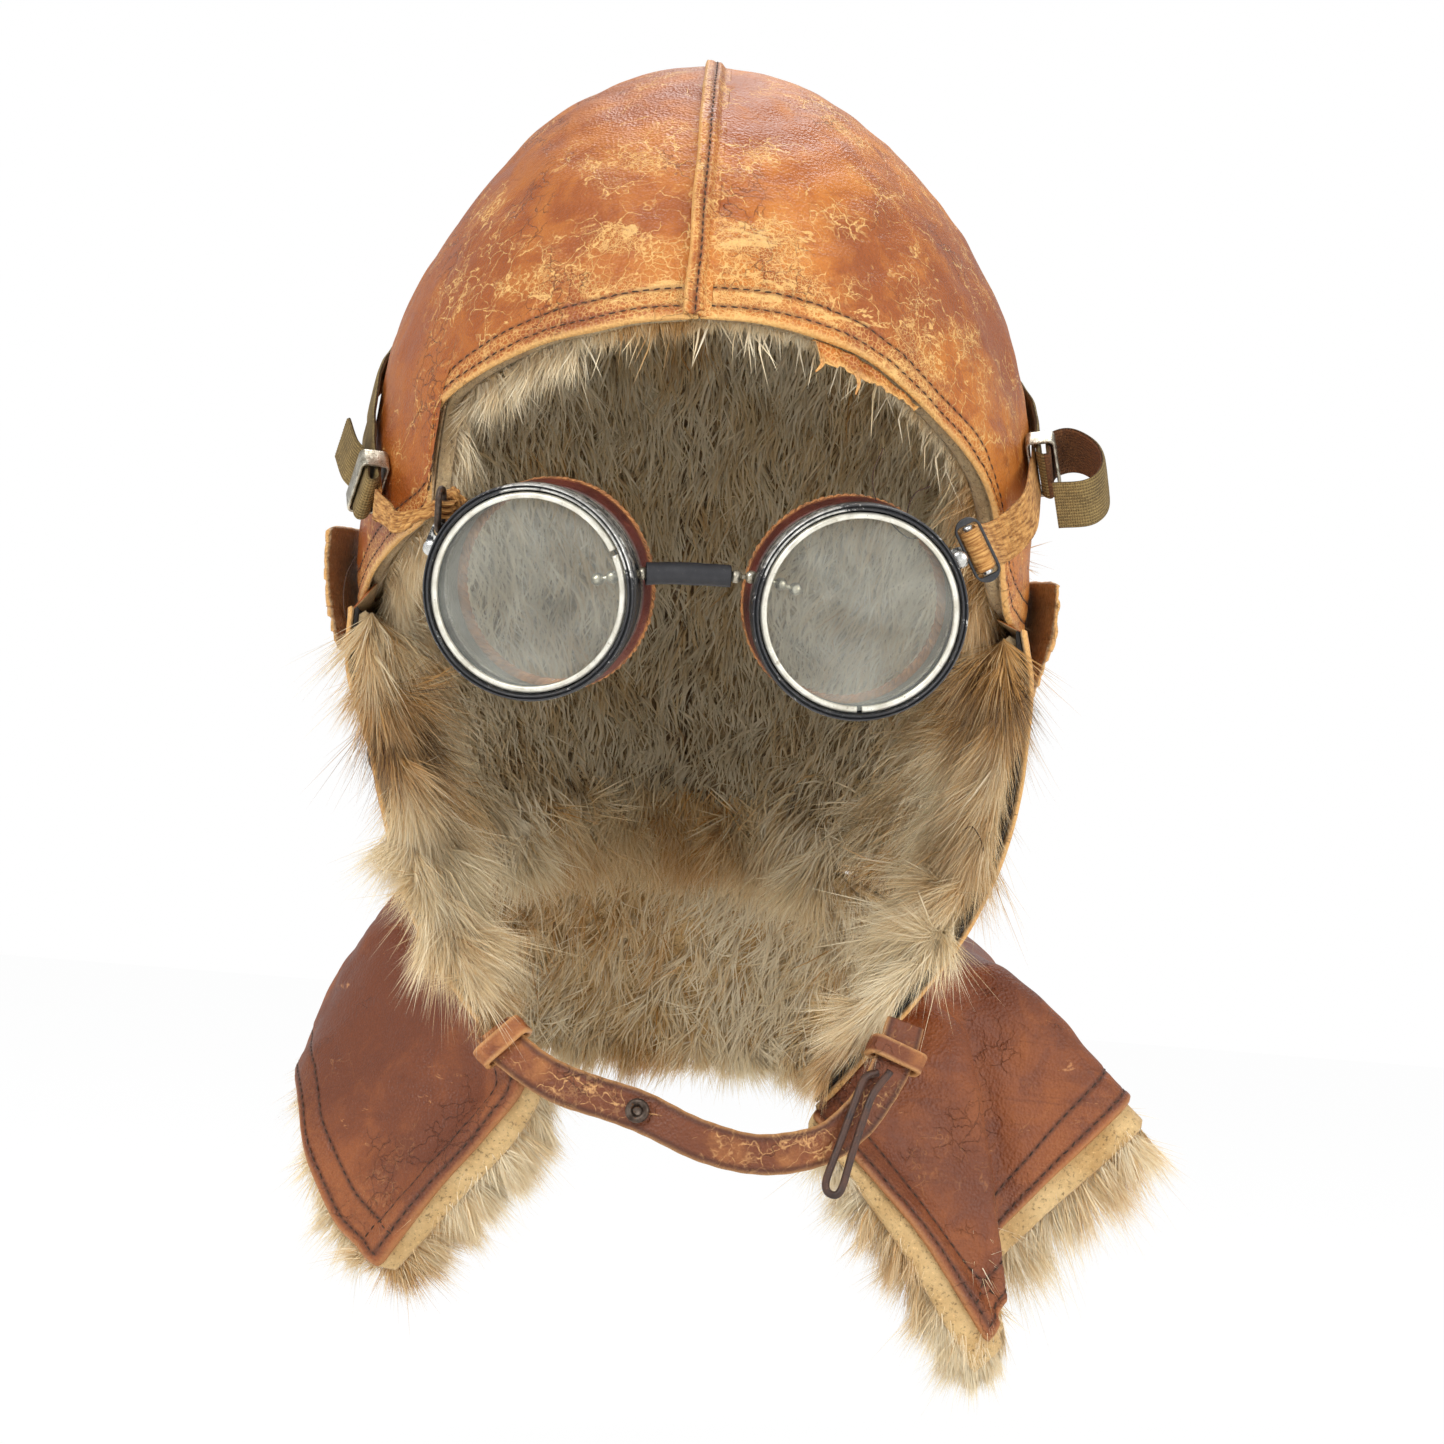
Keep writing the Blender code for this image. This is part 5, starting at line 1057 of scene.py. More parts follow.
finishes["furCoat"] = furFinish("furCoat")
finishes["suedeHide"] = suedeFinish("suedeHide", (0.74, 0.52, 0.25), (0.52, 0.31, 0.115))
finishes["furHide"] = suedeFinish("furHide", (0.62, 0.46, 0.25), (0.34, 0.21, 0.09), 0.0008)
# near-black nap, for the cheek backing and for the slit's painted shadow
finishes["blackBackingAndSlitShadow"] = suedeFinish("blackBackingAndSlitShadow", (0.022, 0.017, 0.013), (0.008, 0.006, 0.005), 0.0005)


def scatter(grid, weight, count):
    # places on a grid drawn in proportion to cell area times weight, with the two running directions
    # and a share along each way
    a = np.linalg.norm(np.cross(grid[1:, :-1] - grid[:-1, :-1], grid[:-1, 1:] - grid[:-1, :-1]), axis=2)
    chance = (a * weight[:-1, :-1]).ravel()
    cell = rng.choice(chance.size, count, p=chance / chance.sum())
    i, j = np.divmod(cell, a.shape[1])
    u, v = rng.random((2, count, 1))
    place = (grid[i, j] * (1 - u) + grid[i + 1, j] * u) * (1 - v) + (
        grid[i, j + 1] * (1 - u) + grid[i + 1, j + 1] * u
    ) * v
    along, down = (unit(np.gradient(grid, axis=k)[i, j]) for k in (0, 1))
    return place, along, down, (i + u[:, 0]) / (len(grid) - 1), (j + v[:, 0]) / (grid.shape[1] - 1), i, j


def heldUnder(centre, skin, skinAway, i, j, room):
    # each place is looked up on the panel by stepping from its root along the two running directions;
    # over the panel it lies no further out than "room" above the skin, past a free edge it is left alone
    along, down = np.gradient(skin, axis=0), np.gradient(skin, axis=1)
    a, b = np.repeat(i[:, None], 3, axis=1) + 0.0, np.repeat(j[:, None], 3, axis=1) + 0.0
    last = np.array(skin.shape[:2]) - 1
    for _ in range(4):
        ai, bi = np.clip(np.rint(a), 0, last[0]).astype(int), np.clip(np.rint(b), 0, last[1]).astype(int)
        move = centre - skin[ai, bi]
        a = ai + np.sum(move * along[ai, bi], axis=2) / np.sum(along[ai, bi] ** 2, axis=2)
        b = bi + np.sum(move * down[ai, bi], axis=2) / np.sum(down[ai, bi] ** 2, axis=2)
    ai, bi = np.clip(np.rint(a), 0, last[0]).astype(int), np.clip(np.rint(b), 0, last[1]).astype(int)
    over = np.sum((centre - skin[ai, bi]) * skinAway[ai, bi], axis=2) - room
    onPanel = (a > -0.6) & (a < last[0] + 0.6) & (b > -0.6) & (b < last[1] + 0.6)
    return centre - (np.clip(over, 0, None) * onPanel)[..., None] * skinAway[ai, bi]


def growFur(name, root, out, flow, length, width, coat, under=None, body="helmet"):
    # each strand is a tapering ribbon on the curve root + L * (out * (0.75t - 0.45t^2) + flow *
    # (0.35t + 0.75t^2)), with tufts pulled together
    count = len(root)
    t = np.array([0.0, 0.5, 1.0])
    wander = np.stack(
        [ripple(root, 0.012, 101, 2), ripple(root, 0.011, 102, 2), ripple(root, 0.013, 103, 2)], axis=1,
    ) * 0.36
    tuft = np.stack(
        [ripple(root, 0.0035, 111, 1), ripple(root, 0.0032, 112, 1), ripple(root, 0.0037, 113, 1)], axis=1,
    ) * 0.32
    flow = unit(flow + wander + tuft + rng.normal(0, 0.10, (count, 3)))
    out = out + rng.normal(0, 0.12, (count, 3))
    reach = length * np.exp(rng.normal(0, 0.16, count))
    lift = (0.75 * t - 0.45 * t**2)[None, :, None]
    lay = (0.35 * t + 0.75 * t**2)[None, :, None]
    curl = rng.normal(0, 0.10, (count, 1, 3)) * (t**2)[None, :, None]
    centre = root[:, None] + reach[:, None, None] * (out[:, None] * lift + flow[:, None] * lay + curl)
    # a stray hair that would reach far beyond the solids' box is left out
    low, high = np.array(packedBox[0]) - fur["stray"], np.array(packedBox[1]) + fur["stray"]
    kept = ((centre > low) & (centre < high)).all(axis=(1, 2))
    if under is not None:
        # strands that would still come through the leather, or that had to be pushed far, are left out
        first = heldUnder(centre, *under)
        second = heldUnder(first, *under)
        kept &= np.linalg.norm(second - first, axis=2).max(axis=1) < fur["stillOut"]
        kept &= np.linalg.norm(first - centre, axis=2).max(axis=1) < fur["pushedMost"]
        centre = second
    side = unit(np.cross(flow, out) + rng.normal(0, 0.5, (count, 3)))
    centre, side, width, coat = centre[kept], side[kept], width[kept], coat[kept]
    count = len(centre)
    half = (np.array([1.0, 0.85])[None, :, None] * width[:, None, None] / 2) * side[:, None]
    left, right = centre[:, :2] - half, centre[:, :2] + half
    points = np.concatenate([np.stack([left, right], axis=2).reshape(count, 4, 3), centre[:, 2:]], axis=1)
    one = np.array([(0, 1, 3), (0, 3, 2), (2, 3, 4)])
    faces = (one[None] + (np.arange(count) * 5)[:, None, None]).reshape(-1, 3)
    tip = np.broadcast_to(np.array([0, 0, 0.5, 0.5, 1.0]), (count, 5)).ravel()
    piece = meshPiece(
        name, points.reshape(-1, 3), faces, finishes["furCoat"], body, None,
        {"coat": np.repeat(coat, 5), "tip": tip},
    )
    return piece


def coatTone(place, base, seed, spread=0.16):
    # tone of the coat at each strand: a base share, slow patches of 25 mm, streaks of 4 mm and each
    # hair's own tone
    return np.clip(
        base + 0.20 * ripple(place, 0.05, seed, 2) + 0.10 * ripple(
            place, 0.008, seed + 1, 2,
        ) + rng.normal(0, spread, len(place)),
        0, 1,
    )


fur = {
    "cheekStrands": 32000, "cheekInner": 9000, "crownStrands": 28000, "crownInner": 18000,
    "capeStrands": 21000, "capeInner": 9000,
    "cheekLength": 0.0150, "crownLength": 0.0100, "capeLength": 0.0115, "width": 0.00019,
    "napeStrands": 12000,
    "stray": 0.0120, "stillOut": 0.0001, "pushedMost": 0.0022, "cheekRoom": 0.0030, "capeRoom": 0.0010,
    "cheekSkin": 0.0042, "crownSkin": 0.0046, "capeSkin": 0.0022,
    "napeLength": 0.0125, "cheekThick": 2.1, "crownThick": 3.2, "capeThick": 2.2, "napeThick": 2.3,
    "foldAt": 0.41, "foldHalf": 0.075, "foldFrom": 0.5, "foldTo": 0.93, "foldLength": 0.0016,
    "capeLeast": 0.0045,
}


def liningBase(name, grid, away, low, high, mat, node):
    # the hide under a coat: a layer between two depths below the leather
    piece = closedLayer(name, grid - away * low, grid - away * high, mat, "helmet", farFromEdges(grid))
    if node:
        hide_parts(node)
    return piece


def makeCheekFur():
    # hide and coat of each cheek: most strands stand near the front edge, by exp(-share / 0.16), the
    # rest inside
    for label, side in (("left", -1), ("right", 1)):
        grid, away, _ = cheeks[label]
        liningBase(
            "cheekBacking" + label.title(), grid[1::2, ::2], away[1::2, ::2], 0.0002, 0.0011,
            finishes["blackBackingAndSlitShadow"], None,
        )
        setBack = 2 if side < 0 else 6
        liningBase(
            "cheekHide" + label.title(), grid[setBack:-1:2, 2::2], away[setBack:-1:2, 2::2], 0.0013,
            fur["cheekSkin"], finishes["furHide"], "cheek_lining_" + label,
        )
        skin = (grid - away * fur["cheekSkin"])[setBack:, 1:-1]
        skinAway = away[setBack:, 1:-1]
        share = np.linspace(0, 1, len(skin))[:, None] * np.ones((1, skin.shape[1]))
        for part, count, weight in (
            ("Front", fur["cheekStrands"], np.exp(-share / 0.16)),
            ("Inner", fur["cheekInner"], np.ones_like(share)),
        ):
            place, along, down, u, v, i, j = scatter(skin, weight, count)
            out = -skinAway[i, j]
            front = np.exp(-u / 0.07)[:, None]
            toFree = -along
            # at the free edge the coat stands out of the front, and on the left it also
            # spills over the leather
            spill = np.array((0, -1.0, 0)) * 0.75 + (-out * (0.55 if side < 0 else -0.25))
            out = out * (1 - front) + (np.array((0, -1.0, -0.1)) + toFree * 0.3) * front
            flow = down * 1.0 + toFree * 0.25 * (1 - front) + spill * front * (0.9 if side < 0 else 0.5)
            length = fur["cheekLength"] * (1.0 - 0.35 * (u > 0.35)) * np.clip(
                1.15 - 0.5 * (v > 0.93), 0.4, 1.2,
            )
            # golden above and cream below on the left; a dark patch behind the right rim and cream below
            if side < 0:
                shade = 0.50 + 0.34 * np.clip((v - 0.25) / 0.4, 0, 1) - 0.30 * np.exp(
                    -((v - 0.30) / 0.06) ** 2
                )
            else:
                shade = 0.80 - 0.62 * np.exp(-((v - 0.14) / 0.13) ** 2)
            shade = shade - 0.5 * np.exp(-((v - 0.985) / 0.03) ** 2) + 0.15 * (part == "Inner")
            coat = coatTone(place, shade, 201 + side)
            growFur(
                "cheekFur%s%s" % (part, label.title()), place, out, flow, length,
                np.full(count, fur["width"] * (1 if part == "Front" else fur["cheekThick"])), coat,
                (skin, skinAway, i, j, fur["cheekRoom"]),
            )


def makeCrownFur():
    # hide and coat of each half of the crown: one share of the strands near the brow, by exp(-up /
    # 0.05), the rest inside
    for label, side in (("left", -1), ("right", 1)):
        grid, away, _ = crown[label]
        thin = grid[::2, ::2], away[::2, ::2]
        liningBase(
            "crownHide" + label.title(), thin[0][1:-1, 1:-1], thin[1][1:-1, 1:-1], 0.0006, fur["crownSkin"],
            finishes["furHide"], "crown_lining_" + label,
        )
        skin, skinAway = (grid - away * fur["crownSkin"])[:, 1:-3], away[:, 1:-3]
        up = np.linspace(0, 1, skin.shape[1])[None, :] * np.ones((len(skin), 1))
        roundShare = np.linspace(0, 1, len(skin))[:, None] * np.ones((1, skin.shape[1]))
        brow = np.exp(-up / 0.05) * (roundShare < 0.72)
        for part, count, weight in (
            ("Brow", fur["crownStrands"] // 2, brow),
            ("Inner", fur["crownInner"], 0.25 + 1.0 * (roundShare > 0.45)),
        ):
            place, _, down, u, _, i, j = scatter(skin, weight, count)
            out = -skinAway[i, j]
            flow = -down * 0.8 + rng.normal(0, 0.15, (count, 3)) - np.array((0, 0, 0.5))
            # full on the left, worn off on the right brow and thick again at the right temple
            bare = 0.35 + 0.65 * (u > 0.1) if side < 0 else np.where(u < 0.30, 0.25, 1.15)
            length = fur["crownLength"] * (bare if part == "Brow" else 1.0)
            temple = 0.55 * np.exp(
                -(((u - 0.42) / 0.10) ** 2)
            ) * (side > 0) + 0.30 * np.exp(-(((u - 0.36) / 0.05) ** 2)) * (side < 0)
            coat = coatTone(place, 0.84 - temple if part == "Brow" else 0.97, 231 + side, 0.12)
            growFur(
                "crownFur%s%s" % (part, label.title()), place, out, flow, length * np.ones(count),
                np.full(count, fur["width"] * (1.0 if part == "Brow" else fur["crownThick"])), coat,
            )


def makeCapeFur():
    # hide, suede band and coat of each part of the cape: the band hangs below the hem by a share read
    # from a table
    for label in ("Left", "Right", "Back"):
        grid, away, first, _ = cape[label]
        keys = panels["fur" + label]
        hang = smoothLine(np.array(keys)[:, None], len(grid)) * 2
        step = grid[:, -1] - grid[:, -16]
        below = grid[:, -1] + step * hang
        bandFirst = first // 2 if first else 0
        extra = [
            grid[:, -1] + (below - grid[:, -1]) * s * (
                0.45 if label == "Right" else 0.2
            ) for s in (0.34, 0.67, 1.0)
        ]
        wide = np.concatenate([grid, np.stack(extra, axis=1)], axis=1)
        wideAway = np.concatenate([away, np.repeat(away[:, -1:], 3, axis=1)], axis=1)
        inside = slice(bandFirst, None)
        liningBase(
            "capeHide" + label, wide[inside][::2, ::2][:-1], wideAway[inside][::2, ::2][:-1], 0.0005,
            fur["capeSkin"], finishes["suedeHide"], "cape_lining_" + label.lower(),
        )
        skin, skinAway = (wide - wideAway * fur["capeSkin"])[inside], wideAway[inside]
        across = np.linspace(0, 1, len(skin))[:, None] * np.ones((1, skin.shape[1]))
        low = np.linspace(0, 1, skin.shape[1])[None, :] * np.ones((len(skin), 1))
        rim = np.exp(-across / 0.02) * (label != "Back") * 1.6 + np.exp(-(1 - low) / 0.02) * 1.2
        for part, count, weight in (
            ("Rim", fur["capeStrands"], rim), ("Inner", fur["capeInner"], np.ones_like(low)),
        ):
            place, along, down, u, v, i, j = scatter(skin, weight, count)
            out = -skinAway[i, j]
            atFront = np.exp(-u / 0.03)[:, None] * (label != "Back")
            atLow = np.exp(-(1 - v) / 0.03)[:, None]
            flow = down * (0.7 + atLow) - along * (0.2 + 1.3 * atFront)
            out = out * (1 - 0.75 * np.maximum(atFront, atLow)) - along * 0.5 * atFront + down * 0.5 * atLow
            hangHere = np.interp(u, np.linspace(0, 1, len(hang[bandFirst:])), hang[bandFirst:, 0])
            length = fur["capeLength"] * np.where(atLow[:, 0] > 0.3, 0.35 + 0.75 * hangHere / 1.4, 0.85)
            length = np.maximum(length, fur["capeLeast"])
            if label == "Right":
                # inside the narrow fold of the point the fur is pressed flat, so its
                # strands are short there
                folded = (
                    np.abs(u - fur["foldAt"]) < fur["foldHalf"]
                ) & (v > fur["foldFrom"]) & (v < fur["foldTo"])
                length = np.where(folded, fur["foldLength"], length)
            coat = coatTone(place, 0.78 if part == "Rim" else 0.92, 261)
            growFur(
                "capeFur%s%s" % (part, label), place, out, flow, length,
                np.full(count, fur["width"] * (1 if part == "Rim" else fur["capeThick"])), coat,
                (skin, skinAway, i, j, fur["capeRoom"]),
            )


def makeNapeFur():
    # strands rooted along the neck seam behind, hanging over the join of the two linings
    line = napeSeam(cheeks, crown)
    at = rng.random(fur["napeStrands"]) * (len(line) - 1)
    place = readOff(at, np.arange(len(line)), line)
    away = unit(place * (1, 1, 0))
    rise = rng.normal(0.002, 0.0035, len(place))[:, None]
    place = place - away * (0.0050 + 0.0012 * rng.random((len(place), 1))) + rise * (0, 0, 1.0)
    flow = np.array((0.0, 0, -1.0)) - away * 0.25 + rng.normal(0, 0.15, place.shape)
    growFur(
        "napeFur", place, -away, flow, np.full(len(place), fur["napeLength"]),
        np.full(len(place), fur["width"] * fur["napeThick"]), coatTone(place, 0.95, 271, 0.10),
    )


makeCheekFur()
makeNapeFur()
makeCrownFur()
makeCapeFur()
print("fur grown")


def roundOff(corners, radius, steps=4, closed=True):
    # each corner P becomes the curve (1-t)^2 A + 2t(1-t) P + t^2 B, with A and B a radius away along
    # its two sides
    corners = np.asarray(corners, float)
    before, after = np.roll(corners, 1, axis=0), np.roll(corners, -1, axis=0)
    toBefore, toAfter = before - corners, after - corners
    reachBefore = np.linalg.norm(toBefore, axis=1, keepdims=True)
    reachAfter = np.linalg.norm(toAfter, axis=1, keepdims=True)
    near = corners + toBefore / reachBefore * np.minimum(radius, reachBefore * 0.45)
    far = corners + toAfter / reachAfter * np.minimum(radius, reachAfter * 0.45)
    t = np.linspace(0, 1, steps)[None, :, None]
    curve = (1 - t) ** 2 * near[:, None] + 2 * t * (1 - t) * corners[:, None] + t**2 * far[:, None]
    if closed:
        return curve.reshape(-1, 2)
    return np.concatenate([corners[:1], curve[1:-1].reshape(-1, 2), corners[-1:]])


def loopFaces(count, sides, closed):
    # quads between rings of points, and a ladder of quads over each end where the path is open
    i = np.arange(count if closed else count - 1)[:, None]
    j = np.arange(sides)[None, :]
    n, k = (i + 1) % count, (j + 1) % sides
    faces = np.stack([i * sides + j, n * sides + j, n * sides + k, i * sides + k], axis=-1).reshape(-1, 4)
    if closed:
        return faces
    rung = np.arange(sides // 2 - 1)
    ladder = np.stack([rung, rung + 1, sides - rung - 2, sides - rung - 1], axis=1)
    return np.concatenate([faces, ladder, ladder[:, ::-1] + (count - 1) * sides])


def outwards(points, faces):
    # the sum over the faces of a . (b x c) is positive where they look outwards
    a, b, c, d = (points[faces[:, k]] for k in range(4))
    volume = np.sum(a * np.cross(b, c)) + np.sum(a * np.cross(c, d))
    return faces if volume > 0 else faces[:, ::-1]


def loopPiece(name, rings, mat, body, closed=False, values=None):
    # one closed surface through rings of points; the UV map runs along the path and round the
    # section, in metres
    count, sides = rings.shape[:2]
    points = rings.reshape(-1, 3)
    faces = outwards(points - points.mean(axis=0), loopFaces(count, sides, closed))
    return meshPiece(name, points, faces, mat, body, uvOf(rings).reshape(-1, 2), values)


def carried(path, outward, section, closed=False):
    # a section of (sideways, outwards) places at each point of a path: p + s * side + o * out, side =
    # ahead x outward
    path, outward = np.asarray(path, float), np.asarray(outward, float)
    ahead = np.roll(path, -1, axis=0) - np.roll(path, 1, axis=0) if closed else np.gradient(path, axis=0)
    side = np.cross(ahead, outward)
    side = unit(side)
    out = np.cross(side, ahead)
    out = unit(out)
    section = np.broadcast_to(section, (len(path),) + np.shape(section)[-2:])
    return path[:, None] + side[:, None] * section[..., :1] + out[:, None] * section[..., 1:]


def turnedRings(profile, place, axes, steps):
    # place + r cos(t) X + r sin(t) Y + z Z for each (r, z) of the outline, t once round
    turn = np.linspace(0, 2 * math.pi, steps, endpoint=False)[:, None]
    profile = np.asarray(profile, float)
    x, y, z = np.asarray(axes, float)
    r, along = profile[None, :, 0], profile[None, :, 1]
    return place + (
        r * np.cos(turn)
    )[..., None] * x + (r * np.sin(turn))[..., None] * y + (along + 0 * turn)[..., None] * z


goggles = {
    # middle of the front, and the world-space directions of its own left, up and back
    "left": {
        "place": (-0.03511, -0.11003, -0.00325),
        "axes": ((-0.97398, 0.22662, 0.0), (-0.02719, -0.11687, 0.99277), (0.22499, 0.96694, 0.11999)),
        "temple": 1, "wornFrom": 70, "wornTo": 165, "ringGap": 152,
    },
    "right": {
        "place": (0.04343, -0.11003, -0.00186),
        "axes": ((-0.99015, -0.14001, 0.0), (0.0168, -0.11882, 0.99277), (-0.139, 0.983, 0.12)),
        "temple": -1, "wornFrom": 20, "wornTo": 75, "ringGap": 265,
    },
    # outlines as (radius, back from the front), in millimetres
    "bezel": (
        (24.1, 5.2), (24.1, 1.1), (24.25, 0.25), (24.55, 0.0), (24.78, 0.32), (24.90, 0.78), (25.06, 0.62),
        (25.32, 0.24),
        (25.60, 0.52), (25.75, 1.10), (25.69, 1.75), (25.52, 2.1), (25.52, 2.35), (25.70, 2.65),
        (25.75, 3.2), (25.75, 5.2),
    ),
    "lensRing": ((22.2, 0.55), (22.55, 0.3), (23.2, 0.32), (23.7, 0.8), (23.7, 1.8), (22.2, 1.8)),
    "lens": ((0.0, 2.1), (23.1, 2.1), (23.4, 2.3), (23.4, 3.9), (23.1, 4.1), (0.0, 4.1)),
    "body": (
        (22.2, 4.4), (23.7, 4.4), (23.7, 5.5), (24.75, 5.5), (24.75, 6.6), (24.5, 6.9), (24.5, 7.7),
        (24.75, 8.0), (24.75, 10.2),
        (24.55, 10.5), (24.75, 10.9), (24.75, 11.7), (23.15, 11.7), (23.15, 6.3), (22.2, 5.5),
    ),
    "gauzeFrom": 12.0, "gauzeDepth": 3.0, "gauzeRadius": 23.65, "gauzeWire": 0.14, "gauzeWires": 216,
    "gauzeHoops": 5,
    "cupFrom": 15.3, "cupInner": 23.15, "cupWall": 1.4, "cupFlare": 0.8, "cupNose": 4.5, "cupTemple": 12.0,
    "cordRadius": 1.6, "cordPlies": 3, "cordTurns": 27,
}


def localPlace(label, radius, degrees, along, temple=True):
    # a place given by radius, angle above level on the temple or nose side, and depth behind the front
    eye = goggles[label]
    side = eye["temple"] * (1 if temple else -1)
    turn = math.radians(degrees)
    steps = np.array((side * radius * math.cos(turn), radius * math.sin(turn), along))
    return np.array(eye["place"]) + steps @ np.array(eye["axes"])


def paintFinish():
    # black paint that has chipped to silver where the attribute "worn" and fine noise are both high
    mat, tree, shader = newMaterial("chippedBlack")
    worn = value(tree, "worn")
    chips = noise(tree, 420, 6, 0.72, warp=0.8)
    fine = noise(tree, 1900, 4, 0.7)
    level = plus(tree, times(tree, chips, 0.75), times(tree, fine, 0.30))
    limit = maths(tree, "SUBTRACT", 0.80, times(tree, worn, 0.36))
    bare = ramp(tree, maths(tree, "SUBTRACT", level, limit), 0.0, 0.022)
    paint = tint(tree, ramp(tree, fine, 0.35, 0.7), (0.010, 0.010, 0.012), (0.040, 0.040, 0.043))
    dust = ramp(tree, noise(tree, 130, 5, 0.65), 0.50, 0.70, 0.0, 0.35)
    paint = tint(tree, dust, paint, (0.085, 0.080, 0.072))
    silver = tint(tree, ramp(tree, chips, 0.45, 0.7), (0.46, 0.45, 0.42), (0.86, 0.85, 0.80))
    tree.links.new(tint(tree, bare, paint, silver), shader.inputs["Base Color"])
    tree.links.new(ramp(tree, bare, 0.0, 1.0, 0.0, 0.85), shader.inputs["Metallic"])
    tree.links.new(ramp(tree, fine, 0.3, 0.7, 0.30, 0.52), shader.inputs["Roughness"])
    relief(tree, shader, [(bare, -0.00010), (chips, 0.00010)])
    return mat


def metalFinish(
    name, dark, pale, rough, spots=(0.10, 0.07, 0.045), spotShare=0.64, scale=300, metallic=0.9,
):
    # two tones of tarnish, darker spots, and fine scratches along the piece
    mat, tree, shader = newMaterial(name)
    slow = noise(tree, scale, 5, 0.6)
    fine = noise(tree, scale * 7, 3, 0.6)
    tone = tint(tree, ramp(tree, slow, 0.36, 0.64), dark, pale)
    tone = tint(
        tree, ramp(tree, noise(tree, scale * 2.2, 4, 0.7), spotShare, spotShare + 0.06, 0.0, 0.7), tone,
        spots,
    )
    tree.links.new(tone, shader.inputs["Base Color"])
    shader.inputs["Metallic"].default_value = metallic
    tree.links.new(ramp(tree, fine, 0.3, 0.7, rough - 0.08, rough + 0.14), shader.inputs["Roughness"])
    relief(tree, shader, [(fine, 0.00004), (slow, 0.00012)])
    return mat


def glassFinish():
    # clear glass under a thin pale film, thicker in slow patches, with fine scratches and specks
    mat, tree, shader = newMaterial("hazyGlass")
    shader.inputs["Base Color"].default_value = (0.97, 0.985, 0.965, 1)
    shader.inputs["Transmission Weight"].default_value = 1.0
    shader.inputs["IOR"].default_value = 1.2
    shader.inputs["Roughness"].default_value = 0.03
    film = addNode(tree, "ShaderNodeBsdfDiffuse")
    film.inputs["Color"].default_value = (0.70, 0.71, 0.64, 1)
    slow = ramp(tree, noise(tree, 55, 5, 0.6, warp=0.5), 0.32, 0.68, 0.05, 0.15)
    lines = ramp(tree, noise(tree, 160, 4, 0.7, stretch=(7.0, 1.0, 0.7), warp=0.3), 0.68, 0.73, 0.0, 0.10)
    specks = ramp(tree, noise(tree, 1500, 2, 0.5), 0.74, 0.79, 0.0, 0.5)
    share = plus(tree, plus(tree, slow, lines), specks)
    # light passes straight through to what is behind, as it does through thin glass
    clear = addNode(tree, "ShaderNodeBsdfTransparent", Color=(0.95, 0.96, 0.94, 1))
    path = addNode(tree, "ShaderNodeLightPath")
    passing = addNode(tree, "ShaderNodeMixShader")
    mixTo(tree, share, shader.outputs[0], film.outputs[0], passing.inputs[1])
    tree.links.new(path.outputs["Is Shadow Ray"], passing.inputs[0])
    tree.links.new(clear.outputs[0], passing.inputs[2])
    tree.links.new(passing.outputs[0], tree.nodes["Material Output"].inputs["Surface"])
    return mat


def cupFinish():
    # oxblood hide outside, grey-brown felt where the attribute "lined" is 1
    mat, tree, shader = newMaterial("oxbloodHide")
    slow, mid, fine = noise(tree, 70, 5, 0.6), noise(tree, 420, 5, 0.65), noise(tree, 2400, 4, 0.7)
    hide = tint(tree, ramp(tree, slow, 0.35, 0.65), (0.052, 0.010, 0.009), (0.135, 0.026, 0.018))
    hide = tint(tree, ramp(tree, mid, 0.58, 0.72, 0.0, 0.6), hide, (0.27, 0.075, 0.035))
    edge = ramp(tree, value(tree, "edge"), 0.0012, 0.0002, 0.0, 0.75)
    hide = tint(tree, times(tree, edge, ramp(tree, mid, 0.35, 0.6)), hide, (0.42, 0.15, 0.055))
    felt = tint(tree, ramp(tree, fine, 0.38, 0.62), (0.060, 0.045, 0.036), (0.25, 0.215, 0.165))
    felt = tint(tree, ramp(tree, mid, 0.60, 0.68, 0.0, 0.7), felt, (0.020, 0.014, 0.014))
    lined = value(tree, "lined")
    tree.links.new(tint(tree, lined, hide, felt), shader.inputs["Base Color"])
    rough = plus(tree, ramp(tree, mid, 0.3, 0.7, 0.28, 0.48), times(tree, lined, 0.45))
    tree.links.new(rough, shader.inputs["Roughness"])
    relief(tree, shader, [(mid, 0.00030), (cells(tree, 1500, "F1"), 0.00010), (fine, 0.00012)])
    return mat


def cordFinish():
    # fibres along each ply from its own UV map, orange where the nap is raised, and painted shade in the
    # hollows between fibres
    mat, tree, shader = newMaterial("twistedCord")
    along = addNode(tree, "ShaderNodeUVMap", uv_map="along").outputs[0]
    strands = noise(tree, 2600, 4, 0.65, place=along, stretch=(0.35, 1.4, 1.0))
    slow = noise(tree, 210, 5, 0.7)
    tone = tint(tree, ramp(tree, slow, 0.36, 0.62), (0.115, 0.030, 0.014), (0.46, 0.165, 0.045))
    tone = tint(tree, ramp(tree, strands, 0.42, 0.62, 0.0, 0.8), tone, (0.70, 0.34, 0.12))
    # painted shade: near black where the fibre noise is low, in the hollows between fibres
    tone = tint(tree, ramp(tree, strands, 0.46, 0.34, 0.0, 0.85), tone, (0.045, 0.014, 0.010))
    tree.links.new(tone, shader.inputs["Base Color"])
    shader.inputs["Roughness"].default_value = 0.85
    relief(tree, shader, [(strands, 0.00030), (slow, 0.00020)])
    return mat


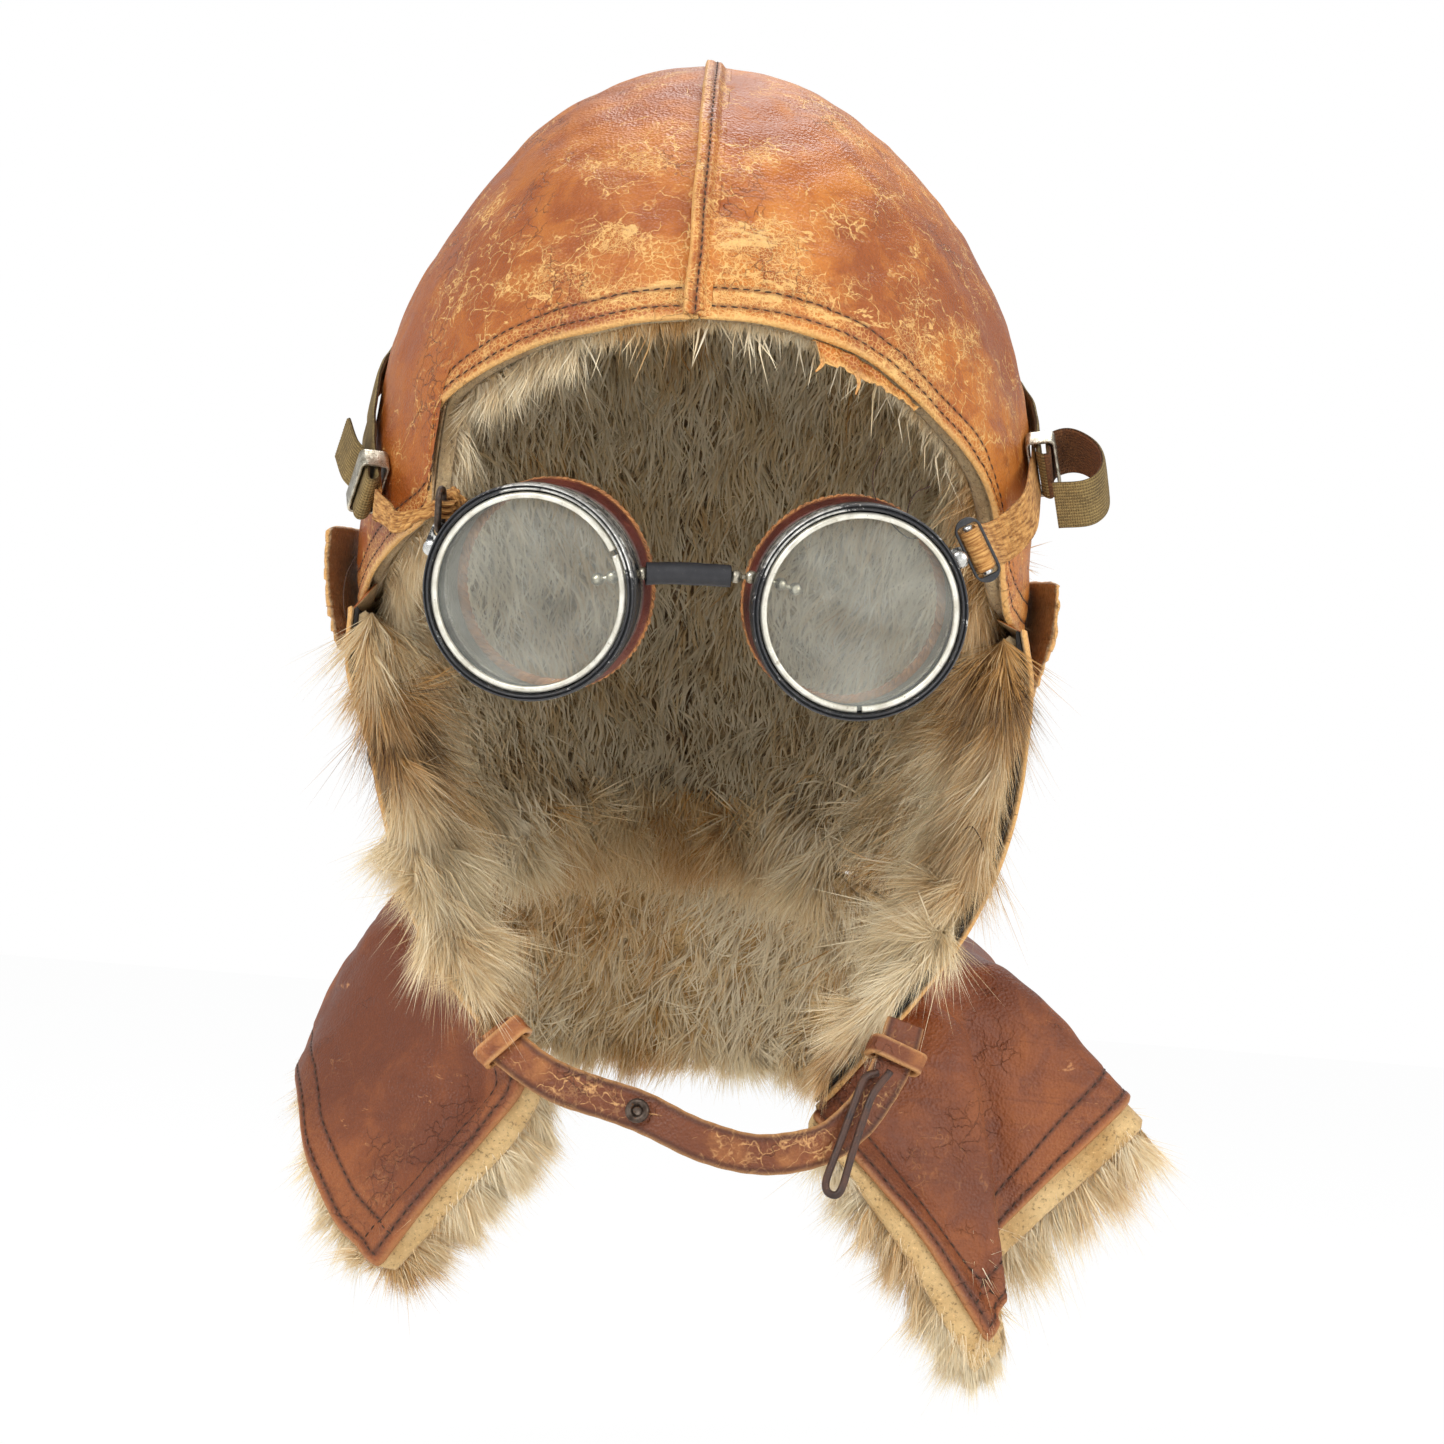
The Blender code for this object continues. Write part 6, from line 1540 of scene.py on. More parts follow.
def rubberFinish():
    # nearly black rubber with pale dust in its pits
    mat, tree, shader = newMaterial("agedRubber")
    slow, fine = noise(tree, 160, 5, 0.65), noise(tree, 1500, 4, 0.7)
    tone = tint(tree, ramp(tree, slow, 0.35, 0.7), (0.0085, 0.0085, 0.011), (0.024, 0.023, 0.026))
    tone = tint(tree, ramp(tree, fine, 0.62, 0.74, 0.0, 0.5), tone, (0.10, 0.095, 0.085))
    tree.links.new(tone, shader.inputs["Base Color"])
    tree.links.new(ramp(tree, fine, 0.3, 0.7, 0.40, 0.62), shader.inputs["Roughness"])
    relief(tree, shader, [(slow, 0.00020), (fine, 0.00005)])
    return mat


finishes["chippedBlack"] = paintFinish()
finishes["creamMetal"] = metalFinish(
    "creamMetal", (0.60, 0.56, 0.46), (0.84, 0.81, 0.71), 0.34, (0.33, 0.28, 0.20), 0.62, 260, 0.55,
)
finishes["oldNickel"] = metalFinish(
    "oldNickel", (0.30, 0.26, 0.19), (0.68, 0.63, 0.51), 0.30, (0.10, 0.07, 0.04), 0.60, 420,
)
finishes["brightSteel"] = metalFinish(
    "brightSteel", (0.50, 0.49, 0.46), (0.82, 0.81, 0.78), 0.24, (0.14, 0.11, 0.08), 0.66, 380,
)
finishes["brownSteel"] = metalFinish(
    "brownSteel", (0.050, 0.034, 0.026), (0.15, 0.115, 0.092), 0.42, (0.16, 0.065, 0.025), 0.58, 520,
)
finishes["gauzeWire"] = metalFinish(
    "gauzeWire", (0.19, 0.17, 0.14), (0.42, 0.40, 0.35), 0.40, (0.05, 0.04, 0.03), 0.58, 700,
)
finishes["hazyGlass"] = glassFinish()
finishes["oxbloodHide"] = cupFinish()
finishes["twistedCord"] = cordFinish()
finishes["agedRubber"] = rubberFinish()


def boredThrough(piece, cutters, mode="DIFFERENCE"):
    # takes tools out of a piece, or joins them to it, and leaves the finished mesh
    for tool in cutters:
        step = piece.modifiers.new("cut", "BOOLEAN")
        step.operation, step.solver, step.object = mode, "EXACT", tool
    bpy.context.view_layer.update()
    ready = piece.evaluated_get(bpy.context.evaluated_depsgraph_get())
    mesh = bpy.data.meshes.new_from_object(ready)
    piece.modifiers.clear()
    old, piece.data = piece.data, mesh
    bpy.data.meshes.remove(old)
    for tool in cutters:
        bpy.data.objects.remove(tool, do_unlink=True)


def looseMesh(name, points, faces):
    # a bare mesh object, used as a cutting tool
    mesh = bpy.data.meshes.new(name)
    mesh.from_pydata(np.asarray(points).tolist(), [], np.asarray(faces).tolist())
    tool = bpy.data.objects.new(name, mesh)
    bpy.context.scene.collection.objects.link(tool)
    return tool


def rod(start, end, radius, sides=40):
    # a plain closed cylinder between two places, used as a cutting tool
    start, end = np.asarray(start, float), np.asarray(end, float)
    ahead = (end - start) / np.linalg.norm(end - start)
    spare = np.array((0.0, 0.0, 1.0)) if abs(ahead[2]) < 0.8 else np.array((1.0, 0.0, 0.0))
    turn = np.linspace(0, 2 * math.pi, sides, endpoint=False)
    ring = np.stack([np.cos(turn), np.sin(turn)], axis=1) * radius
    rings = carried(np.stack([start, end]), np.stack([spare, spare]), ring)
    points = rings.reshape(-1, 3)
    return looseMesh(
        "cuttingRod", points, outwards(points - points.mean(axis=0), loopFaces(2, sides, False)),
    )


def cutPlate(name, outline, holes, middle, axes, thick, mat, body, bevel=0.0002, values=None):
    # a flat outline with holes, filled and given a thickness with rounded edges, its x, y and z along
    # three directions
    shape = bpy.data.curves.new(name, "CURVE")
    shape.dimensions, shape.fill_mode = "2D", "BOTH"
    shape.extrude, shape.bevel_depth, shape.bevel_resolution = thick / 2 - bevel, bevel, 2
    shape.offset = -bevel
    for ring in (outline, *holes):
        line = shape.splines.new("POLY")
        line.points.add(len(ring) - 1)
        line.use_cyclic_u = True
        line.points.foreach_set(
            "co", np.concatenate([ring, np.zeros((len(ring), 1)), np.ones((len(ring), 1))], axis=1).ravel(),
        )
    flat = bpy.data.objects.new(name, shape)
    bpy.context.scene.collection.objects.link(flat)
    bpy.context.view_layer.update()
    mesh = bpy.data.meshes.new_from_object(flat.evaluated_get(bpy.context.evaluated_depsgraph_get()))
    bpy.data.objects.remove(flat, do_unlink=True)
    place = np.zeros(len(mesh.vertices) * 3)
    mesh.vertices.foreach_get("co", place)
    place = place.reshape(-1, 3) @ np.asarray(axes, float) + np.asarray(middle, float)
    mesh.vertices.foreach_set("co", place.ravel())
    tool = bmesh.new()
    tool.from_mesh(mesh)
    bmesh.ops.remove_doubles(tool, verts=tool.verts, dist=1e-7)
    bmesh.ops.recalc_face_normals(tool, faces=tool.faces)
    tool.to_mesh(mesh)
    tool.free()
    for key, amount in (values or {}).items():
        mesh.attributes.new(key, "FLOAT", "POINT").data.foreach_set(
            "value", np.full(len(mesh.vertices), amount),
        )
    mesh.materials.clear()
    mesh.materials.append(mat)
    piece = bpy.data.objects.new(name, mesh)
    bpy.context.scene.collection.objects.link(piece)
    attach(piece, body)
    return piece


def ovalLine(width, length, corner, count=48):
    # the outline of a rectangle with round corners
    turn = np.linspace(0, 2 * math.pi, count, endpoint=False) + math.pi / count
    corner = min(corner, width / 2, length / 2)
    x = np.sign(np.cos(turn)) * (width / 2 - corner) + corner * np.cos(turn)
    y = np.sign(np.sin(turn)) * (length / 2 - corner) + corner * np.sin(turn)
    return np.stack([x, y], axis=1)


def roundLine(radius, x=0.0, y=0.0, count=32):
    # a circle of a radius round (x, y)
    turn = np.linspace(0, 2 * math.pi, count, endpoint=False)
    return np.stack([x + radius * np.cos(turn), y + radius * np.sin(turn)], axis=1)


def turnedSolid(name, profile, place, axes, mat, body, steps=48, values=None):
    # an outline that starts and ends on the axis: the points there are merged into one
    rings = turnedRings(profile, np.asarray(place, float), axes, steps)
    steps, rows = rings.shape[:2]
    i = np.arange(steps)[:, None]
    j = np.arange(rows - 1)[None, :]
    n = (i + 1) % steps
    faces = np.stack(
        [i * rows + j, n * rows + j, n * rows + j + 1, i * rows + j + 1], axis=-1,
    ).reshape(-1, 4)
    points = rings.reshape(-1, 3)
    piece = meshPiece(name, points, outwards(points - points.mean(axis=0), faces), mat, body, None, values)
    shape = bmesh.new()
    shape.from_mesh(piece.data)
    bmesh.ops.remove_doubles(shape, verts=shape.verts, dist=1e-6)
    bmesh.ops.recalc_face_normals(shape, faces=shape.faces)
    shape.to_mesh(piece.data)
    shape.free()
    return piece


def wornShare(label, rings, crest):
    # 1 on the crests of the outline inside the worn arc, less elsewhere
    eye = goggles[label]
    turn = np.degrees(np.linspace(0, 2 * math.pi, len(rings), endpoint=False))
    arc = 1 / (1 + np.exp(-(turn - eye["wornFrom"]) / 5)) / (1 + np.exp((turn - eye["wornTo"]) / 5))
    return ((0.42 + 0.58 * arc)[:, None] * np.asarray(crest)[None, :]).ravel()


def makeRims():
    # bezel, spring ring, glass and rim shell of each eyepiece, each an outline turned round its axis
    for label in ("left", "right"):
        eye, body, big = goggles[label], label + "_eyepiece", label.title()
        place, axes = np.array(eye["place"]), eye["axes"]
        outline = np.array(goggles["bezel"]) * mm
        line = smoothLine(outline[1:-1], 60)
        outline = np.concatenate(
            [
                roundOff(np.array([outline[0], outline[1], outline[1] + 1e-5]), 0.0002, 4, False)[:-1],
                line, outline[-1:],
            ]
        )
        crest = np.clip(
            np.exp(-((outline[:, 1] / 0.0007) ** 2)) + 0.9 * np.exp(
                -(((outline[:, 1] - 0.0012) / 0.0005) ** 2)
            ) + 0.8 * np.exp(-(((outline[:, 1] - 0.0030) / 0.0004) ** 2)) + 0.55,
            0, 1.15,
        )
        crest = crest * np.where(
            (outline[:, 1] > 0.0004) & (outline[:, 0] > 0.0248) & (outline[:, 0] < 0.0252), 0.35, 1.0,
        )
        rings = turnedRings(outline, place, axes, 160)
        bezel = loopPiece(
            "rimBezel" + big, rings, finishes["chippedBlack"], body, True,
            {"worn": wornShare(label, rings, crest)},
        )
        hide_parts("bezel_" + label)
        # the spring ring that holds the glass is cut at one place
        ringLine = roundOff(np.array(goggles["lensRing"]) * mm, 0.00025, 4)
        turn = np.radians(eye["ringGap"] + np.linspace(1.6, 358.4, 220))[:, None]
        x, y, z = np.array(axes)
        r, along = ringLine[None, :, 0] + 0 * turn, ringLine[None, :, 1] + 0 * turn
        rings = place + (
            r * np.cos(turn)
        )[..., None] * x + (r * np.sin(turn))[..., None] * y + along[..., None] * z
        ring = loopPiece("glassRing" + big, rings, finishes["creamMetal"], body)
        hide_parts("lens_ring_" + label)
        glassLine = roundOff(np.array(goggles["lens"]) * mm, 0.0002, 3, False)
        glassLine[0, 0] = glassLine[-1, 0] = 0.0
        glass = turnedSolid("glass" + big, glassLine, place, axes, finishes["hazyGlass"], body, 120)
        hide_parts("lens_" + label)
        shell = roundOff(np.array(goggles["body"]) * mm, 0.00022, 4)
        crest = np.where(shell[:, 0] > 0.0247, 0.85, 0.35)
        rings = turnedRings(shell, place, axes, 150)
        rim = loopPiece(
            "rimShell" + big, rings, finishes["chippedBlack"], body, True,
            {"worn": wornShare(label, rings, crest)},
        )
        nose = localPlace(label, 0.0239, 13.5, 0.0086, temple=False)
        other = localPlace("right" if label == "left" else "left", 0.0239, 13.5, 0.0086, temple=False)
        ahead = (other - nose) / np.linalg.norm(other - nose)
        boredThrough(rim, [rod(nose - ahead * 0.004, nose + ahead * 0.004, 0.0024)])
        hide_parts("rim_body_" + label)


def tubeRings(path, outward, radius, sides=8, closed=False):
    # circles of a given radius, one number or one for each point, carried along a path
    turn = np.linspace(0, 2 * math.pi, sides, endpoint=False)
    ring = np.stack([np.cos(turn), np.sin(turn)], axis=1)
    return carried(path, outward, ring[None] * np.broadcast_to(radius, len(path))[:, None, None], closed)


def manyLoops(name, rings, one, mat, body):
    # the same faces on each of many sets of rings, in one object: rings is (number, rings, sides, 3)
    first = rings[0].reshape(-1, 3)
    one = outwards(first - first.mean(axis=0), one)
    faces = (one[None] + (np.arange(len(rings)) * len(first))[:, None, None]).reshape(-1, 4)
    return meshPiece(name, rings.reshape(-1, 3), faces, mat, body)


def manyTubes(name, paths, outward, radius, mat, body, sides=5):
    # the same tube on each of many short paths, in one object: paths is (number, points, 3)
    count = paths.shape[1]
    ahead = np.gradient(paths, axis=1)
    side = np.cross(ahead, outward)
    side = unit(side)
    out = np.cross(side, ahead)
    out = unit(out)
    turn = np.linspace(0, 2 * math.pi, sides, endpoint=False)
    points = paths[:, :, None] + radius * (
        side[:, :, None] * np.cos(turn)[
            None, None, :, None
        ] + out[:, :, None] * np.sin(turn)[None, None, :, None]
    )
    one = loopFaces(count, sides, False) if sides % 2 == 0 else loopFaces(count, sides, False)[
        : (count - 1) * sides
    ]
    return manyLoops(name, points, one, mat, body)


def cupDepth(label, turn):
    # deepest at the temple, shallowest at the nose: nose + (temple - nose) * (1 + cos) / 2
    share = (1 + goggles[label]["temple"] * np.cos(turn)) / 2
    return (goggles["cupNose"] + (goggles["cupTemple"] - goggles["cupNose"]) * share) * mm


def makeGauze():
    # woven wire: hoops that wave over and under the cross wires by sin, and cross wires that wave by cos
    for label in ("left", "right"):
        eye, body = goggles[label], label + "_eyepiece"
        x, y, z = np.array(eye["axes"])
        wires, hoops = goggles["gauzeWires"], goggles["gauzeHoops"]
        middle, start, deep = goggles[
            "gauzeRadius"
        ] * mm, goggles["gauzeFrom"] * mm, goggles["gauzeDepth"] * mm
        wave = goggles["gauzeWire"] * mm * 0.95
        t = np.linspace(0, 2 * math.pi, wires * 4, endpoint=False)
        rings, level = [], np.linspace(0.08, 0.92, hoops)
        for k in range(hoops):
            r = (middle + wave * np.sin(t * wires / 2 + math.pi * k))[:, None]
            path = np.array(eye["place"]) + r * (
                np.cos(t)[:, None] * x + np.sin(t)[:, None] * y
            ) + (start + deep * level[k]) * z
            rings.append(
                tubeRings(
                    path, np.cos(t)[:, None] * x + np.sin(t)[:, None] * y, goggles["gauzeWire"] * mm, 5,
                    True,
                )
            )
        hoop = manyLoops(
            "gauzeHoops" + label.title(), np.array(rings), loopFaces(len(rings[0]), 5, True),
            finishes["gauzeWire"], body,
        )
        s = np.linspace(0, 1, 17)
        t = (np.arange(wires) + 0.5) * 2 * math.pi / wires
        out = np.cos(t)[:, None] * x + np.sin(t)[:, None] * y
        sway = -np.cos(
            math.pi * (s[None, :] - 0.08) / 0.84 * (hoops - 1)
        ) * np.where(np.arange(wires) % 2, 1, -1)[:, None] * wave
        paths = np.array(eye["place"]) + out[:, None] * (middle + sway)[..., None] + (
            start + deep * s
        )[None, :, None] * z
        wire = manyTubes(
            "gauzeWires" + label.title(), paths, np.broadcast_to(out[:, None], paths.shape),
            goggles["gauzeWire"] * mm, finishes["gauzeWire"], body, 4,
        )
        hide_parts("vent_gauze_" + label)


def makeCups():
    # each eye cup: radius = inner + flare * depth^1.3 + wall, cut off at a depth that grows towards
    # the temple
    for label in ("left", "right"):
        eye, body, big = goggles[label], label + "_eyepiece", label.title()
        x, y, z = np.array(eye["axes"])
        start, inner, wall, flare = (
            goggles[k] * mm for k in ("cupFrom", "cupInner", "cupWall", "cupFlare")
        )
        steps = 220
        turn = np.linspace(0, 2 * math.pi, steps, endpoint=False)
        deep = cupDepth(label, turn)
        # section: (share of the depth, share of the wall), out along the back and in along the lining
        s = np.linspace(0, 1, 18)
        section = np.concatenate(
            [
                np.stack([s, 1 + 0 * s], 1), [[1.02, 0.85], [1.03, 0.5], [1.02, 0.15]],
                np.stack([s[::-1], 0 * s], 1), [[-0.01, 0.5]],
            ]
        )
        along, across = section[:, 0][None, :], section[:, 1][None, :]
        radius = inner + flare * np.clip(along, 0, 1) ** 1.3 + wall * across
        depth = start + deep[:, None] * np.clip(along, 0, 1.0) + 0.00025 * np.clip(
            (along - 1) / 0.03, 0, 1,
        ) + 0 * across
        rings = np.array(eye["place"]) + radius[..., None] * (
            np.cos(turn)[:, None, None] * x + np.sin(turn)[:, None, None] * y
        ) + depth[..., None] * z
        out = np.cos(turn)[:, None, None] * x + np.sin(turn)[:, None, None] * y
        crease = 0.00022 * ripple(
            rings, 0.020, 301 + eye["temple"], 3,
        ) * np.sin(math.pi * np.clip(along, 0, 1))
        rings = rings + out * crease[..., None]
        edge = (deep[:, None] * np.clip(1 - along, 0, 1) + 0 * across).ravel()
        lined = np.broadcast_to(across < 0.6, rings.shape[:2]).astype(float).ravel()
        cup = loopPiece(
            "leatherCup" + big, rings, finishes["oxbloodHide"], body, True, {"edge": edge, "lined": lined},
        )
        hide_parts("eye_cup_" + label)
        # the edging is a rope of plies: each goes round the middle of the cord cordTurns times
        fine = np.linspace(0, 2 * math.pi, 800, endpoint=False)
        middle = inner + flare + wall / 2 - 0.0008
        behind = start + cupDepth(label, fine) + goggles["cordRadius"] * mm + 0.0006
        out = np.cos(fine)[:, None] * x + np.sin(fine)[:, None] * y
        for k in range(goggles["cordPlies"]):
            angle = fine * goggles["cordTurns"] + 2 * math.pi * k / goggles["cordPlies"]
            away = goggles["cordRadius"] * mm * 0.52
            path = np.array(eye["place"]) + out * (
                middle + away * np.cos(angle)
            )[:, None] + (behind + away * np.sin(angle))[:, None] * z
            thick = goggles["cordRadius"] * mm * (0.62 + 0.035 * ripple(path, 0.003, 320 + k, 1))
            loopPiece(
                    "cupCord%s%d" % (big, k), tubeRings(path, out, thick, 8, True), finishes["twistedCord"],
                    body, True,
                )
        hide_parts("cup_edging_" + label)


bridgeLooks = {
    "sleeveOut": 2.65, "sleeveBore": 1.9, "sleeveShare": 0.67, "bead": 1.55, "link": 0.55, "pitch": 3.8,
    "inside": 8.8,
}


def makeBridge():
    # the rubber sleeve, turned round the line between the rims, and the ball chain that runs through it
    holes = {label: localPlace(label, 0.02395, 13.5, 0.0086, temple=False) for label in ("left", "right")}
    ends = {
        label: localPlace(
            label, 0.02395 - bridgeLooks["inside"] * mm, 13.5, 0.0086, temple=False,
        ) for label in ("left", "right")
    }
    line = holes["right"] - holes["left"]
    length = np.linalg.norm(line)
    ahead = line / length
    up = np.array((0.0, 0.0, 1.0))
    side = np.cross(ahead, up)
    side = side / np.linalg.norm(side)
    up = np.cross(side, ahead)
    # the sleeve: an outline closed round its wall, slightly pinched and bowed
    reach = length * bridgeLooks["sleeveShare"]
    start = holes["left"] + ahead * 0.002925
    s = np.linspace(0.012, 0.988, 60)
    big, bore = bridgeLooks["sleeveOut"] * mm, bridgeLooks["sleeveBore"] * mm
    outline = np.concatenate(
        [
            np.stack([big + 0 * s, s * reach], 1),
            [[big * 0.97, reach * 0.998], [(big + bore) / 2, reach], [bore * 1.02, reach * 0.998]],
            np.stack([bore + 0 * s, s[::-1] * reach], 1),
            [[bore * 1.02, 0.002 * reach], [(big + bore) / 2, 0], [big * 0.97, 0.002 * reach]],
        ]
    )
    rings = turnedRings(outline, start, (side, up, ahead), 48)
    offset = rings - start
    along = offset @ ahead
    fromLine = offset - along[..., None] * ahead
    rings = rings + fromLine * (0.025 * ripple(rings, 0.012, 341, 2))[..., None] + up * (
        0.00035 * np.sin(math.pi * along / reach)
    )[..., None]
    sleeve = loopPiece("bridgeSleeve", rings, finishes["agedRubber"], "bridge", True)
    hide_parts("bridge_sleeve")
    # beads: small round ones at one pitch, each a grid from pole to pole with its neck left open
    # round the link
    route = np.array([ends["left"], holes["left"], holes["right"], ends["right"]])
    steps = runOf(route)
    count = round(steps[-1] / (bridgeLooks["pitch"] * mm))
    at = np.linspace(0, steps[-1], count + 1)
    beadPlaces = readOff(at, steps, route)
    fine = np.linspace(0, steps[-1], 160)
    linkPath = readOff(fine, steps, route)
    link = loopPiece(
        "chainLinks", tubeRings(linkPath, np.broadcast_to(up, linkPath.shape), bridgeLooks["link"] * mm, 8),
        finishes["oldNickel"], "bridge",
    )
    way = np.gradient(beadPlaces, axis=0)
    way = unit(way)
    lat = np.linspace(-1.25, 1.25, 13)
    lon = np.linspace(0, 2 * math.pi, 18, endpoint=False)
    radius = bridgeLooks["bead"] * mm
    across = np.cross(way, up)
    across = unit(across)
    upper = np.cross(across, way)
    shape = np.stack(
        [
            np.broadcast_to(np.sin(lat)[:, None], (13, 18)), np.cos(lat)[:, None] * np.cos(lon),
            np.cos(lat)[:, None] * np.sin(lon),
        ],
        axis=-1,
    ) * radius
    points = beadPlaces[:, None, None] + shape[None, ..., :1] * way[:, None, None] + shape[
        None, ..., 1:2
    ] * across[:, None, None] + shape[None, ..., 2:] * upper[:, None, None]
    beads = manyLoops("chainBeads", points, loopFaces(13, 18, False), finishes["oldNickel"], "bridge")
    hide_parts("bridge_chain")


fittings = {
    "lugDegrees": {"left": 22.0, "right": 31.0}, "lugReach": 4.4, "lugHeight": {"left": 8.4, "right": 5.0},
    "lugThick": 1.2,
    "lugRoot": 0.02475, "lugAlong": 0.0086, "plateGap": 0.0003, "lugHole": 1.4, "holeSpread": 2.2,
    "rivet": 2.0, "rivetHead": 1.0, "shank": 0.9,
    "hookWire": 0.8, "hookWidth": 4.2, "hookLength": 10.0,
    "plateWidth": 6.6, "plateLength": 16.5, "plateThick": 1.2, "plateReach": 4.8, "plateRim": 0.7,
    "roller": 1.15, "rollerLength": 12.5,
}


def eyeWays(label, degrees):
    # outwards, upwards and backwards on the temple side at an angle above the level
    eye = goggles[label]
    x, y, z = np.array(eye["axes"])
    side, turn = eye["temple"], math.radians(degrees)
    return side * math.cos(turn) * x + math.sin(turn) * y, -side * math.sin(turn) * x + math.cos(turn) * y, z


def makeLug(label):
    # a small plate at the rim, with its holes; gives the middles of the holes
    size = fittings
    out, up, back = eyeWays(label, size["lugDegrees"][label])
    root = localPlace(label, size["lugRoot"], size["lugDegrees"][label], size["lugAlong"])
    reach, high = size["lugReach"] * mm, size["lugHeight"][label] * mm
    spots = (size["holeSpread"] * mm, -size["holeSpread"] * mm) if label == "left" else (0.0,)
    middle = root + out * (reach / 2 - 0.0004)
    outline = ovalLine(reach + 0.0008, high, 0.0014)
    holes = [roundLine(size["lugHole"] * mm, reach - 0.002 - (reach / 2 - 0.0004), spot) for spot in spots]
    lug = cutPlate(
        "lugPlate" + label.title(), outline, holes, middle, (out, up, back), size["lugThick"] * mm,
        finishes["chippedBlack"], label + "_eyepiece", values={"worn": 0.75},
    )
    return [root + out * (reach - 0.002) + up * spot for spot in spots]


def rivetLine(front):
    # head in front, shank, and the spread tail behind, from axis to axis
    size = fittings
    rear, big, head, shank = 0.0009, size["rivet"] * mm, size["rivetHead"] * mm, size["shank"] * mm
    dome = np.linspace(0, math.pi / 2, 7)
    top = np.stack([big * np.sin(dome), -front - head * np.cos(dome) * 1.0], axis=1)
    tail = np.stack([big * 0.9 * np.sin(dome[::-1]), rear + head * 0.8 * np.cos(dome[::-1])], axis=1)
    return np.concatenate(
        [top, [[big * 0.98, -front], [shank, -front], [shank, rear], [big * 0.88, rear]], tail]
    )


def makeLeftFitting():
    # lug, rivet and the wire hook: two half circles joined by straight legs
    centres = makeLug("left")
    out, up, back = eyeWays("left", fittings["lugDegrees"]["left"])
    side = np.cross(up, back)
    rivet = turnedSolid(
        "lugRivetLeft", rivetLine(0.0009), centres[1], (side, up, back), finishes["brightSteel"],
        "left_eyepiece",
    )
    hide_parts("lug_rivet_left")
    low = centres[0]
    out, up, back = eyeWays("left", 0.0)
    bend, straight = fittings["hookWidth"] * mm / 2, (fittings["hookLength"] - fittings["hookWidth"]) * mm
    half = np.linspace(0, math.pi, 26)
    path = np.concatenate(
        [
            np.stack([np.cos(math.pi + half) * bend, bend + np.sin(math.pi + half) * bend], 1),
            np.stack([np.cos(half) * bend, bend + straight + np.sin(half) * bend], 1),
        ]
    )
    path = resample(np.concatenate([path, path[:1]]), 121)[:-1]
    path = low + path[:, :1] * back + path[:, 1:] * up
    hook = loopPiece(
        "wireHook",
        tubeRings(
            path, np.broadcast_to(out, path.shape),
            fittings["hookWire"] * mm * (1 + 0.05 * ripple(path, 0.004, 361, 2)), 14, True,
        ),
        finishes["brownSteel"], "hook", True,
    )
    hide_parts("wire_hook")


def makeRightFitting():
    # lug, rivet, the slotted plate with its ear, and the roller
    size = fittings
    pin = makeLug("right")[0]
    out, up, back = eyeWays("right", size["lugDegrees"]["right"])
    front = size["lugThick"] * mm / 2 + size["plateGap"] + size["plateThick"] * mm
    rivet = turnedSolid(
        "plateRivet", rivetLine(front + 0.0003), pin, (np.cross(up, back), up, back),
        finishes["brightSteel"], "right_eyepiece",
    )
    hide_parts("plate_rivet")
    middle = pin + out * size["plateReach"] * mm - back * (front - size["plateThick"] * mm / 2)
    slot = ovalLine(
        (size["plateWidth"] - 2 * size["plateRim"]) * mm, (size["rollerLength"] + 0.6) * mm, 0.0009,
    )
    outer = ovalLine(size["plateWidth"] * mm, size["plateLength"] * mm, size["plateWidth"] * mm / 2, 64)
    ear = outer.copy()
    # the ear towards the rivet: the oval's side is drawn out round the pin
    pinAt = -size["plateReach"] * mm
    bulge = np.exp(-((ear[:, 1] / 0.0022) ** 4)) * (ear[:, 0] < 0)
    ear[:, 0] = ear[:, 0] + bulge * (pinAt - 0.0021 - ear[:, 0])
    hole = roundLine(0.0012, pinAt, 0.0)
    plate = cutPlate(
        "rollerPlate", ear, [slot, hole], middle, (out, up, back), size["plateThick"] * mm,
        finishes["chippedBlack"], "plate", values={"worn": 0.35},
    )
    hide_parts("slide_plate")
    # the roller: a turned pin with a collar at each end and a slight waist
    s = np.linspace(-1, 1, 40)
    r = size["roller"] * mm * (0.93 + 0.07 * s**2 - 0.10 * np.exp(-(((np.abs(s) - 0.86) / 0.02) ** 2)))
    line = np.stack([r, s * size["rollerLength"] * mm / 2], axis=1)
    line = np.concatenate(
        [
            [[0, line[0, 1]]], [[r[0] * 0.85, line[0, 1]]], line[1:-1], [[r[-1] * 0.85, line[-1, 1]]],
            [[0, line[-1, 1]]],
        ]
    )
    roller = turnedSolid(
        "steelRoller", line, middle, (out, back, up), finishes["brightSteel"], "roller", 40,
    )
    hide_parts("roller")


makeRims()
makeGauze()
makeCups()
makeBridge()
makeLeftFitting()
makeRightFitting()
print("goggles built")


straps = {
    # route of the webbing round the head: (degrees from the brow, height in mm), left then right
    "webLeft": ((66, 21.5), (76, 35), (88, 46), (105, 56), (130, 63), (158, 66)),
    "webRight": ((158, 66.5), (130, 65), (108, 60), (92, 52), (78, 39)),
    "webWide": 12.5, "webThick": 1.2, "standOff": 0.6, "atSlide": 2.7, "fold": 3.6, "ribs": 15,
    "ribDeep": 0.13,
    "tailLeft": 17.0, "tailLift": 7.5, "loopOut": 15.0, "loopDrop": 23.0,
    "slideLength": 6.0, "slideThick": 0.8, "slideGap": 0.6,
    "elasticWide": 10.5, "elasticThick": 0.8, "elasticLift": 1.6, "narrow": 0.40, "shortEnd": 8.0,
    "bightGap": 0.35,
    "elasticLeft": ((-67, -84, 11.5), (-70.5, -70, 13.5), (-74.5, -57, 16)),
    "elasticRight": ((75, -84, 18), (79.5, -70, 22), (83, -56, 27)),
}


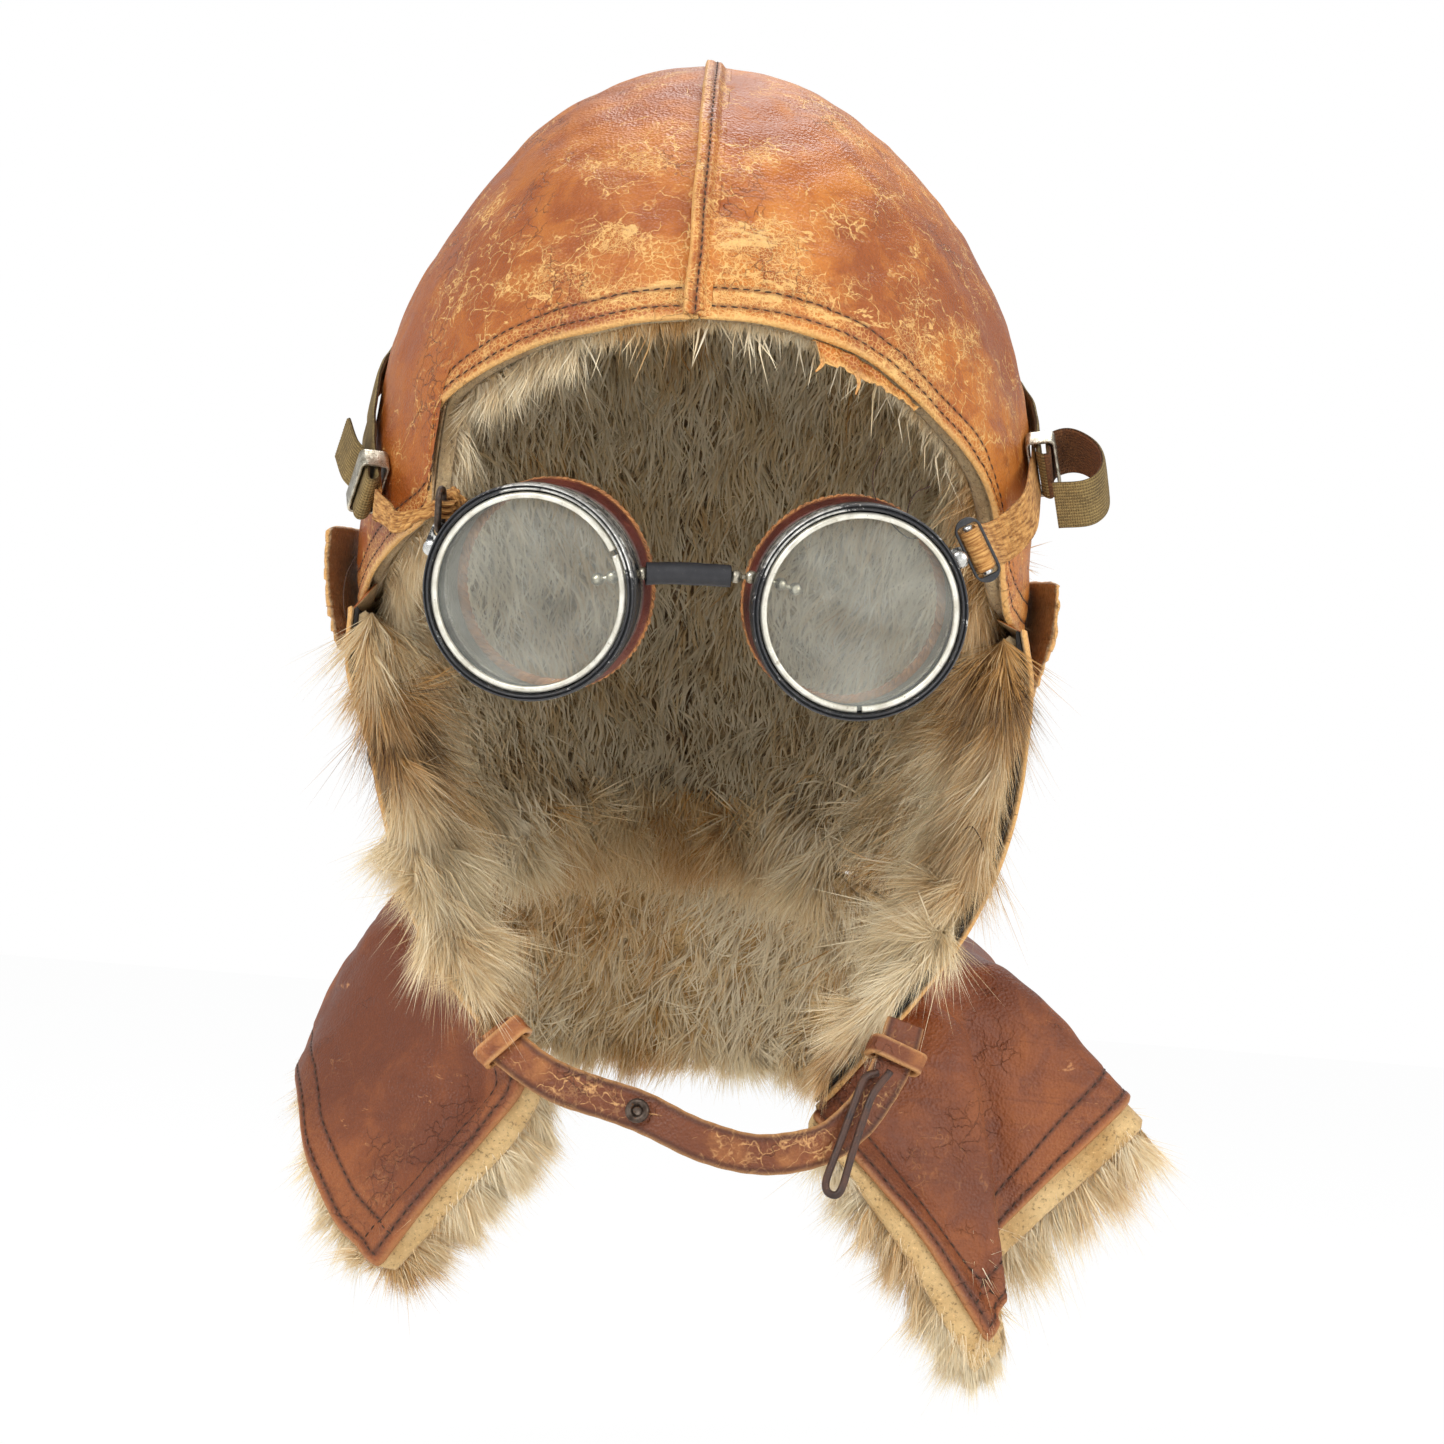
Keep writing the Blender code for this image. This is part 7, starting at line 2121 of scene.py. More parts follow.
def webFinish():
    # ribs along the strap from the piece's own UV map, cross threads between them, a painted golden
    # highlight on the rib crests and painted shade in the grooves
    mat, tree, shader = newMaterial("ribbedWeb")
    along = addNode(tree, "ShaderNodeUVMap", uv_map="along").outputs[0]
    split = addNode(tree, "ShaderNodeSeparateXYZ")
    tree.links.new(along, split.inputs[0])
    rib = times(tree, plus(tree, maths(tree, "SINE", times(tree, split.outputs[1], 7540.0), 0.0), 1.0), 0.5)
    weft = times(
        tree, plus(tree, maths(tree, "SINE", times(tree, split.outputs[0], 11000.0), 0.0), 1.0), 0.5,
    )
    slow = noise(tree, 120, 5, 0.65)
    fine = noise(tree, 1700, 3, 0.7)
    tone = tint(tree, ramp(tree, slow, 0.34, 0.66), (0.115, 0.072, 0.023), (0.245, 0.160, 0.052))
    # painted highlight: golden on the rib crests
    tone = tint(tree, times(tree, rib, ramp(tree, fine, 0.35, 0.7, 0.0, 0.8)), tone, (0.46, 0.32, 0.12))
    # painted shade: dark in the grooves where rib and cross thread are both low
    tone = tint(tree, ramp(tree, plus(tree, rib, weft), 0.55, 0.1, 0.0, 0.7), tone, (0.045, 0.028, 0.010))
    tone = tint(tree, ramp(tree, fine, 0.62, 0.74, 0.0, 0.5), tone, (0.50, 0.30, 0.10))
    tone = tint(
        tree, value(tree, "inside"), tone,
        tint(tree, ramp(tree, fine, 0.35, 0.65), (0.075, 0.026, 0.008), (0.20, 0.075, 0.020)),
    )
    tree.links.new(tone, shader.inputs["Base Color"])
    shader.inputs["Roughness"].default_value = 0.88
    relief(tree, shader, [(weft, 0.00012), (rib, 0.00008), (fine, 0.00018)])
    return mat


def elasticFinish():
    # fine ribs of bright and dark nap along the strap, and painted shade in the hollows of the pleats and of
    # the knot, read from a mesh attribute
    mat, tree, shader = newMaterial("tanElastic")
    along = addNode(tree, "ShaderNodeUVMap", uv_map="along").outputs[0]
    ribs = noise(tree, 1500, 3, 0.6, place=along, stretch=(0.12, 1.0, 1.0))
    fine = noise(tree, 2200, 4, 0.7)
    slow = noise(tree, 150, 5, 0.65)
    tone = tint(tree, ramp(tree, slow, 0.35, 0.65), (0.30, 0.115, 0.022), (0.56, 0.255, 0.062))
    tone = tint(tree, ramp(tree, ribs, 0.45, 0.66, 0.0, 0.7), tone, (0.80, 0.46, 0.15))
    tone = tint(tree, ramp(tree, ribs, 0.46, 0.34, 0.0, 0.75), tone, (0.16, 0.055, 0.012))
    tone = tint(tree, ramp(tree, fine, 0.62, 0.73, 0.0, 0.5), tone, (0.86, 0.56, 0.22))
    # painted shade: dark where the mesh's hollow value is high
    tone = tint(tree, value(tree, "hollowShade"), tone, (0.055, 0.017, 0.005))
    tree.links.new(tone, shader.inputs["Base Color"])
    shader.inputs["Roughness"].default_value = 0.85
    relief(tree, shader, [(ribs, 0.00022), (fine, 0.00022), (slow, 0.0004)])
    return mat


finishes["ribbedWeb"] = webFinish()
finishes["tanElastic"] = elasticFinish()


def webPlaces(count=361):
    # azimuth and height along one smooth line, set on the head at a lift that grows at the slides and
    # over the crown seam
    left = [(-math.radians(a), h * mm) for a, h in straps["webLeft"]]
    right = [(math.radians(a - 360), h * mm) for a, h in straps["webRight"]]
    fine = smoothLine(left + right, 230)
    reach = runOf(fine * (headForm["halfDepth"], 1))
    wanted = np.linspace(0, reach[-1], count)
    azimuth, height = np.interp(wanted, reach, fine[:, 0]), np.interp(wanted, reach, fine[:, 1])
    step = np.arange(count) * 36 / (count - 1)
    end = np.minimum(step, 36 - step) / 3
    lift = headForm["leather"] + straps["standOff"] * mm + (
        straps["atSlide"] - straps["standOff"]
    ) * mm * np.clip(1 - end, 0, None)
    seam = np.abs(np.abs(azimuth) / math.pi - 1) / 0.06
    lift = lift + 0.0018 * np.clip(1.5 - seam, 0, None)
    beyond = -azimuth > math.pi
    onRight, outRight = headPlace(2 * math.pi + azimuth, height, 1, lift[:, None])
    onLeft, outLeft = headPlace(-azimuth, height, -1, lift[:, None])
    return np.where(beyond[:, None], onRight, onLeft), np.where(beyond[:, None], outRight, outLeft)


def foldedEnd(place, ahead, out, table, count):
    # place + a * ahead + b * out for each (a, b) of a smooth line, with the direction square to it
    steps = smoothLine(np.array(table) * mm, count)
    slope = np.gradient(steps, axis=0)
    long = np.linalg.norm(slope, axis=1, keepdims=True)
    path = place + steps[:, :1] * ahead + steps[:, 1:] * out
    return path, (-ahead * slope[:, 1:] + out * slope[:, :1]) / long


def strapSection(wide, thick, ribs=0, deep=0.0, lift=0.0, across=44):
    # two faces and rounded sides: the faces stand up by deep * |cos| at each rib
    s = np.linspace(-1, 1, across)
    bulge = thick / 2 * np.sqrt(
        np.clip(
            1 - np.clip((np.abs(s) * wide / 2 - (wide / 2 - thick * 0.6)) / (thick * 0.6), 0, 1) ** 2, 0, 1,
        )
    )
    rib = deep * np.abs(np.cos(s * ribs * math.pi / 2)) if ribs else 0 * s
    top = np.stack([s * wide / 2, lift + thick / 2 + bulge + rib - deep], axis=1)
    low = np.stack([s * wide / 2, lift + thick / 2 - bulge - rib + deep], axis=1)[::-1]
    return np.concatenate([low, top])


def makeWeb():
    # the webbing: its route round the head with both ends folded back through the slides; then the slides
    size = straps
    path, outward = webPlaces()
    length, fold = size["slideLength"], size["fold"]
    hook = [
        (length / 2, 0), (length, 0), (length + fold / 2, fold / 2), (length, fold), (-length / 2, fold),
    ]
    leftTable = hook + [
        (-size["tailLeft"] / 2, fold + size["tailLift"] / 3), (-size["tailLeft"], size["tailLift"]),
    ]
    rightTable = hook + [
        (-length, fold + size["loopOut"] / 4), (-length / 2, size["loopOut"] * 0.75),
        (length, size["loopOut"]),
        (size["loopDrop"] * 0.75, size["loopOut"]), (size["loopDrop"], size["loopOut"] * 0.75),
        (size["loopDrop"], fold),
    ]
    ends = {}
    for label, k, n in (("left", 0, 10), ("right", -1, -11)):
        ahead = path[k] - path[n]
        ends[label] = (path[k], ahead / np.linalg.norm(ahead), outward[k])
    first, firstOut = foldedEnd(*ends["left"], leftTable, 90)
    last, lastOut = foldedEnd(*ends["right"], rightTable, 160)
    route = np.concatenate([first[::-1], path[1:-1], last])
    facing = np.concatenate([firstOut[::-1], outward[1:-1], lastOut])
    section = strapSection(size["webWide"] * mm, size["webThick"] * mm, size["ribs"], size["ribDeep"] * mm)
    rings = carried(route, facing, section)
    sway = 0.00025 * ripple(rings, 0.03, 401, 2)
    rings = rings + facing[:, None] * sway[..., None] * np.clip(
        1 - np.linspace(-1, 1, len(route)) ** 8, 0, 1,
    )[:, None, None]
    inside = np.concatenate([np.ones(44), np.zeros(44)])
    far = np.zeros(len(route))
    far[-150:] = np.linspace(0, 1, 150) > 0.15
    web = loopPiece(
        "gogglesWeb", rings, finishes["ribbedWeb"], "helmet", False,
        {"inside": (far[:, None] * inside[None, :]).ravel()},
    )
    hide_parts("goggle_web")
    # each slide: a band of sheet metal bent into a rectangle round the folded webbing and the elastic
    for label in ("left", "right"):
        end, ahead, out = ends[label]
        wall, gap = size["slideThick"] * mm, size["slideGap"] * mm
        wide = size["webWide"] * mm + 2 * gap
        high = (size["atSlide"] - size["elasticLift"] + fold) * mm + 2 * gap
        start = end - out * ((size["atSlide"] - size["elasticLift"]) * mm + gap)
        side = np.cross(ahead, out)
        ring = ovalLine(wide + wall, high + wall, 0.0012, 96)
        places = start + out * high / 2 + ring[:, :1] * side + ring[:, 1:] * out
        away = np.roll(places, -1, axis=0) - np.roll(places, 1, axis=0)
        away = np.cross(away, ahead)
        corners = roundOff(
            [
                (-length * mm / 2, -wall / 2), (length * mm / 2, -wall / 2), (length * mm / 2, wall / 2),
                (-length * mm / 2, wall / 2),
            ],
            0.0003, 4,
        )
        slide = loopPiece(
            "webSlide" + label.title(), carried(places, away, corners, True), finishes["oldNickel"],
            "slide_" + label, True,
        )
        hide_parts("web_slide_" + label)
    return ends


def bight(centre, out, back, radius):
    # in front of the bar from the short inner end, half a turn round it, and out again
    turn = np.linspace(0, math.pi, 22)[:, None]
    way = -out * np.cos(turn) - back * np.sin(turn)
    tail = np.linspace(straps["shortEnd"] * mm, 0.0004, 14)[:, None]
    run = np.linspace(0.0004, straps["shortEnd"] * mm / 2, 8)[:, None]
    path = np.concatenate(
        [centre - out * radius + back * tail, centre + way * radius, centre + out * radius + back * run]
    )
    facing = np.concatenate([np.broadcast_to(-out, (14, 3)), way, np.broadcast_to(out, (8, 3))])
    return path, facing


def makeElastic(label, bar, radius, out, back, slide):
    # one elastic: its section carried from the bar it goes round to the slide it is sewn behind
    size = straps
    end, ahead, slideOut = slide
    under = end - slideOut * (size["atSlide"] - size["elasticLift"]) * mm
    path, facing = bight(bar, out, back, radius)
    half = ahead * size["slideLength"] * mm / 2
    tail = [under + half * 3 - slideOut * size["elasticThick"] * mm / 2, under + half, under - half]
    run = smoothLine([path[-1], *(np.array(size["elastic" + label.title()]) * mm), *tail], 170)[1:]
    blendTo = np.linspace(0, 1, len(run))[:, None]
    route = np.concatenate([path, run])
    facing = np.concatenate([facing, out + (slideOut - out) * blendTo])
    narrow = size["narrow"] if label == "left" else 1.0
    share = np.concatenate([np.full(len(path), narrow), np.linspace(narrow, 1.0, len(run))])
    s = np.linspace(-1, 1, 44)
    flat = strapSection(size["elasticWide"] * mm, size["elasticThick"] * mm, 9, 0.00006)
    section = np.repeat(flat[None], len(route), axis=0)
    section[..., 0] *= share[:, None]
    # gathered where it is drawn in: pleats of cos across the strap, and slanting creases that fade
    # towards the slide
    reach = runOf(route)
    across = np.concatenate([s[::-1], s])
    fade = np.exp(
        -np.clip(reach - 0.012, 0, None) / 0.012
    ) * np.clip(reach / 0.004, 0, 1) if label == "left" else 0.0 * reach
    crease = np.exp(-(((reach - (0.040 if label == "right" else 0.035)) / 0.014) ** 2))
    wave = fade[:, None] * 0.00075 * np.cos(across[None, :] * 8.2 + 1.4 * np.sin(reach * 900)[:, None])
    slant = crease[:, None] * 0.00028 * np.sin(reach[:, None] * 2600 + across[None, :] * 3.4)
    section[..., 1] += wave + slant
    # painted shade in the hollows of the pleats: highest where the gathered and slanting folds dip
    hollowShade = np.clip(-(wave / 0.00075 * 0.9 + slant / 0.00028 * 0.55) - 0.25, 0, 0.85)
    rings = carried(route, facing, section)
    strap = loopPiece(
        "gogglesElastic" + label.title(), rings, finishes["tanElastic"], None, False,
        {"hollowShade": hollowShade.ravel()},
    )
    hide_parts("elastic_" + label)
    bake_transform(strap)
    if label == "left":
        # the knot behind the hook: a lumpy coil of the same strap drawn round itself
        turn = np.linspace(0, 2 * math.pi, 150, endpoint=False)
        centre = bar + back * 0.0062 + out * radius * 0.2
        up = np.cross(back, out)
        for k, (shift, wide, high) in enumerate(((0.0, 3.1, 2.3), (0.0026, 2.7, 2.6), (0.0049, 2.3, 1.9))):
            slope = 0.0011 * np.sin(turn * (k + 1) + k)[:, None]
            knot = centre + up * (
                np.cos(turn) * wide * mm
            )[:, None] + out * (np.sin(turn) * high * mm)[:, None] + back * (shift + slope)
            thick = 0.00115 * (1 + 0.30 * ripple(knot, 0.004, 421 + k, 3))
            ring = tubeRings(
                knot, up * np.cos(turn)[:, None] + out * np.sin(turn)[:, None], thick, 16, True,
            )
            ring = ring + (ring - knot[:, None]) * (0.25 * ripple(ring, 0.0016, 431 + k, 2))[..., None]
            # random dark patches of painted shade over the coil
            dark = np.clip(-ripple(ring, 0.0022, 441 + k, 2) - 0.1, 0, 0.8)
            coil = loopPiece(
                "elasticKnot%d" % k, ring, finishes["tanElastic"], None, True, {"hollowShade": dark.ravel()},
            )
            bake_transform(coil)


flaps = {
    "rear": 0.55, "front": 0.46, "top": 11.0, "height": 29.0, "round": 0.45, "standOff": 5.5,
    "baseLeft": 2.7, "baseRight": 2.4, "thick": 1.4,
}


def makeEarFlaps():
    # the flap's free edge stands off by s^2 and its lower front corner is rounded off by t^3
    for label, side in (("left", -1), ("right", 1)):
        s, t = np.linspace(0, 1, 70)[:, None], np.linspace(0, 1, 80)[None, :]
        rear, front = flaps["rear"] * math.pi, flaps["front"] * math.pi
        ragged = 1 + 0.035 * np.sin(t * 23 + side) * s**4 + 0.02 * np.sin(t * 61) * s**6
        azimuth = rear + (front - rear) * s * (1 - flaps["round"] * t**3 * s) * ragged
        height = (flaps["top"] - flaps["height"] * t) * mm + 0 * s
        lift = (flaps["base" + label.title()] + flaps["standOff"] * s**2 * (1 + 0.12 * np.sin(t * 5))) * mm
        grid = headPlace(azimuth, height, side, lift[..., None])[0]
        away = directions(grid)
        edge = np.minimum(
            np.minimum(acrossTo(grid, True), acrossTo(grid, False)),
            np.minimum(downTo(grid), downTo(grid, False)),
        )
        outer = grid + away * (
            flaps["thick"] * mm + 0.00025 * ripple(grid, 0.012, 451 + side, 3)
        )[..., None]
        flap = closedLayer(
            "earFlap" + label.title(), outer, grid, finishes["crownHide"], "ear_flap_" + label,
            {"edge": edge, "seam": abs(edge - 0.002)},
        )
        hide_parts("ear_flap_" + label)
        line = rowOn(
            np.swapaxes(outer, 0, 1), np.swapaxes(directions(outer), 0, 1), acrossTo(grid, True).T, 0.002,
            0.0,
        )
        sewnRow("earFlapThread" + label.title(), line, slice(4, -8), "ear_flap_" + label)


facing = {"from": 0.115, "to": 0.235, "gap": 0.4, "drop": 5.0, "thick": 1.0, "lift": -0.4}


def makeBrowFacing():
    # a strip below the hem whose lower edge is torn: drop * (0.45 + 0.55 * ripple), curling out by t^2
    line = smoothLine(panels["edgeRight"], 400)
    share = line[:, 0] / 180
    low, high = int(np.argmax(share > facing["from"])), int(np.argmax(share > facing["to"]))
    line = smoothLine(line[low:high:3], 220)
    azimuth, height = np.radians(line[:, 0])[:, None], line[:, 1][:, None] * mm
    t = np.linspace(0, 1, 26)[None, :]
    place = headPlace(azimuth[:, 0], height[:, 0], 1)[0]
    tear = 0.5 + 0.36 * ripple(place, 0.016, 461, 3) + 0.06 * ripple(place, 0.002, 462, 2)
    ends = np.clip(np.minimum(np.linspace(0, 1, 220), np.linspace(1, 0, 220)) / 0.05, 0.1, 1)
    drop = np.clip(tear, 0.14, 1.0)[:, None] * ends[:, None] * facing["drop"] * mm
    grid, out = headPlace(
        azimuth, height - facing["gap"] * mm - drop * t, 1,
        (facing["lift"] * mm + 0.0007 * t**2 + 0 * azimuth)[..., None],
    )
    inner = grid - out * facing["thick"] * mm * (1 - 0.5 * t**3)[..., None]
    edge = drop * (1 - t)
    strip = closedLayer(
        "browFacing", grid + out * (0.00018 * ripple(grid, 0.005, 463, 3))[..., None], inner,
        finishes["crownHide"], "helmet", {"edge": edge * 0.6, "seam": np.ones_like(edge)},
    )
    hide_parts("brow_facing")
    # two torn shreds that hang from it
    for k, (at, long) in enumerate(((0.40, 0.0052), (0.05, 0.0034))):
        i = int(at * 219)
        start = grid[i, -3]
        down = np.array((0.18 * (1 - 2 * k), -0.25, -1.0))
        s = np.linspace(0, 1, 30)[:, None]
        path = start + down * long * s + np.array((0.0006, 0.0004, 0)) * np.sin(s * 4)
        section = strapSection(0.0016, 0.0007, across=8) * (1 - 0.75 * s[:, :, None])
        shred = loopPiece(
            "browShred%d" % k, carried(path, np.broadcast_to(out[i, -3], path.shape), section),
            finishes["crownHide"], "helmet", False, {"edge": 0.0005, "seam": 1.0, "under": 0.0},
        )


chin = {
    "line": (
        (-36, -73, -107.5), (-31, -75, -112.6), (-19, -80, -119), (0, -86, -123.6), (15.5, -88.5, -129.4),
        (30, -87, -131.8),
        (44, -83.5, -128.8), (52, -81, -122.5), (57, -78, -115), (60.5, -75, -107), (62.5, -72, -98.5),
    ),
    "wide": 9.8, "thick": 2.0, "lean": 0.35, "studAt": 0.30, "studRadius": 3.0, "studHeight": 2.0,
    "keeperWide": 5.0, "keeperThick": 1.4, "keeperGap": 0.9,
    "lace": (
        (56.5, -79.8, -110.5), (53.5, -81.5, -112), (51.5, -83.7, -118), (49.5, -85.6, -125),
        (47.4, -87.3, -132), (46.1, -88, -137),
        (46.8, -88.4, -139.4), (48.9, -88.5, -139.8), (50.2, -88, -137.5), (51.7, -86.5, -130.5),
        (53.8, -84.9, -122), (55.8, -83, -115.5),
        (59.5, -80.5, -110),
    ),
    "laceRadius": 0.95,
}


def chinPath(count):
    # the strap's smooth line and the way its face looks at each place
    coarse = smoothLine(np.array(chin["line"]) * mm, 34)
    fine = smoothLine(coarse, count)
    out = np.stack(
        [fine[:, 0] / headForm["halfWidth"] * chin["lean"], -1 + 0 * fine[:, 0], 0 * fine[:, 0]], axis=1,
    )
    return fine, out


def laceFinish():
    # dark leather with a slight gloss
    mat, tree, shader = newMaterial("darkLace")
    slow, fine = noise(tree, 260, 5, 0.65), noise(tree, 1800, 4, 0.7)
    tone = tint(tree, ramp(tree, slow, 0.35, 0.65), (0.026, 0.011, 0.007), (0.085, 0.034, 0.018))
    tone = tint(tree, ramp(tree, fine, 0.60, 0.73, 0.0, 0.6), tone, (0.24, 0.105, 0.045))
    tree.links.new(tone, shader.inputs["Base Color"])
    tree.links.new(ramp(tree, slow, 0.3, 0.7, 0.38, 0.62), shader.inputs["Roughness"])
    relief(tree, shader, [(slow, 0.0003), (fine, 0.0001)])
    return mat


finishes["darkLace"] = laceFinish()


def studLine(radius, height, foot=0.0003):
    # an eyelet: a rolled rim round a sunk middle, on a short neck
    turn = np.linspace(math.pi * 0.98, -0.15 * math.pi, 14)
    crest, size = radius * 0.70, radius * 0.29
    roll = np.stack([crest + size * np.cos(turn), height - size + size * np.sin(turn)], axis=1)
    bowl = [(0.0, height * 0.30), (radius * 0.28, height * 0.30), (radius * 0.36, height * 0.36)]
    return np.concatenate(
        [bowl, roll, [(radius * 0.62, height * 0.34), (radius * 0.55, foot), (0.0, foot)]]
    )


def domeLine(radius, height, foot=0.0003):
    # a dome of a radius and height on a low foot, from axis to axis
    turn = np.linspace(math.pi / 2, -0.1, 14)
    dome = np.stack([radius * np.cos(turn), height * 0.5 + height * 0.5 * np.sin(turn)], axis=1)
    dome[0, 0] = 0.0
    return np.concatenate(
        [
            dome,
            [
                (radius * 0.8, height * 0.36), (radius * 0.55, height * 0.34), (radius * 0.55, foot),
                (0.0, foot),
            ],
        ]
    )


def frameFacing(out):
    # two directions square to the given one
    out = np.asarray(out, float) / np.linalg.norm(out)
    side = np.cross((0.0, 0.0, 1.0), out)
    side = side / np.linalg.norm(side)
    return side, np.cross(out, side), out


def makeChinStrap():
    # strap, stud, two keepers bent into rings, and the lace
    size = chin
    path, outward = chinPath(300)
    wide, thick = size["wide"] * mm, size["thick"] * mm
    section = strapSection(wide, thick, lift=-thick / 2, across=40)
    # a pinked groove along the upper edge: dips at one pitch in the front face
    reach = runOf(path)
    sections = np.repeat(section[None], len(path), axis=0)
    across = sections[..., 0] / (wide / 2)
    front = sections[..., 1] > 0
    groove = np.exp(-(((np.abs(across) - 0.78) / 0.05) ** 2))
    pinked = 0.55 + 0.45 * np.sin(reach[:, None] * 2 * math.pi / 0.0021)
    sections[..., 1] -= 0.00022 * groove * pinked * front
    sections[..., 0] *= 1 + 0.012 * np.sin(reach[:, None] * 330) + 0.008 * np.sin(reach[:, None] * 1270)
    rings = carried(path, outward, sections)
    rings = rings + 0.00012 * ripple(rings, 0.02, 501, 3)[..., None] * outward[:, None]
    edge = (wide / 2 * (1 - np.abs(across))).ravel()
    strap = loopPiece(
        "chinStrap", rings, finishes["strapHide"], "chin_strap", False,
        {"edge": edge, "seam": (wide / 2 * np.abs(np.abs(across) - 0.78)).ravel(), "under": 0.0},
    )
    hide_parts("chin_strap")
    coarse = smoothLine(np.array(size["line"]) * mm, 34)
    facing34 = np.stack(
        [coarse[:, 0] / headForm["halfWidth"] * size["lean"], -1 + 0 * coarse[:, 0], 0 * coarse[:, 0]],
        axis=1,
    )
    at = round(size["studAt"] * 33)
    ahead = coarse[at + 1] - coarse[at - 1]
    out = np.cross(np.cross(ahead, facing34[at]), ahead)
    out = out / np.linalg.norm(out)
    stud = turnedSolid(
        "chinStud", studLine(size["studRadius"] * mm, size["studHeight"] * mm),
        coarse[at] + out * thick / 2, frameFacing(out), finishes["brownSteel"], "chin_strap", 56,
    )
    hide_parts("chin_strap_stud")
    for label, at in (("left", 2), ("right", 30)):
        ahead = coarse[at + 1] - coarse[at - 1]
        ahead = ahead / np.linalg.norm(ahead)
        side = np.cross(ahead, facing34[at])
        side = side / np.linalg.norm(side)
        out = np.cross(side, ahead)
        high, wall = thick + 2 * size["keeperGap"] * mm, size["keeperThick"] * mm
        ring = ovalLine(wide + 2 * size["keeperGap"] * mm + wall, high + wall, 0.0017, 110)
        places = coarse[at] + ring[:, :1] * side + ring[:, 1:] * out
        around = np.cross(np.roll(places, -1, axis=0) - np.roll(places, 1, axis=0), ahead)
        long = size["keeperWide"] * mm
        corners = roundOff(
            [
                (-long / 2, -wall / 2), (0, -wall / 2), (long / 2, -wall / 2), (long / 2, wall / 2),
                (long * 0.2, wall * 0.56), (-long * 0.2, wall * 0.56), (-long / 2, wall / 2),
            ],
            0.0006, 5,
        )
        rings = carried(places, around, corners, True)
        rings = rings + (rings - coarse[at]) * (0.018 * ripple(rings, 0.006, 511, 2))[..., None]
        edge = np.broadcast_to(long / 2 - np.abs(corners[:, 0]), rings.shape[:2]).ravel()
        keeper = loopPiece(
            "strapKeeper" + label.title(), rings, finishes["strapHide"], "chin_strap", True,
            {"edge": edge, "seam": 1.0, "under": 0.0},
        )
        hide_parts("strap_keeper_" + label)
    # the lace: a round thong, slightly flattened and twisted as it runs
    line = resample(smoothLine(np.array(size["lace"]) * mm, 240), 160)
    turn = np.linspace(0, 4 * math.pi, 160)[:, None]
    outward = np.stack([np.sin(turn[:, 0]), -np.cos(turn[:, 0]), 0.3 + 0 * turn[:, 0]], axis=1)
    lace = loopPiece(
        "chinLace", tubeRings(line, outward, size["laceRadius"] * mm, 14), finishes["darkLace"],
        "chin_strap",
    )
    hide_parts("chin_lace")


def makePressStuds():
    # a domed stud on each cheek, below the ear flap
    for label, spot in (("left", (0.3, 0.36)), ("right", (0.35, 0.2))):
        grid, away, _ = cheeks[label]
        columns, rows = grid.shape[:2]
        i = round(round(spot[0] * 8) / 8 * (columns - 1))
        j = round(round(spot[1] * 10) / 10 * (rows - 1))
        stud = turnedSolid(
            "pressStud" + label.title(), domeLine(0.0035, 0.0026),
            grid[i, j] + away[i, j] * headForm["leather"], frameFacing(away[i, j]), finishes["brownSteel"],
            "helmet", 56,
        )
        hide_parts("press_stud_" + label)


def makeLooseThreads():
    # torn threads: a smooth line through a few places each, as thin tubes
    threads = (
        (
            "blackThreadA", (46, -88, 38),
            ((0.0, 0, 0), (-2, -2, -7), (0.5, -2, -15), (7, -1, -21), (12, 1, -20)),
        ),
        (
            "blackThreadB", (58, -83, 30),
            ((0, 0, 0), (-3.5, -1.5, -2), (-5, -2, -7), (-3, -1, -11), (1.5, 0, -13.5)),
        ),
        ("blackThreadC", (-80.5, -20, 4), ((0, 0, 0), (-2, -3, -6), (-1.5, -4, -14), (2, -2, -20))),
        ("blackThreadD", (73, -46, -52), ((0, 0, 0), (2.5, -4, 1.5), (5, -6, -2), (6, -5, -6))),
    )
    for name, start, steps in threads:
        path = smoothLine((np.array(start) + np.array(steps)) * mm, 50)
        thread = loopPiece(
            name, tubeRings(path, np.broadcast_to((0.3, -1.0, 0.2), path.shape), 0.00016, 6),
            finishes["waxedThread"], "helmet",
        )


def makeElastics(slides):
    # the left one goes round the back leg of the hook, the right one round the roller
    size = fittings
    lugOut, lugUp, _ = eyeWays("left", size["lugDegrees"]["left"])
    root = localPlace("left", size["lugRoot"], size["lugDegrees"]["left"], size["lugAlong"])
    low = root + lugOut * (size["lugReach"] - 2) * mm + lugUp * size["holeSpread"] * mm
    out, up, back = eyeWays("left", 0.0)
    bend = size["hookWidth"] * mm / 2
    leg = low + up * (bend + (size["hookLength"] - size["hookWidth"]) * mm / 2) + back * bend
    makeElastic("left", leg, (size["hookWire"] + straps["bightGap"]) * mm, out, back, slides["left"])
    out, _, back = eyeWays("right", size["lugDegrees"]["right"])
    pin = localPlace(
        "right", size["lugRoot"], size["lugDegrees"]["right"], size["lugAlong"],
    ) + out * (size["lugReach"] - 2) * mm
    bar = pin + out * size["plateReach"] * mm - back * (
        (size["lugThick"] + size["plateThick"]) * mm / 2 + size["plateGap"]
    )
    makeElastic("right", bar, (size["roller"] + straps["bightGap"]) * mm, out, back, slides["right"])


makeElastics(makeWeb())
makeEarFlaps()
makeBrowFacing()
makeChinStrap()
makePressStuds()
makeLooseThreads()
print("straps, flaps and chin strap built")
seams = {"sunk": 0.0004, "wall": 0.0008, "lap": 0.0016}


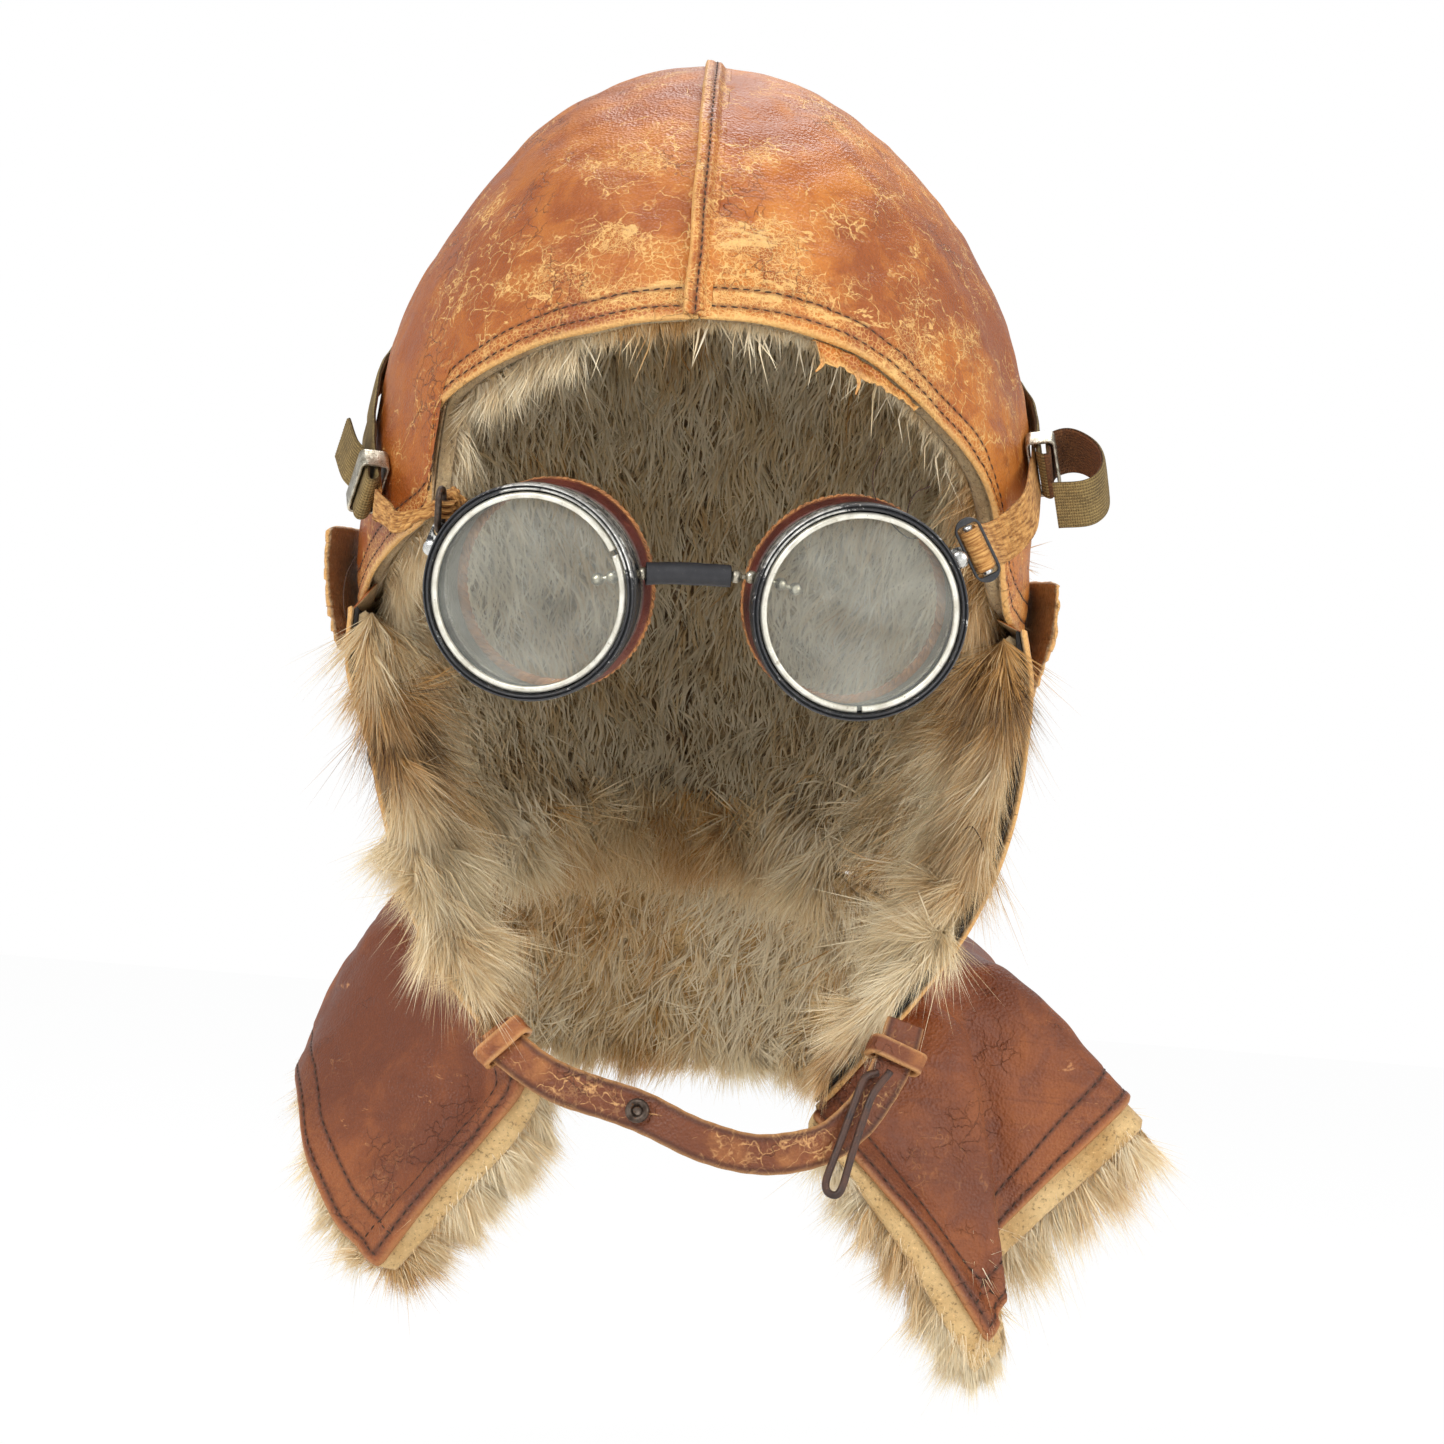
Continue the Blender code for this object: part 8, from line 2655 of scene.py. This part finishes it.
def seamStrip(name, near, far, away, finish):
    # a strip between an edge and the nearest places of the edge beside it, sunk under both:
    # near + across * (-lap + (reach + 2 lap) * s), one wall thick along the outward direction
    gaps = np.linalg.norm(near[:, None] - far[None], axis=2)
    other = far[np.argmin(gaps, axis=1)]
    smooth = np.stack(
        [np.convolve(np.pad(other[:, k], 4, mode="edge"), np.ones(9) / 9, mode="valid") for k in range(3)],
        axis=1
    )
    across = smooth - near
    reach = np.linalg.norm(across, axis=1, keepdims=True)
    across = across / np.maximum(reach, 0.0006)
    s = np.linspace(0, 1, 9)[None, :, None]
    outer = near[:, None] + across[:, None] * (
        -seams["lap"] + (reach[:, None] + 2 * seams["lap"]) * s
    ) - away[:, None] * seams["sunk"]
    inner = outer - away[:, None] * seams["wall"]
    piece = closedLayer(name, outer, inner, finishes[finish], "helmet", farFromEdges(outer))
    return piece


def makeSeams():
    # strips that close the joins of cheek and crown, and of cheek and cape
    thick = headForm["leather"]
    for label in ("left", "right"):
        grid, away, outer = cheeks[label]
        low = crown[label][0][:, 0]
        # over the ear: the cheek's top and back edges run on under the crown's hem
        edge = np.concatenate([grid[2:, 0], grid[-1, 1:-3]])
        edgeAway = np.concatenate([away[2:, 0], away[-1, 1:-3]])
        seamStrip(
            "earTurning" + label.title(), edge + edgeAway * thick * 0.6, low, edgeAway, "crownHide",
        )
        # at the neck: the cheek's lower edge runs on under the cape's top
        top = cape[label.title()][3][:, 0]
        seamStrip(
            "neckTurning" + label.title(), outer[1:-1, -1], top, away[1:-1, -1], "capeHide",
        )


slit = {"near": (-54.0, -58.0, -86.5), "long": 17.0, "wide": 5.6, "lip": 1.5, "inset": 7.0}


def makeCheekSlit():
    # a bound slot low on the left cheek: lip = round section carried on an oval, with a painted shadow in
    # its middle, a dark disc inside the lip
    grid, away, outer = cheeks["left"]
    near = np.array(slit["near"]) * mm
    j = int(np.argmin(np.linalg.norm(outer[0] - near, axis=1)))
    inset = acrossTo(grid, False)[:, j]
    i = int(np.argmin(np.abs(inset - slit["inset"] * mm)))
    middle, out = outer[i, j], away[i, j]
    ahead = outer[0, min(j + 6, outer.shape[1] - 1)] - outer[0, j - 6]
    ahead = ahead - out * (ahead @ out)
    ahead = ahead / np.linalg.norm(ahead)
    side = np.cross(ahead, out)
    turn = np.linspace(0, 2 * math.pi, 72, endpoint=False)
    long, wide = slit["long"] * mm / 2, slit["wide"] * mm / 2
    # a lens-shaped opening, blunt at its ends
    x, y = long * np.cos(turn), wide * np.sin(turn) * np.abs(np.sin(turn)) ** 0.3
    places = middle + x[:, None] * ahead + y[:, None] * side
    # set on the panel itself, place by place
    flat = outer.reshape(-1, 3)
    index = np.argmin(np.linalg.norm(places[:, None] - flat[None], axis=2), axis=1)
    flatAway = away.reshape(-1, 3)[index]
    lift = np.sum((flat[index] - places) * flatAway, axis=1)
    places = places + flatAway * (lift + 0.0002)[:, None]
    t = np.linspace(0, 2 * math.pi, 10, endpoint=False)
    section = np.stack([slit["lip"] * mm * np.cos(t), 0.62 * slit["lip"] * mm * np.sin(t)], axis=1)
    rings = carried(places, flatAway, section, True)
    rings = rings + 0.00015 * ripple(rings, 0.004, 611, 2)[..., None] * out
    lip = loopPiece(
        "cheekSlitLip", rings, finishes["capeHide"], "helmet", True,
        {"edge": np.full(rings.shape[:2], 0.004).ravel(), "seam": 1.0, "under": 0.0},
    )
    share = np.array([0.02, 0.5, 1.0])[None, :, None]
    disc = places.mean(axis=0) + (places[:, None] - places.mean(axis=0)) * share
    disc = np.concatenate([disc, disc[:1]])
    discAway = np.broadcast_to(out, disc.shape)
    # painted shadow: a near-black disc fills the slot's opening
    dark = closedLayer(
        "cheekSlitShadow", disc + discAway * 0.0003, disc - discAway * 0.0003, finishes["blackBackingAndSlitShadow"],
        "helmet", farFromEdges(disc),
    )


makeSeams()
makeCheekSlit()
print("seams closed")
